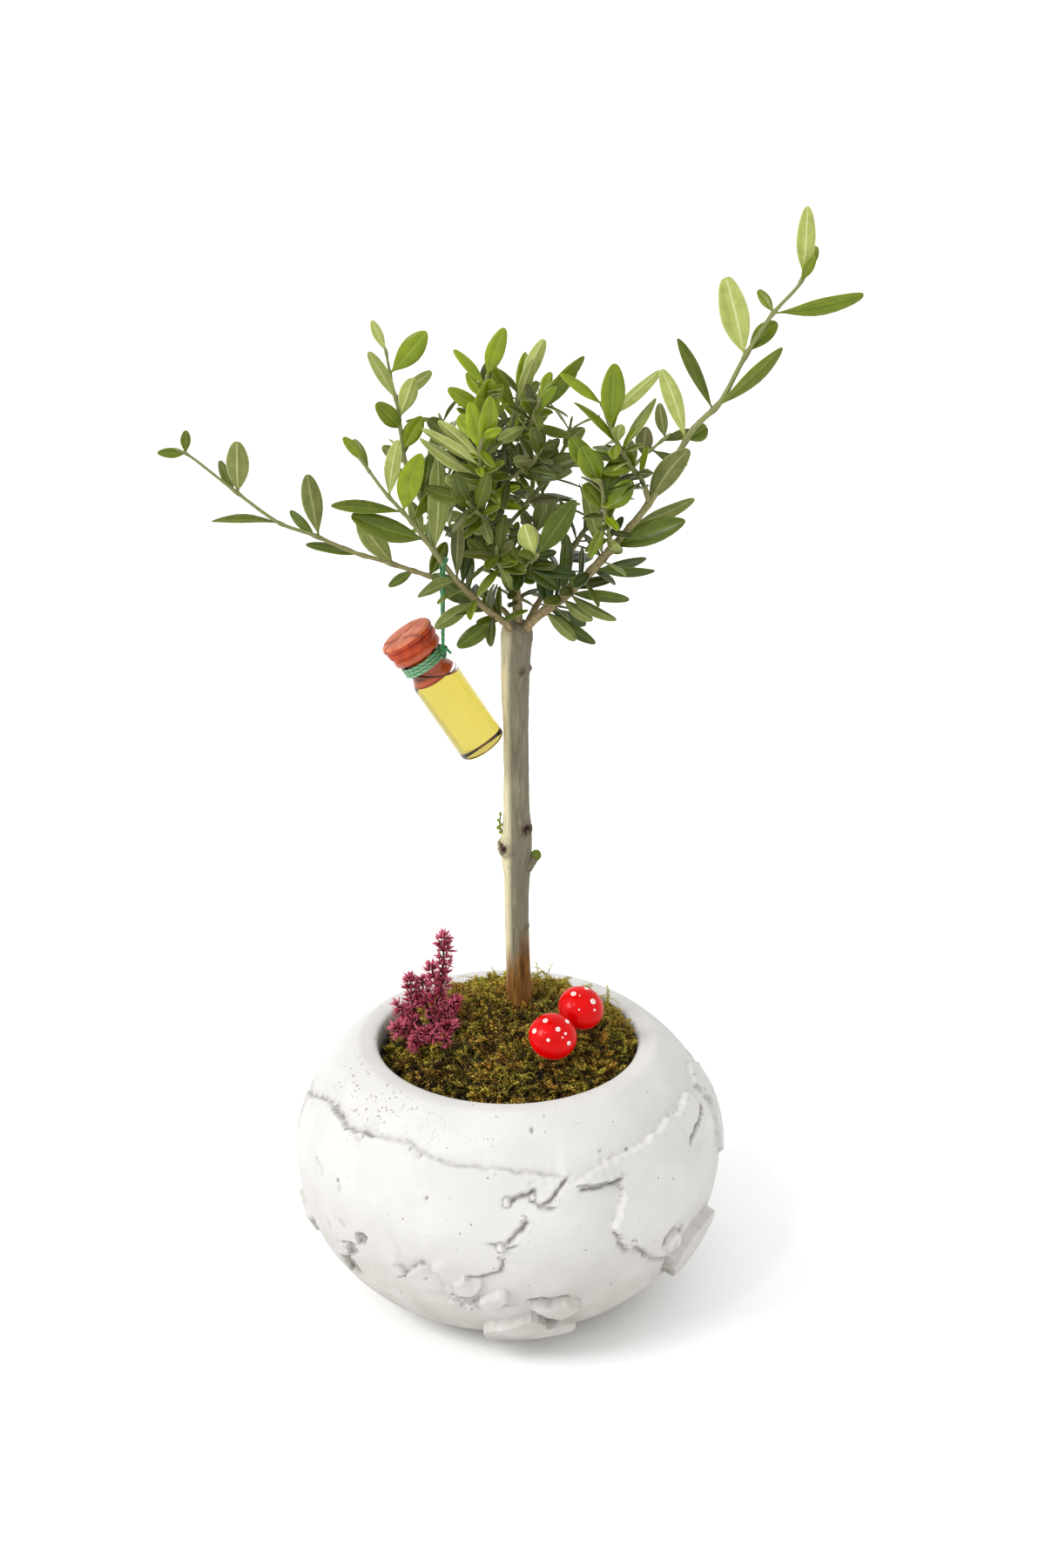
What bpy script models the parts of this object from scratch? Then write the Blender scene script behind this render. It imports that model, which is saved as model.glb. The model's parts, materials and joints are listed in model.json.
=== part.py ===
"""An olive bonsai in a round bowl of broken white plaster.

A young olive stands in a 190 mm bowl filled with soil and topped with moss. A small
stoppered vial of oil hangs by a green cord from one of its twigs, and two toy toadstools
and a dried sprig are planted in the moss.

Units: the tables below are in millimetres and the finished meshes are in metres.
+X is to the viewer's right, +Y away from the viewer, +Z up. The origin is the middle of
the flat face that the bowl stands on.
"""
import math
import random
from collections import namedtuple

import bmesh
import bpy
from mathutils import Matrix, Vector, noise
from mathutils.bvhtree import BVHTree
from mathutils.geometry import delaunay_2d_cdt, intersect_point_line

MM = 0.001
GAP = 0.3

# Bowl
POT_HEIGHT = 120.0
RIM_INNER_RADIUS = 57.5
POT_STEPS = 60
SOIL_STEPS = 32
# The outer side from the rim down to the base, as (radius, height)
POT_OUTSIDE = [
    (66.0, 120.0), (67.5, 119.0), (70.0, 117.0), (76.5, 111.0), (83.0, 103.0), (88.0, 95.0),
    (91.8, 86.5), (94.2, 77.5), (95.0, 67.5), (94.3, 57.0), (91.6, 46.0), (86.6, 34.0), (79.0, 22.5),
    (69.0, 12.5), (56.0, 4.8), (41.0, 0.0),
]
# The inner side from the floor of the bowl up to the rim
POT_INSIDE = [
    (50.0, 14.0), (72.0, 28.0), (82.0, 50.0), (81.0, 73.0), (70.0, 91.0), (57.5, 101.0),
    (57.5, 118.6), (58.6, 120.0),
]
POT_FLOOR = 12.0
# Between these heights the outer side has relief, and its faces meet sharply past this angle
POT_FOOT_EDGE = 3.0
POT_RIM_EDGE = POT_HEIGHT - 4.0
POT_SHARP_ANGLE = 28.0

# Filling
SOIL_TOP = 104.0
MOSS_PEAK = 133.0
MOSS_FALL = 25.0
MOSS_BACK = 0.74
MOSS_REACH = 64.0
MOSS_RADIUS = 57.1
MOSS_PITCH = 5.2

# Trunk: (x, y, z, radius)
TRUNK = [
    (5, 8, 62, 5.3), (5, 8, 90, 5.5), (5, 8, 118, 5.6), (5, 8, 131, 5.6), (4.6, 7.2, 152, 5.3),
    (4, 6, 177, 5.3), (4, 5.2, 194, 5.5), (4, 5, 203, 6.2), (4, 4.6, 212, 6.6), (4, 4.2, 221, 6.3),
    (3.9, 4, 230, 5.5), (3.7, 3, 260, 5.35), (3.5, 2, 284, 5.7), (3.8, 1, 300, 6.3), (4.1, 0.4, 309, 6.8),
    (4.2, 0.2, 313, 5.6), (4.3, 0, 315, 3.4),
]
TRUNK_HOLE_RADIUS = 6.15
TRUNK_HOLE_FLOOR = 61.6
# Knots on the bark: (centre, direction, radius, height)
KNOTS = [
    ((-0.8, 3.2, 211), (-1, -0.45, 0.1), 3.3, 3.0),
    ((7.6, -0.2, 221), (0.55, -0.8, 0.1), 2.6, 2.2),
    ((9.0, 3.4, 203), (0.9, -0.2, 0.55), 1.9, 4.2),
    ((-0.4, 3.6, 221), (-1, -0.2, 0.5), 1.0, 2.2),
    ((5.4, -2.8, 294), (0.3, -0.95, 0.1), 1.6, 1.5),
    ((7.9, 1.0, 294), (1, -0.2, 0.2), 1.1, 1.3),
    ((8.2, 3.2, 173), (0.8, -0.6, 0.1), 1.3, 1.2),
]
STUB_LEAF = ((12.4, 2.4, 207.5), (2.3, 0.7, 2.7))

# Stems. Every stem grows out of its parent along a route and carries its leaves in its node.
# Leaves are (place along the stem, heading in the front view, lean towards the viewer,
# length, width, turn of the upper face away from the viewer), angles in degrees.
# Pairs are (first place, last place, spacing, leaf length, leaf width) and follow the rule
# of an olive twig, each pair square to the one before it.
Stem = namedtuple("Stem", "name parent route radii leaves pairs")
STEMS = [
    Stem("crown_leader", "trunk",
         [(5, 0, 304), (4.6, 0, 318), (3, 0, 335), (0, 0, 343), (-2, 0, 352), (-6, 0, 368), (-5, 0, 377),
          (-1, 0, 387), (3, 0, 401), (6, 1, 411)], (2.2, 0.8),
         [(.94, 120, 5, 22, 6, 20), (.97, 82, -20, 19, 5, 20), (.99, 68, 5, 25, 6, 170),
          (.96, 72, 20, 22, 5, 160), (.90, 115, -20, 12, 4, 40), (.92, 25, -25, 25, 4, 60),
          (.42, 85, 40, 16, 7, 190), (.30, 110, 35, 13, 6, 30), (.16, 100, 15, 21, 4, 150)],
         (0.24, 0.84, 11, 18, 6)),
    Stem("crown_left", "crown_leader",
         [(-5, 0, 374), (-5, -5, 384), (-8, -11, 395), (-9, -14, 405), (-9, -15, 415), (-7, -15, 423)],
         (1.0, 0.6),
         [(.70, 145, 5, 16, 6, 40), (.80, 125, -25, 12, 4, 60), (.90, 132, -15, 18, 4, 80),
          (.98, 70, -5, 19, 7, 10), (.50, 85, 20, 25, 10, 0), (.62, 60, -30, 17, 5, 30)],
         (0.4, 0.8, 9, 15, 5.5)),
    Stem("crown_front", "crown_leader",
         [(-4, 0, 359), (-6, -10, 370), (-9, -18, 379), (-10, -24, 388), (-10, -28, 396), (-9, -30, 402)],
         (1.0, 0.6),
         [(.86, 100, 15, 20, 7, 10), (.90, 72, 10, 22, 7, 20), (.80, 140, -5, 21, 5, 170),
          (.70, 142, 12, 29, 4, 160), (.56, 146, 18, 32, 5, 185), (.97, 145, -40, 15, 7, 0),
          (.98, 40, 10, 10, 4, 30), (.45, 158, 30, 20, 6, 180)],
         (0.32, 0.82, 9, 16, 5.5)),
    Stem("crown_right", "crown_leader",
         [(0, 0, 390), (4, -8, 397), (9, -14, 402), (12, -17, 409), (14, -18, 415)], (0.95, 0.6),
         [(.74, 55, 15, 15, 4, 60), (.80, 40, 10, 23, 7, 10), (.62, -25, -25, 19, 4, 80),
          (.96, 42, 5, 23, 4, 60), (.98, 65, -30, 11, 4, 20), (.55, -160, 35, 15, 5, 200)],
         (0.4, 0.95, 9, 15, 5.5)),
    Stem("crown_dark", "crown_leader",
         [(-5.5, 0, 370), (0, -10, 378), (5, -17, 383), (11, -22, 389), (14, -24, 395)], (0.95, 0.6),
         [(.56, 20, 15, 25, 9, 20), (.84, 165, 50, 13, 5, 190), (.74, -10, -20, 17, 4, 70),
          (.97, 20, -20, 8, 4, 60), (.66, 0, 35, 16, 6, 30), (.92, 100, 30, 14, 5, 30)],
         (0.38, 0.85, 9, 16, 6)),
    Stem("crown_glossy", "crown_leader",
         [(3, 0, 331), (6, -10, 340), (10, -17, 346), (13, -22, 351)], (1.0, 0.7),
         [(.95, 57, 5, 27, 9, 0), (.90, 108, 0, 14, 8, 180), (.60, -5, 15, 20, 5, 40),
          (.55, -32, 5, 16, 6, 20)],
         (0.45, 0.9, 9, 15, 6)),
    Stem("crown_inner_left", "crown_leader",
         [(-1.5, 0, 348), (-6, -8, 358), (-9, -15, 364), (-13, -20, 369), (-16, -24, 374)], (0.95, 0.6),
         [(.82, 130, 20, 14, 5, 10), (.76, 75, 25, 19, 6, 20), (.94, 100, 20, 16, 6, 20),
          (.66, -70, 25, 12, 4, 140), (.97, 160, 5, 17, 6, 30)],
         (0.42, 0.85, 9, 15, 5.5)),
    Stem("branch_right", "trunk",
         [(5.4, -0.6, 305), (10, -3, 315.5), (27, -10, 332), (43, -16, 352), (58, -20, 373), (73, -22, 401),
          (84, -22, 413), (93, -20, 430), (103, -18, 446), (114, -15, 458), (117, -12, 466)], (2.2, 0.7),
         [(.97, 90, 5, 27, 7, 150), (.96, 65, 10, 11, 4, 60), (.98, 60, -35, 12, 4, 90),
          (.88, 10, 5, 34, 5, 50), (.88, 125, -40, 12, 4, 30), (.78, 106, 10, 34, 11, 180),
          (.79, 42, -25, 17, 7, 20), (.66, 115, -10, 30, 5, 60), (.67, 41, 5, 33, 5, 40),
          (.58, 110, 5, 31, 7, 190), (.58, 30, -20, 10, 7, 10), (.43, 64, 15, 34, 9, 200),
          (.28, 102, 12, 33, 6, 180), (.31, 28, 20, 32, 9, 10), (.37, 12, -30, 30, 5, 150),
          (.25, 0, 15, 24, 4, 70), (.24, 5, -20, 24, 4, 60), (.17, -8, 5, 24, 4, 60),
          (.17, -24, 20, 24, 4, 100), (.15, -28, 35, 17, 5, 140), (.10, -32, 12, 24, 5, 30),
          (.10, -38, 30, 18, 5, 150), (.11, -30, -20, 20, 5, 60), (.11, 95, -15, 18, 7, 10),
          (.15, 85, 0, 26, 5, 30)],
         None),
    Stem("twig_right_mid", "branch_right",
         [(57, -20, 372), (54, -22, 381), (49, -24, 388), (44, -26, 397), (41, -26, 404), (37, -25, 414)],
         (0.95, 0.6),
         [(.76, 88, 8, 25, 9, 0), (.97, 140, 5, 20, 4, 60), (.57, 130, 5, 25, 4, 50),
          (.85, 35, -20, 27, 5, 160), (.62, 85, 40, 13, 5, 180), (.56, 50, -25, 24, 4, 150),
          (.44, 175, -30, 16, 4, 80), (.34, 182, 10, 12, 4, 60)],
         (0.3, 0.75, 10, 15, 6)),
    Stem("twig_right_inner", "branch_right",
         [(42, -15.6, 350.5), (41, -22, 361), (39, -25, 370), (38, -26, 379), (35, -26, 386)], (0.95, 0.6),
         [(.88, 115, 12, 16, 9, 0), (.97, 125, -10, 17, 8, 20), (.56, 50, 5, 16, 8, 20),
          (.66, 70, -20, 19, 7, 20), (.56, 132, -10, 14, 7, 10), (.45, -115, 15, 16, 4, 60)],
         (0.4, 0.85, 9, 15, 6)),
    Stem("branch_right_back", "trunk",
         [(5.6, 1, 305), (10, 4, 316), (22, 12, 334), (36, 19, 354), (46, 22, 368), (56, 24, 378),
          (68, 26, 388)], (1.5, 0.6),
         [(.86, 85, -10, 12, 7, 200), (.82, 105, -10, 10, 4, 150), (.90, -25, -10, 17, 4, 70),
          (.95, 15, -15, 14, 4, 60), (.97, 100, -20, 14, 5, 170)],
         (.26, .78, 10, 21, 7)),
    Stem("branch_left", "trunk",
         [(4.4, 1.2, 306), (0, 6, 316), (-12, 9, 324), (-30, 11, 330), (-51, 12, 337), (-64, 12, 341),
          (-80, 10, 349), (-94, 8, 355), (-110, 6, 368), (-127, 4, 383), (-134, 2, 388)], (1.35, 0.6),
         [(.97, 175, 10, 11, 4, 60), (.97, 90, -15, 9, 4, 20), (.81, 87, 8, 23, 9, 180),
          (.82, 120, -25, 14, 4, 40), (.68, 175, -5, 28, 4, 70), (.58, 97, 8, 28, 8, 180),
          (.59, 140, -25, 15, 4, 30), (.46, 170, -10, 24, 4, 70), (.38, 122, 12, 27, 9, 190),
          (.39, 135, -30, 20, 6, 20), (.33, -145, -10, 13, 4, 60), (.29, 60, -30, 16, 6, 20)],
         None),
    Stem("branch_left_up", "trunk",
         [(4.2, -0.6, 305), (0, -4.6, 315), (-8, -9, 322.8), (-19, -13, 335.1), (-29, -16, 349.8),
          (-38, -20, 363.8), (-47, -24, 375.7), (-53, -27, 385.1), (-58, -29, 393.5)], (1.7, 0.6),
         [(.97, 125, 5, 12, 4, 30), (.93, 120, -30, 14, 4, 60), (.80, 80, 10, 25, 6, 180),
          (.72, 73, 12, 26, 9, 10), (.72, 168, 12, 28, 5, 60), (.58, 155, 18, 31, 9, 10),
          (.52, 88, -5, 37, 8, 185), (.60, 110, -15, 14, 5, 190), (.38, 155, 22, 30, 6, 100),
          (.38, 92, 0, 27, 6, 180), (.35, 86, -22, 28, 5, 10), (.25, 160, 5, 27, 9, 10),
          (.42, -120, 0, 15, 8, 20), (.27, -150, 20, 20, 6, 190), (.15, -148, 15, 20, 7, 20),
          (.67, 35, -25, 20, 5, 30)],
         (0.2, 0.62, 12, 18, 6)),
    Stem("twig_left_tall", "crown_leader",
         [(-.5, 0, 345), (-14, -4, 351), (-26, -7, 358), (-35, -8, 370), (-41, -6, 386), (-43, -4, 404),
          (-46, -2, 418), (-48, -1, 430)], (1.15, 0.6),
         [(.98, 112, 5, 14, 4, 150), (.90, 50, 8, 22, 9, 0), (.80, 116, 10, 23, 5, 180),
          (.81, 32, -15, 17, 5, 170), (.73, 70, 8, 18, 7, 150), (.69, 130, 8, 14, 7, 10),
          (.61, 60, -10, 15, 7, 10), (.56, 140, 12, 12, 5, 170), (.40, 80, -30, 20, 6, 20)],
         (0.25, 0.6, 12, 16, 5.5)),
    Stem("crown_back_top", "crown_leader",
         [(-2, 0, 385), (1, 8, 394), (4, 14, 403), (5, 18, 413)], (0.95, 0.6), [], (.40, 1, 7, 21, 7)),
    Stem("crown_back_left", "crown_leader",
         [(-6, 0, 366), (-14, 8, 376), (-22, 15, 386), (-28, 20, 398)], (0.95, 0.6), [],
         (.35, 1, 8, 22, 7)),
    Stem("crown_back_right", "crown_leader",
         [(-2, 0, 353), (7, 10, 361), (17, 17, 372), (24, 21, 384), (27, 23, 396)], (1.05, 0.6), [],
         (.35, 1, 8, 22, 7)),
    Stem("crown_back_mid", "crown_leader",
         [(-4, 0, 361), (-6, 12, 368), (-8, 24, 378), (-8, 32, 391)], (0.95, 0.6), [], (.35, 1, 8, 22, 7)),
    Stem("crown_back_low_left", "crown_leader",
         [(1, 0, 340), (-9, 14, 349), (-21, 26, 358), (-31, 36, 370)], (1.05, 0.6), [],
         (.35, 1, 9, 22, 7)),
    Stem("crown_back_low", "crown_leader",
         [(3.6, 0, 330), (7, 12, 336), (12, 27, 345), (15, 41, 358), (17, 50, 371)], (1.05, 0.6), [],
         (.30, 1, 10, 23, 7)),
    Stem("crown_low_front", "crown_leader",
         [(2.2, 0, 338), (-2, -10, 341), (-3, -18, 347), (-4, -25, 355)], (0.95, 0.6), [],
         (.50, 1, 9, 19, 6)),
]
WOOD_STEP = 9.0
SQUARE_CUT = 0.8
LEAF_SECTIONS = (0.0, 0.30, 0.68)
SHORT_LEAF = 19.5
SHORT_LEAF_SECTIONS = (0.0, 0.42)
LEAF_THICKNESS = 0.66
LEAF_CLEARANCE = 0.35
LEAF_NARROWEST = 0.23
PETIOLE_HALF = 0.45
LEAF_TRIES = 40
BACKWARD = -0.1

# Vial: the two ends of its axis, and its own profile along that axis
VIAL_BASE = Vector((-9.9, 0.0, 259.0))
VIAL_HEAD = Vector((-41.6, -1.5, 308.9))
VIAL_STEPS = 20
VIAL_NECK_RADIUS = 8.4
VIAL_WRAP_HEIGHT = 43.8
# Room kept free of leaves round the vial, as (height on its axis, radius), and round the cord
VIAL_ROOM = [
    (0, 10.2), (1, 11.0), (30, 11.0), (38, 10.8), (43, 11.0), (49, 11.0), (50, 11.6), (53, 11.8),
    (54, 12.2), (61.2, 12.0),
]
CORD_ROOM = [2.6, 3.4]

# Cord: tied to the left twig, knotted and wound three times round the neck of the vial
CORD_RADIUS = 0.75
CORD_TWIG = Vector((-26.0, -15.0, 345.2))
CORD_TURNS = 3
CORD_PITCH = 1.54
TURN_STEPS = 10
OVER_STEPS = 6
KNOT_RADIUS = 1.9

# Toadstools: (name, middle of the cap, the way it faces, radius, foot of the stem)
TOADSTOOLS = [
    ("front", (20.0, -30.0, 137.6), (0.14, -0.68, 0.72), 10.5, (21.0, -21.0)),
    ("back", (32.8, -10.0, 141.2), (0.22, -0.62, 0.75), 10.1, (32.0, -1.5)),
]
TOADSTOOL_STEM_RADIUS = 2.0
# The cap from its top round to the middle of its underside, for a cap of this radius
CAP_RADIUS = 10.3
CAP_PROFILE = [
    (0.0, 8.6), (2.9, 8.25), (5.6, 7.2), (8.0, 5.4), (9.6, 3.3), (10.3, 1.2), (10.1, 0.1), (9.2, 0.2),
    (8.2, 1.2), (0.0, 1.6),
]
CAP_DEPTH = 4.2
CAP_UNDERSIDE = 1.6
CAP_STEPS = 18

# Dried sprig: branches as lists of points, with the place along each where its florets begin
SPRIG_FOOT = (-36.0, -3.0)
SPRIG_BRANCHES = [
    ([(-36, -3, 104.6), (-36, -3, 118), (-33.5, -1, 131), (-29.6, 0, 143), (-28.4, 2, 154),
      (-28, 5, 167)], 0.40),
    ([(-35.4, -2.4, 125), (-42, -3, 130), (-48, -2, 137)], 0.40),
    ([(-38.8, -2.6, 127.4), (-42, 0, 137), (-43, 3, 147)], 0.40),
    ([(-34, -1.4, 129), (-36.5, 2, 138), (-38, 5, 145)], 0.45),
    ([(-30, 0, 142), (-32.5, 3, 148), (-33.6, 5, 152)], 0.40),
    ([(-35, -2, 126), (-28, -1, 131), (-23.5, 0, 138)], 0.35),
    ([(-35.3, -2.4, 125), (-29, -6, 127), (-24.5, -8, 130)], 0.40),
    ([(-35.3, -2.4, 125), (-43, -7, 127.5), (-49, -8, 129)], 0.40),
    ([(-35.3, -2.4, 124.6), (-35, -8, 126.5), (-32.5, -13, 126.5)], 0.40),
    ([(-35.3, -2.4, 124.8), (-38, -9, 126), (-41, -14, 124.5)], 0.40),
    ([(-35.2, -2.4, 124.9), (-31, -8, 125.5), (-27, -14, 124.5)], 0.45),
]
SPRIG_RADIUS = 0.9
FLORET_REACH = 3.9
FLORET_PITCH = 3.1
FLORET_ARMS = 3
# How far a floret leans up its stem, how high it stays above the moss, and the last tip
FLORET_LEAN = 2.1
FLORET_ABOVE_MOSS = 4.2
SPRIG_TIP = 3.2


def clear_scene():
    """Remove whatever the file holds, so that the model starts from nothing."""
    for item in list(bpy.data.objects):
        bpy.data.objects.remove(item, do_unlink=True)
    for group in (bpy.data.meshes, bpy.data.curves, bpy.data.collections):
        for item in list(group):
            group.remove(item)


def make_material(name, colour, roughness, alpha=1.0):
    material = bpy.data.materials.new(name)
    material.use_nodes = True
    shader = material.node_tree.nodes["Principled BSDF"]
    shader.inputs["Base Color"].default_value = (*colour, 1.0)
    shader.inputs["Roughness"].default_value = roughness
    shader.inputs["Metallic"].default_value = 0.0
    shader.inputs["Alpha"].default_value = alpha
    return material


def add_object(name, mesh, material, collection):
    mesh.materials.clear()
    if material:
        mesh.materials.append(material)
    item = bpy.data.objects.new(name, mesh)
    collection.objects.link(item)
    return item


def mesh_from(name, verts, faces):
    """A mesh from points in millimetres, with its faces turned outwards."""
    mesh = bpy.data.meshes.new(name)
    mesh.from_pydata([Vector(v) * MM for v in verts], [], faces)
    tidy = bmesh.new()
    tidy.from_mesh(mesh)
    bmesh.ops.recalc_face_normals(tidy, faces=tidy.faces)
    tidy.to_mesh(mesh)
    tidy.free()
    return mesh


def evaluated_mesh(item):
    depsgraph = bpy.context.evaluated_depsgraph_get()
    return bpy.data.meshes.new_from_object(item.evaluated_get(depsgraph))


def apply_modifiers(item):
    """Replace an object's mesh with the one its modifiers make."""
    mesh = evaluated_mesh(item)
    item.modifiers.clear()
    item.data = mesh
    return item


def weld(item, distance=0.00001):
    work = bmesh.new()
    work.from_mesh(item.data)
    bmesh.ops.remove_doubles(work, verts=work.verts, dist=distance)
    bmesh.ops.recalc_face_normals(work, faces=work.faces)
    work.to_mesh(item.data)
    work.free()
    return item


def turned(name, profile, steps, material, collection):
    """A closed turned body from a profile that runs down its outer side."""
    mesh = bpy.data.meshes.new(name)
    verts = [Vector((r * MM, 0, z * MM)) for r, z in profile]
    mesh.from_pydata(verts, [(i, i + 1) for i in range(len(verts) - 1)], [])
    item = add_object(name, mesh, material, collection)
    screw = item.modifiers.new("turn", "SCREW")
    screw.axis = "Z"
    screw.steps = steps
    screw.render_steps = steps
    screw.use_merge_vertices = True
    screw.merge_threshold = 0.00002
    return weld(apply_modifiers(item))


def smooth_route(points, per_span=8):
    """Points on a smooth curve through the given ones."""
    route = [Vector(p) for p in points]
    ends = [2 * route[0] - route[1]] + route + [2 * route[-1] - route[-2]]
    out = []
    for a, b, c, d in zip(ends, ends[1:], ends[2:], ends[3:]):
        for k in range(per_span):
            t = k / per_span
            out.append(0.5 * (2 * b + (c - a) * t + (2 * a - 5 * b + 4 * c - d) * t * t
                              + (3 * b - a - 3 * c + d) * t ** 3))
    out.append(route[-1])
    return out


class Wood:
    """The centre line of a stem, with its radius along the way."""

    def __init__(self, points, radii):
        self.points = points
        self.places = [0.0]
        for a, b in zip(points, points[1:]):
            self.places.append(self.places[-1] + (b - a).length)
        self.length = self.places[-1]
        if len(radii) == 2:
            first, last = radii
            radii = [first + (last - first) * p / self.length for p in self.places]
        self.radii = radii

    def at(self, place):
        """Point, direction and radius at a distance along the line."""
        place = min(max(place, 0.0), self.length)
        for i in range(len(self.points) - 1):
            if place <= self.places[i + 1] or i == len(self.points) - 2:
                span = self.places[i + 1] - self.places[i]
                t = (place - self.places[i]) / span
                a, b = self.points[i], self.points[i + 1]
                radius = self.radii[i] + (self.radii[i + 1] - self.radii[i]) * t
                return a.lerp(b, t), (b - a).normalized(), radius

    def clearance(self, point):
        """How far a point is from the bark."""
        best = 1e9
        for i in range(len(self.points) - 1):
            near, t = intersect_point_line(point, self.points[i], self.points[i + 1])
            t = min(max(t, 0.0), 1.0)
            near = self.points[i].lerp(self.points[i + 1], t)
            radius = self.radii[i] + (self.radii[i + 1] - self.radii[i]) * t
            best = min(best, (point - near).length - radius)
        return best

    def cut(self, start, end, step=WOOD_STEP, square_start=False, square_end=False):
        """Spaced points and radii between two distances, with the ends cut square if asked."""
        count = max(1, round((end - start) / step))
        found = [self.at(start + (end - start) * k / count) for k in range(count + 1)]
        points = [f[0] for f in found]
        radii = [f[2] for f in found]
        if square_start:
            points.insert(1, points[0] + found[0][1] * SQUARE_CUT)
            radii.insert(1, radii[0])
        if square_end:
            points.insert(-1, points[-1] - found[-1][1] * SQUARE_CUT)
            radii.insert(-1, radii[-1])
        return points, radii

    def beyond(self, start, step=WOOD_STEP):
        """Points and radii of the free stem, a gap past the end of the stub it grows from."""
        points, radii = self.cut(start, self.length, step, square_start=True)
        shift = self.at(start)[1] * GAP
        return [points[0] + shift, points[1] + shift] + points[2:], radii


def tube(name, points, radii, collection, bevel_resolution=1):
    """A capped tube along a polyline, as a mesh."""
    curve = bpy.data.curves.new(name, "CURVE")
    curve.dimensions = "3D"
    curve.bevel_depth = MM
    curve.bevel_resolution = bevel_resolution
    curve.use_fill_caps = True
    spline = curve.splines.new("POLY")
    spline.points.add(len(points) - 1)
    for knot, place, radius in zip(spline.points, points, radii):
        knot.co = (*(place * MM), 1.0)
        knot.radius = radius
    drawn = bpy.data.objects.new(name, curve)
    collection.objects.link(drawn)
    mesh = evaluated_mesh(drawn)
    bpy.data.objects.remove(drawn)
    bpy.data.curves.remove(curve)
    return weld(add_object(name, mesh, None, collection))


def guard_tube(points, radii, sides=6):
    """A plain tube for clearance tests, as points and faces."""
    verts = []
    faces = []
    for i, (place, radius) in enumerate(zip(points, radii)):
        along = (points[min(i + 1, len(points) - 1)] - points[max(i - 1, 0)]).normalized()
        side = along.orthogonal().normalized()
        other = along.cross(side)
        for k in range(sides):
            turn = 2 * math.pi * k / sides
            verts.append(place + radius * (math.cos(turn) * side + math.sin(turn) * other))
    for i in range(len(points) - 1):
        for k in range(sides):
            a = i * sides + k
            b = i * sides + (k + 1) % sides
            faces.append((a, b, b + sides, a + sides))
    return verts, faces


def fuse(host, others):
    """Join objects into one body and remove them."""
    if not others:
        return host
    group = bpy.data.collections.new("repeats")
    for item in others:
        group.objects.link(item)
    union = host.modifiers.new("union", "BOOLEAN")
    union.operation = "UNION"
    union.operand_type = "COLLECTION"
    union.collection = group
    union.solver = "EXACT"
    apply_modifiers(host)
    for item in others:
        bpy.data.objects.remove(item, do_unlink=True)
    bpy.data.collections.remove(group)
    return weld(host, 0.0000005)


def cut(host, cutter):
    """Cut a plain hole in a body."""
    hole = host.modifiers.new("hole", "BOOLEAN")
    hole.operation = "DIFFERENCE"
    hole.object = cutter
    hole.solver = "EXACT"
    cutter.hide_render = True
    cutter.display_type = "WIRE"
    return host


# Bowl


def inside(polygon, x, y):
    """Whether a point lies in a flat outline."""
    odd = False
    for (x1, y1), (x2, y2) in zip(polygon, polygon[1:] + polygon[:1]):
        if (y1 > y) != (y2 > y) and x < x1 + (y - y1) * (x2 - x1) / (y2 - y1):
            odd = not odd
    return odd


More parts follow.
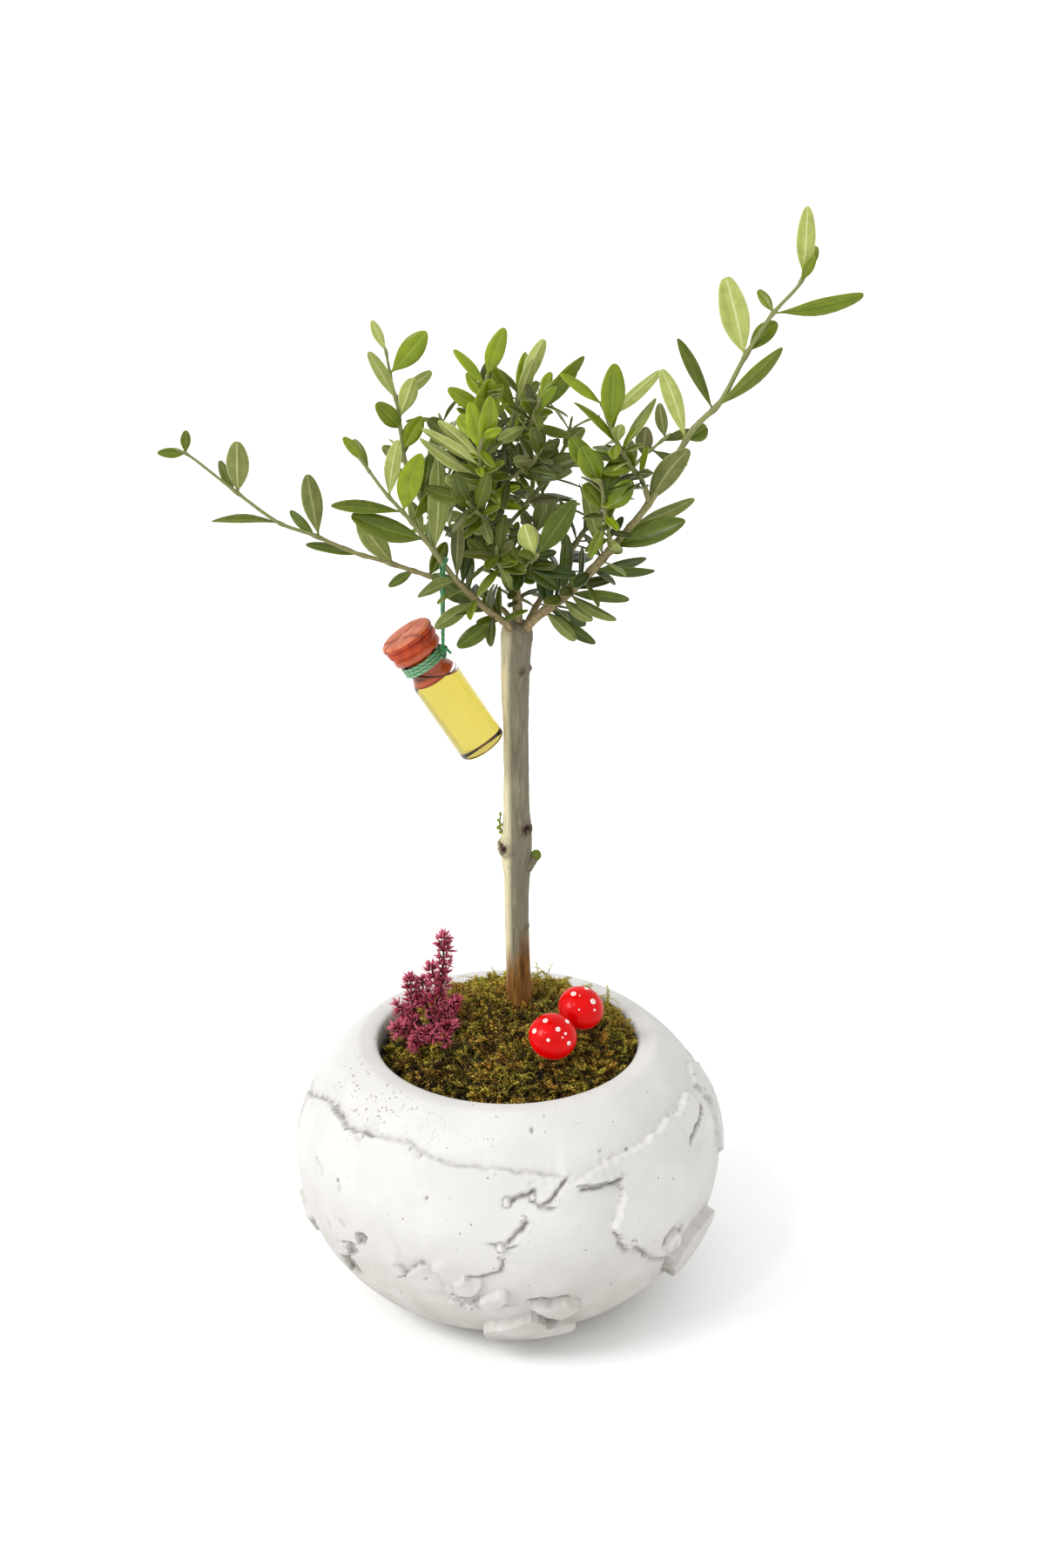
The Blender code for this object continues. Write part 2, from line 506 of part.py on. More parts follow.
# Plates of plaster and the places where it has broken away, as (level, outline). An outline
# is in degrees round the bowl, 0 at the front and 90 at the right, and in height. A later
# plate covers an earlier one, and the bare level is 0.
PLATES = [
    (1.4, [(-180, 101), (-150, 96), (-120, 100), (-86, 94), (-61, 101), (-44, 104), (-26, 104), (-14, 103),
           (0, 101), (17, 98), (26, 101), (41, 103), (56, 104), (71, 102), (90, 104), (120, 98), (150, 104),
           (180, 101), (180, 125), (-180, 125)]),
    (0.9, [(-86, 94), (-61, 101), (-44, 104), (-26, 104), (-14, 103), (0, 101), (17, 98), (13, 91), (8, 88),
           (3, 93), (-3, 90), (3, 86), (2, 77), (-2, 70), (-2, 62), (-9, 57), (-14, 50), (-18, 54), (-21, 58),
           (-25, 57), (-30, 51), (-38, 46), (-44, 56), (-60, 60), (-84, 52), (-98, 70)]),
    (1.9, [(17, 97), (26, 101), (41, 103), (56, 104), (70, 102), (80, 96), (76, 84), (66, 71), (58, 65),
           (50, 60), (45, 54), (38, 55), (32, 63), (29, 70), (29, 76), (32, 86), (30, 93)]),
    (3.2, [(47, 63), (56, 68), (66, 72), (74, 66), (72, 50), (64, 38), (54, 34), (50, 44), (54, 52)]),
    (-2.4, [(-49, 60), (-42, 66), (-38, 60), (-43, 50), (-40, 40), (-47, 38), (-52, 48)]),
    (-1.6, [(-30, 51), (-25, 56), (-21, 57), (-17, 51), (-16, 42), (-24, 38), (-31, 43)]),
    (2.6, [(-13, 50), (-9, 54), (-5, 52), (-4, 46), (-8, 43), (-13, 45)]),
    (3.6, [(-5, 44), (-1, 46), (4, 44), (5, 38), (1, 34), (-4, 37)]),
    (4.4, [(8, 27), (14, 30), (24, 29), (26, 22), (18, 18), (9, 20)]),
    (3.4, [(-12, 22), (-4, 27), (6, 24), (8, 15), (-2, 12), (-11, 15)]),
    (1.6, [(80, 104), (88, 108), (97, 100), (99, 84), (93, 74), (88, 80), (90, 92), (83, 96)]),
    (-1.6, [(-68, 84), (-62, 88), (-57, 82), (-61, 74), (-66, 76)]),
    (2.4, [(112, 92), (128, 97), (150, 88), (164, 72), (158, 52), (140, 40), (122, 46), (108, 62),
           (105, 80)]),
    (3.8, [(140, 52), (152, 58), (160, 50), (154, 36), (142, 34)]),
    (-1.8, [(168, 88), (176, 94), (184, 84), (180, 66), (172, 58), (166, 70)]),
    (1.2, [(-172, 84), (-150, 92), (-124, 88), (-108, 72), (-112, 48), (-130, 34), (-152, 40), (-170, 58)]),
    (3.2, [(-132, 44), (-122, 50), (-112, 44), (-116, 32), (-128, 28)]),
    (-2.2, [(-148, 66), (-140, 72), (-132, 66), (-136, 54), (-146, 54)]),
    (3.0, [(-92, 42), (-84, 48), (-76, 42), (-78, 32), (-88, 30)]),
]
RELIEF_TOP = 108.0
RELIEF_FOOT = 9.0


def relief(degrees, height):
    """How far the plaster stands out at a place on the bowl."""
    place = Vector((degrees * 1.6, height, 3.0))
    degrees += 2.0 * noise.noise(place / 9.0) + 0.9 * noise.noise(place / 3.5)
    height += 2.2 * noise.noise(place / 8.0 + Vector((40, 0, 0)))
    level = 0.0
    for plate_level, outline in PLATES:
        turn = degrees + 360 if degrees < 0 and outline[0][0] > 150 else degrees
        if inside(outline, turn, height):
            level = plate_level
    level += 0.5 * noise.noise(place / 22.0)
    foot = min(1.0, max(0.0, (height - RELIEF_FOOT) / 6.0))
    top = min(1.0, max(0.0, (RELIEF_TOP + 6.0 - height) / 6.0))
    return level * foot * top


def make_pot(material, collection):
    profile = [(0.0, POT_FLOOR)] + POT_INSIDE + POT_OUTSIDE + [(0.0, 0.0)]
    pot = turned("pot", profile, POT_STEPS, material, collection)
    for vertex in pot.data.vertices:
        x, y, z = vertex.co / MM
        radius = math.hypot(x, y)
        if POT_FOOT_EDGE < z < POT_RIM_EDGE and radius > profile_radius(z) - 1.0:
            degrees = math.degrees(math.atan2(x, -y))
            grown = radius + relief(degrees, z)
            vertex.co.x *= grown / radius
            vertex.co.y *= grown / radius
    pot.data.shade_smooth()
    pot.data.set_sharp_from_angle(angle=math.radians(POT_SHARP_ANGLE))
    return pot


def profile_radius(height):
    """Radius of the bowl's outer side at a height."""
    for (r1, z1), (r2, z2) in zip(POT_OUTSIDE, POT_OUTSIDE[1:]):
        if z2 <= height <= z1:
            return r1 + (r2 - r1) * (height - z1) / (z2 - z1)
    return 0.0


def round_cutter(name, centre, radius, low, high, collection, sides=16):
    work = bmesh.new()
    place = Matrix.Translation(Vector((*centre, (low + high) / 2)) * MM)
    bmesh.ops.create_cone(work, cap_ends=True, segments=sides, radius1=radius * MM, radius2=radius * MM,
                          depth=(high - low) * MM, matrix=place)
    mesh = bpy.data.meshes.new(name)
    work.to_mesh(mesh)
    work.free()
    return add_object(name, mesh, None, collection)


def make_soil(material, collection, cutters):
    """The earth that fills the bowl, with the hole that the trunk stands in."""
    wall = [(r - GAP * 1.3, z) for r, z in POT_INSIDE if z <= 101.0]
    wall[0] = (wall[0][0] - 1.0, wall[0][1] + 0.7)
    surface = [(0.0, SOIL_TOP), (RIM_INNER_RADIUS - GAP * 1.5, SOIL_TOP)]
    profile = surface + wall[::-1] + [(0.0, POT_FLOOR + GAP)]
    soil = turned("soil", profile, SOIL_STEPS, material, collection)
    hole = round_cutter("soil_hole", TRUNK[0][:2], TRUNK_HOLE_RADIUS, TRUNK_HOLE_FLOOR, SOIL_TOP + 5, cutters)
    return cut(soil, hole)


# Moss


def moss_height(x, y):
    """The even height of the moss, highest round the trunk and higher at the back."""
    across = y - TRUNK[0][1]
    reach = math.hypot(x - TRUNK[0][0], across * MOSS_BACK if across > 0 else across) / MOSS_REACH
    return MOSS_PEAK - MOSS_FALL * reach ** 1.5


def moss_bumps(x, y):
    """Cushions and tufts on the moss."""
    place = Vector((x, y, 7.0))
    return 1.9 * noise.noise(place / 9.0) + 1.5 * noise.noise(place / 3.6)


def make_moss(material, collection, cutters):
    draw = random.Random(11)
    points = []
    edge = 54
    for k in range(edge):
        turn = 2 * math.pi * k / edge
        points.append(Vector((MOSS_RADIUS * math.cos(turn), MOSS_RADIUS * math.sin(turn))))
    rows = int(MOSS_RADIUS / (MOSS_PITCH * 0.866)) + 1
    for row in range(-rows, rows + 1):
        for column in range(-rows, rows + 1):
            x = (column + 0.5 * (row % 2)) * MOSS_PITCH + draw.uniform(-1.1, 1.1)
            y = row * MOSS_PITCH * 0.866 + draw.uniform(-1.1, 1.1)
            if math.hypot(x, y) < MOSS_RADIUS - 2.4:
                points.append(Vector((x, y)))
    flat, _, faces, *_ = delaunay_2d_cdt(points, [], [], 0, 0.0001)
    verts = []
    for i, p in enumerate(flat):
        tuft = 0.0 if i < edge else moss_bumps(p.x, p.y) + draw.uniform(-0.9, 1.3)
        verts.append((p.x, p.y, moss_height(p.x, p.y) + tuft))
    count = len(verts)
    for p in flat[:edge]:
        verts.append((p.x, p.y, SOIL_TOP + GAP))
    faces = [tuple(f) for f in faces]
    for k in range(edge):
        n = (k + 1) % edge
        faces.append((k, n, count + n, count + k))
    faces.append(tuple(count + k for k in reversed(range(edge))))
    moss = add_object("moss", mesh_from("moss", verts, faces), material, collection)
    holes = [("moss_trunk_hole", TRUNK[0][:2], TRUNK_HOLE_RADIUS, 16),
             ("moss_sprig_hole", SPRIG_FOOT, SPRIG_RADIUS + 0.75, 8)]
    for name, *_, foot in TOADSTOOLS:
        holes.append(("moss_%s_hole" % name, foot, TOADSTOOL_STEM_RADIUS + 0.45, 12))
    for name, centre, radius, sides in holes:
        cut(moss, round_cutter(name, centre, radius, SOIL_TOP - 3, MOSS_PEAK + 12, cutters, sides))
    return apply_modifiers(moss)


# Trunk and stems


def cone_between(name, low, high, radius_low, radius_high, collection, sides=8):
    """A capped cone from one point to another."""
    axis = high - low
    work = bmesh.new()
    turn = Vector((0, 0, 1)).rotation_difference(axis).to_matrix().to_4x4()
    place = Matrix.Translation((low + high) / 2 * MM) @ turn
    bmesh.ops.create_cone(work, cap_ends=True, segments=sides, radius1=radius_low * MM,
                          radius2=radius_high * MM, depth=axis.length * MM, matrix=place)
    mesh = bpy.data.meshes.new(name)
    work.to_mesh(mesh)
    work.free()
    return add_object(name, mesh, None, collection)


def grow_wood():
    """The centre line of every stem, and where each one leaves its parent."""
    route = smooth_route([p[:3] for p in TRUNK], 2)
    radii = [p.x for p in smooth_route([(p[3], 0, 0) for p in TRUNK], 2)]
    wood = {"trunk": Wood(route, radii)}
    starts = {}
    for stem in STEMS:
        wood[stem.name] = Wood(smooth_route(stem.route), stem.radii)
        own, parent = wood[stem.name], wood[stem.parent]
        place = 0.0
        while place < own.length * 0.6:
            point, _, radius = own.at(place)
            if parent.clearance(point) - radius > 0.8:
                break
            place += 0.25
        starts[stem.name] = place
    return wood, starts


Leaf = namedtuple("Leaf", "base along face length width curl")


def leaf_half_width(leaf, s):
    """Half the width of the blade at a fraction of its length."""
    return max(PETIOLE_HALF, 0.5 * leaf.width * math.sin(math.pi * s ** 0.85) ** 0.8)


def blade(leaf, grow=0.0, first=0):
    """A thin pointed blade with a raised midrib, as points and triangles in millimetres."""
    side = leaf.along.cross(leaf.face).normalized()
    verts = []
    sections = LEAF_SECTIONS[first:] if leaf.length > SHORT_LEAF else SHORT_LEAF_SECTIONS[first:]
    for s in sections:
        centre = leaf.base + leaf.along * leaf.length * s - leaf.face * leaf.curl * leaf.length * s * s
        up = (leaf.face + leaf.along * 2 * leaf.curl * s).normalized()
        half = leaf_half_width(leaf, s) + grow
        low = 0.06 * half + grow
        verts += [centre - side * half - up * low, centre + up * (LEAF_THICKNESS + grow),
                  centre + side * half - up * low]
    verts.append(leaf.base + leaf.along * (leaf.length + grow) - leaf.face * leaf.curl * leaf.length)
    faces = [(0, 2, 1)]
    for row in range(len(sections) - 1):
        a = 3 * row
        b = a + 3
        for low, high in ((0, 1), (0, 2), (2, 1)):
            faces += [(a + low, a + high, b + high), (a + low, b + high, b + low)]
    last = 3 * (len(sections) - 1)
    for k in range(3):
        faces.append((last + k, last + (k + 1) % 3, len(verts) - 1))
    return verts, faces


def tree_of(shape):
    return BVHTree.FromPolygons(shape[0], shape[1])


class Thicket:
    """Keeps every leaf clear of the wood and the leaves that are already there."""

    def __init__(self):
        self.leaves = []
        self.solids = []

    def add_solid(self, node, points, radii):
        self.solids.append((node, tree_of(guard_tube(points, radii, 8))))

    def free(self, node, leaf):
        whole = tree_of(blade(leaf, LEAF_CLEARANCE))
        outer = tree_of(blade(leaf, LEAF_CLEARANCE, 1))
        for owner, solid in self.solids:
            if owner != node and whole.overlap(solid):
                return False
        middle = leaf.base + leaf.along * leaf.length * 0.5
        for owner, other, other_whole, other_outer in self.leaves:
            apart = (other.base + other.along * other.length * 0.5 - middle).length
            if apart > 0.5 * (leaf.length + other.length) + 3.0:
                continue
            if owner == node:
                crossing = outer.overlap(other_outer)
            else:
                crossing = whole.overlap(other_whole)
            if crossing:
                return False
        return True

    def add(self, node, leaf):
        self.leaves.append((node, leaf, tree_of(blade(leaf)), tree_of(blade(leaf, 0.0, 1))))


def true_shape(length, seen_width, turn):
    """Length, width and turn of a leaf whose seen width may be narrow because it is turned."""
    length *= 1.04
    seen_width *= 1.08
    width = max(seen_width, LEAF_NARROWEST * length)
    shown = math.degrees(math.acos(seen_width / width))
    sign = -1 if turn % 360 > 180 else 1
    underside = 90 < turn % 360 < 270
    return length, width, 180 - sign * shown if underside else sign * shown


def leaf_in_view(wood, start, place, heading, lean, length, width, turn, curl):
    """A leaf given by how it is seen from the front."""
    h, t = math.radians(heading), math.radians(lean)
    along = Vector((math.cos(h) * math.cos(t), -math.sin(t), math.sin(h) * math.cos(t)))
    view = Vector((0, -0.92, 0.38))
    face = (view - along * view.dot(along)).normalized()
    face = Matrix.Rotation(math.radians(turn), 3, along) @ face
    base = wood.at(max(start + 1.5, min(place * wood.length, wood.length - 1.2)))[0]
    return Leaf(base, along, face, length, width, curl)


def leaf_by_rule(wood, start, place, turn, spread, length, width, curl):
    """A leaf that spreads from its stem, its upper face to the tip of the stem."""
    base, tangent, _ = wood.at(max(start + 1.5, min(place, wood.length - 1.2)))
    side = tangent.cross(Vector((0.0, 0.2, 1.0))).normalized()
    other = tangent.cross(side)
    out = math.cos(turn) * side + math.sin(turn) * other
    along = (math.cos(spread) * tangent + math.sin(spread) * out).normalized()
    face = (tangent - along * tangent.dot(along)).normalized()
    return Leaf(base, along, face, length, width, curl)


def place_leaves(wood, starts, thicket):
    """Every stem's leaves: the ones seen from the front first, then the pairs by rule."""
    found = {stem.name: [] for stem in STEMS}
    for stem in STEMS:
        draw = random.Random("seen " + stem.name)
        own = wood[stem.name]
        for place, heading, lean, length, width, turn in stem.leaves:
            curl = draw.uniform(0.04, 0.12)
            length, width, turn = true_shape(length, width, turn)
            for trial in range(LEAF_TRIES):
                leaf = leaf_in_view(own, starts[stem.name], place, heading + trial * draw.uniform(-1.2, 1.2),
                                    lean + trial * draw.uniform(-1.6, 1.6), length * (1 - 0.008 * trial),
                                    width, turn + trial * draw.uniform(-3, 3), curl)
                if thicket.free(stem.name, leaf):
                    thicket.add(stem.name, leaf)
                    found[stem.name].append(leaf)
                    break
    for stem in STEMS:
        if not stem.pairs:
            continue
        draw = random.Random("pairs " + stem.name)
        own = wood[stem.name]
        first, last, spacing, length, width = stem.pairs
        place = first * own.length
        turn = draw.uniform(0, math.pi)
        while place <= last * own.length + 0.1:
            size = draw.uniform(0.85, 1.15) * (1.0 - 0.25 * place / own.length)
            for half in (0.0, math.pi):
                for trial in range(LEAF_TRIES):
                    loose = trial / LEAF_TRIES
                    leaf = leaf_by_rule(own, starts[stem.name], place + loose * draw.uniform(-2, 2),
                                        turn + half + draw.uniform(-0.3, 0.3) * (1 + 3 * loose),
                                        math.radians(draw.uniform(42, 62) + 20 * loose * draw.uniform(-1, 1)),
                                        length * size * (1 - 0.3 * loose), width * draw.uniform(0.85, 1.15),
                                        draw.uniform(0.04, 0.14))
                    if stem.leaves and leaf.along.y < BACKWARD:
                        continue
                    if thicket.free(stem.name, leaf):
                        thicket.add(stem.name, leaf)
                        found[stem.name].append(leaf)
                        break
            turn += math.pi / 2
            place += spacing
    return found


def make_tree(bark, green, collection, obstacles):
    """The trunk, and one node for each stem with its leaves fused to it."""
    wood, starts = grow_wood()
    thicket = Thicket()
    thicket.add_solid("trunk", *wood["trunk"].cut(0, wood["trunk"].length))
    for name, points, radii in obstacles:
        thicket.add_solid(name, points, radii)
    for stem in STEMS:
        own, start = wood[stem.name], starts[stem.name]
        thicket.add_solid(stem.parent, *own.cut(0, start, 2.0))
        thicket.add_solid(stem.name, *own.beyond(start))
    leaves = place_leaves(wood, starts, thicket)

    def stubs(parent):
        out = []
        for stem in STEMS:
            if stem.parent == parent:
                points, radii = wood[stem.name].cut(0, starts[stem.name], square_end=True)
                out.append(tube("stub_" + stem.name, points, radii, collection))
        return out

    trunk = tube("trunk", [Vector(p[:3]) for p in TRUNK], [p[3] for p in TRUNK], collection, 3)
    extras = stubs("trunk")
    for centre, direction, radius, height in KNOTS:
        out = Vector(direction).normalized()
        low = Vector(centre) - out * 2.0
        extras.append(cone_between("knot", low, Vector(centre) + out * height, radius * 1.25, radius * 0.8,
                                   collection))
    extras.append(make_stub_leaf(collection))
    fuse(trunk, extras)
    trunk.data.materials.clear()
    trunk.data.materials.append(bark)
    for stem in STEMS:
        own, start = wood[stem.name], starts[stem.name]
        points, radii = own.beyond(start)
        node = tube(stem.name, points, radii, collection)
        extras = stubs(stem.name)
        for k, leaf in enumerate(leaves[stem.name]):
            mesh = mesh_from("leaf", *blade(leaf))
            extras.append(add_object("leaf_%d" % k, mesh, None, collection))
        fuse(node, extras)
        node.data.materials.clear()
        node.data.materials.append(green)
    return wood, leaves


def make_stub_leaf(collection):
    """The small round leaf on the stub low on the trunk."""
    centre, size = STUB_LEAF
    work = bmesh.new()
    scale = Matrix.Diagonal((*(s * MM for s in size), 1.0))
    bmesh.ops.create_icosphere(work, subdivisions=1, radius=1.0,
                               matrix=Matrix.Translation(Vector(centre) * MM) @ scale)
    mesh = bpy.data.meshes.new("stub_leaf")
    work.to_mesh(mesh)
    work.free()
    return add_object("stub_leaf", mesh, None, collection)


# Vial, stopper, oil and cord


def vial_frame():
    """The turn and place that stand the vial on its axis."""
    axis = (VIAL_HEAD - VIAL_BASE).normalized()
    turn = Vector((0, 0, 1)).rotation_difference(axis).to_matrix().to_4x4()
    return Matrix.Translation(VIAL_BASE * MM) @ turn


def vial_point(radius, turn, height):
    """A point round the vial, in millimetres."""
    local = Vector((radius * math.cos(turn), radius * math.sin(turn), height)) * MM
    return vial_frame() @ local / MM


def make_vial(glass, rubber, oil, collection):
    frame = vial_frame()
    shell = turned("vial_glass", [
        (7.0, 53.0), (10.3, 53.0), (11.0, 52.2), (11.0, 50.4), (8.4, 49.5), (8.4, 42.0),
        (9.3, 39.6), (10.4, 36.8), (10.4, 1.2), (9.4, 0.0), (0.0, 0.0)], VIAL_STEPS, glass, collection)
    line_inside(shell, [(0.0, 2.4), (8.9, 2.4), (9.3, 3.1), (9.3, 36.4), (8.2, 39.4), (7.0, 42.0),
                        (7.0, 53.0)])
    stopper = turned("vial_stopper", [
        (0.0, 60.6), (10.9, 60.6), (11.8, 59.4), (11.4, 54.6), (10.6, 53.3), (6.7, 53.3), (6.6, 42.0),
        (6.0, 38.2), (0.0, 38.2)], VIAL_STEPS, rubber, collection)
    liquid = turned("vial_oil", [
        (0.0, 36.6), (8.7, 36.6), (8.95, 36.0), (8.95, 3.5), (8.5, 2.8), (0.0, 2.8)],
                    VIAL_STEPS, oil, collection)
    for item in (shell, stopper, liquid):
        item.data.transform(frame)
    return shell


def line_inside(shell, inner):
    """Give a turned outside its inside: the inner profile is turned and bridged to the mouth."""
    work = bmesh.new()
    work.from_mesh(shell.data)
    rings = []
    for r, z in inner:
        ring = []
        for k in range(VIAL_STEPS if r > 0 else 1):
            turn = 2 * math.pi * k / VIAL_STEPS
            ring.append(work.verts.new((r * math.cos(turn) * MM, r * math.sin(turn) * MM, z * MM)))
        rings.append(ring)
    for low, high in zip(rings, rings[1:]):
        for k in range(VIAL_STEPS):
            n = (k + 1) % VIAL_STEPS
            if len(low) == 1:
                work.faces.new((low[0], high[k], high[n]))
            else:
                work.faces.new((low[k], high[k], high[n], low[n]))
    bmesh.ops.remove_doubles(work, verts=work.verts, dist=0.00001)
    bmesh.ops.recalc_face_normals(work, faces=work.faces)
    work.to_mesh(shell.data)
    work.free()


def cord_routes():
    """The winding round the neck, and the doubled strand from its knot over the twig."""
    knot_turn = vial_turn_towards(CORD_TWIG)
    ring = (VIAL_NECK_RADIUS + GAP + CORD_RADIUS) / math.cos(math.pi / TURN_STEPS)
    wind = []
    for k in range(CORD_TURNS * TURN_STEPS + 1):
        turn = knot_turn + 2 * math.pi * k / TURN_STEPS
        wind.append(vial_point(ring, turn, VIAL_WRAP_HEIGHT + k / TURN_STEPS * CORD_PITCH))
    knot = vial_point(ring + 1.2, knot_turn, VIAL_WRAP_HEIGHT + 0.75 * CORD_TURNS * CORD_PITCH)
    return wind, knot


def vial_turn_towards(point):
    """The turn round the vial's axis that faces a point."""
    local = vial_frame().inverted() @ (point * MM)
    return math.atan2(local.y, local.x)


def make_cord(material, collection, twig):
    """One loop of cord, over the twig and down to the knot on the neck."""
    wind, knot = cord_routes()
    place, along, radius = twig
    across = along.cross(Vector((0, 0, 1))).normalized()
    crest = across.cross(along).normalized()
    hang = radius + GAP + CORD_RADIUS
    over = []
    for k in range(OVER_STEPS + 1):
        turn = math.pi * k / OVER_STEPS
        over.append(place + hang * (math.cos(turn) * across + math.sin(turn) * crest))
    left, right = over[0], over[-1]
    loop = [knot, knot.lerp(left, 0.5)] + over + [right.lerp(knot, 0.5), knot]
    top = len(loop) // 2
    cord = tube("hanging_cord", wind, [CORD_RADIUS] * len(wind), collection)
    first = tube("cord_half", loop[:top + 1], [CORD_RADIUS] * (top + 1), collection)
    second = tube("cord_half", loop[top:], [CORD_RADIUS] * (len(loop) - top), collection)
    work = bmesh.new()
    bmesh.ops.create_icosphere(work, subdivisions=2, radius=KNOT_RADIUS * MM,
                               matrix=Matrix.Translation(knot * MM))
    mesh = bpy.data.meshes.new("cord_knot")
    work.to_mesh(mesh)
    work.free()
    ball = add_object("cord_knot", mesh, None, collection)
    crown = bmesh.new()
    bmesh.ops.create_icosphere(crown, subdivisions=1, radius=0.9 * MM,
                               matrix=Matrix.Translation(loop[top] * MM))
    mesh = bpy.data.meshes.new("cord_joint")
    crown.to_mesh(mesh)
    crown.free()
    joint = add_object("cord_joint", mesh, None, collection)
    fuse(cord, [first, second, ball, joint])
    cord.data.materials.clear()
    cord.data.materials.append(material)
    return cord


# Toadstools and sprig


def make_toadstool(name, middle, facing, radius, foot, red, white, collection):
    axis = Vector(facing).normalized()
    turn = Vector((0, 0, 1)).rotation_difference(axis).to_matrix().to_4x4()
    seat = Vector(middle) - axis * CAP_DEPTH
    scale = radius / CAP_RADIUS
    dome = [(r * scale, z * scale) for r, z in CAP_PROFILE]
    cap = turned("toadstool_%s_cap" % name, dome, CAP_STEPS, red, collection)
    cap.data.transform(Matrix.Translation(seat * MM) @ turn)
    cap.data.shade_smooth()
    top = seat + axis * (CAP_UNDERSIDE * scale - GAP)
    low = Vector((*foot, SOIL_TOP + GAP + 0.2))
    edge = moss_height(*foot) + 2.0
    route = smooth_route([low, (low.x, low.y, edge - 6), (low.x, low.y, edge), top - axis * 4.0], 2)
    route += [top - axis * 1.0, top]
    radii = [TOADSTOOL_STEM_RADIUS] * len(route)
    stem = tube("toadstool_%s_stem" % name, route, radii, collection, 2)
    stem.data.materials.clear()
    stem.data.materials.append(white)
    return cap


def flower_head(points, first, draw, collection):
    """A stem whose upper part is ringed with pointed florets that lean up it."""
    wood = Wood(smooth_route(points, 3), (SPRIG_RADIUS, 0.55))
    count = 2 * FLORET_ARMS
    place = 0.0
    rings = []
    side = wood.at(0)[1].orthogonal().normalized()
    while place < wood.length - 0.5:
        base, along, radius = wood.at(place)
        side = (side - along * along.dot(side)).normalized()
        flowering = place > first * wood.length
        ring = []
        for k in range(count):
            out = Matrix.Rotation(2 * math.pi * k / count, 3, along) @ side
            if flowering and (k + len(rings)) % 2:
                reach = FLORET_REACH * draw.uniform(0.65, 1.2)
                point = base + out * reach + along * FLORET_LEAN
                clear = point.z > moss_height(point.x, point.y) + FLORET_ABOVE_MOSS
                ring.append(point if clear else base + out * radius)
            else:
                ring.append(base + out * radius)
        rings.append(ring)
        place += FLORET_PITCH if place + 4.0 > first * wood.length else 5.0
    verts = [p for ring in rings for p in ring]
    faces = [tuple(reversed(range(count)))]
    for row in range(len(rings) - 1):
        for k in range(count):
            n = (k + 1) % count
            a, b, c, d = row * count + k, row * count + n, (row + 1) * count + n, (row + 1) * count + k
            faces += [(a, b, c), (a, c, d)] if (k + row) % 2 == 0 else [(a, b, d), (b, c, d)]
    tip, along, _ = wood.at(wood.length)
    verts.append(tip + along * SPRIG_TIP)
    last = (len(rings) - 1) * count
    for k in range(count):
        faces.append((last + k, last + (k + 1) % count, len(verts) - 1))
    return add_object("flower_head", mesh_from("flower_head", verts, faces), None, collection)


def make_sprig(material, collection):
    """Dried flower heads on branching stems, fused with their roots sunk in."""
    draw = random.Random(29)
    heads = [flower_head(points, first, draw, collection) for points, first in SPRIG_BRANCHES]
    sprig = heads.pop(0)
    sprig.name = "dried_sprig"
    fuse(sprig, heads)
    sprig.data.materials.clear()
    sprig.data.materials.append(material)
    return sprig


def build():
    clear_scene()
    scene = bpy.context.scene
    collection = bpy.data.collections.new("olive_bonsai")
    cutters = bpy.data.collections.new("cutters")
    scene.collection.children.link(collection)
    scene.collection.children.link(cutters)

    plaster = make_material("plaster", (0.86, 0.85, 0.83), 0.9)
    earth = make_material("earth", (0.07, 0.045, 0.03), 0.95)
    moss_green = make_material("moss", (0.24, 0.22, 0.05), 0.95)
    bark = make_material("bark", (0.40, 0.37, 0.27), 0.8)
    green = make_material("leaf", (0.16, 0.26, 0.09), 0.5)
    magenta = make_material("dried_flower", (0.42, 0.06, 0.14), 0.9)
    red = make_material("toadstool_red", (0.75, 0.02, 0.01), 0.15)
    white = make_material("toadstool_white", (0.85, 0.82, 0.74), 0.7)
    glass = make_material("glass", (0.9, 0.95, 0.93), 0.05, 0.4)
    rubber = make_material("stopper_rubber", (0.62, 0.16, 0.08), 0.6)
    oil = make_material("oil", (0.85, 0.75, 0.2), 0.1)
    cord_green = make_material("cord", (0.02, 0.35, 0.10), 0.7)

    make_pot(plaster, collection)
    make_soil(earth, collection, cutters)
    make_moss(moss_green, collection, cutters)
    for name, middle, facing, radius, foot in TOADSTOOLS:
        make_toadstool(name, middle, facing, radius, foot, red, white, collection)
    make_sprig(magenta, collection)
    make_vial(glass, rubber, oil, collection)

    _, knot = cord_routes()
    axis = (VIAL_HEAD - VIAL_BASE).normalized()
    vial_line = [VIAL_BASE + axis * height for height, _ in VIAL_ROOM]
    vial_radii = [radius for _, radius in VIAL_ROOM]
    obstacles = [("vial", vial_line, vial_radii), ("cord", [knot, CORD_TWIG], CORD_ROOM)]
    wood, _ = make_tree(bark, green, collection, obstacles)
    twig = wood["branch_left_up"]
    place = min((twig.length * k / 400 for k in range(401)), key=lambda p: (twig.at(p)[0] - CORD_TWIG).length)
    make_cord(cord_green, collection, twig.at(place))


build()
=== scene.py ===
"""Looks of an olive bonsai in a bowl of broken plaster, with a vial, toadstools and a sprig.

Lengths in the tables are in millimetres, and the meshes are made in metres, in the frame of
the solids: +X to the viewer's right, +Y away from the viewer, +Z up, origin under the bowl.
"""
import json
import math
import random
from collections import namedtuple

import bpy
import numpy as np
from mathutils import Matrix, Vector, noise
from mathutils.bvhtree import BVHTree
from mathutils.geometry import intersect_point_line

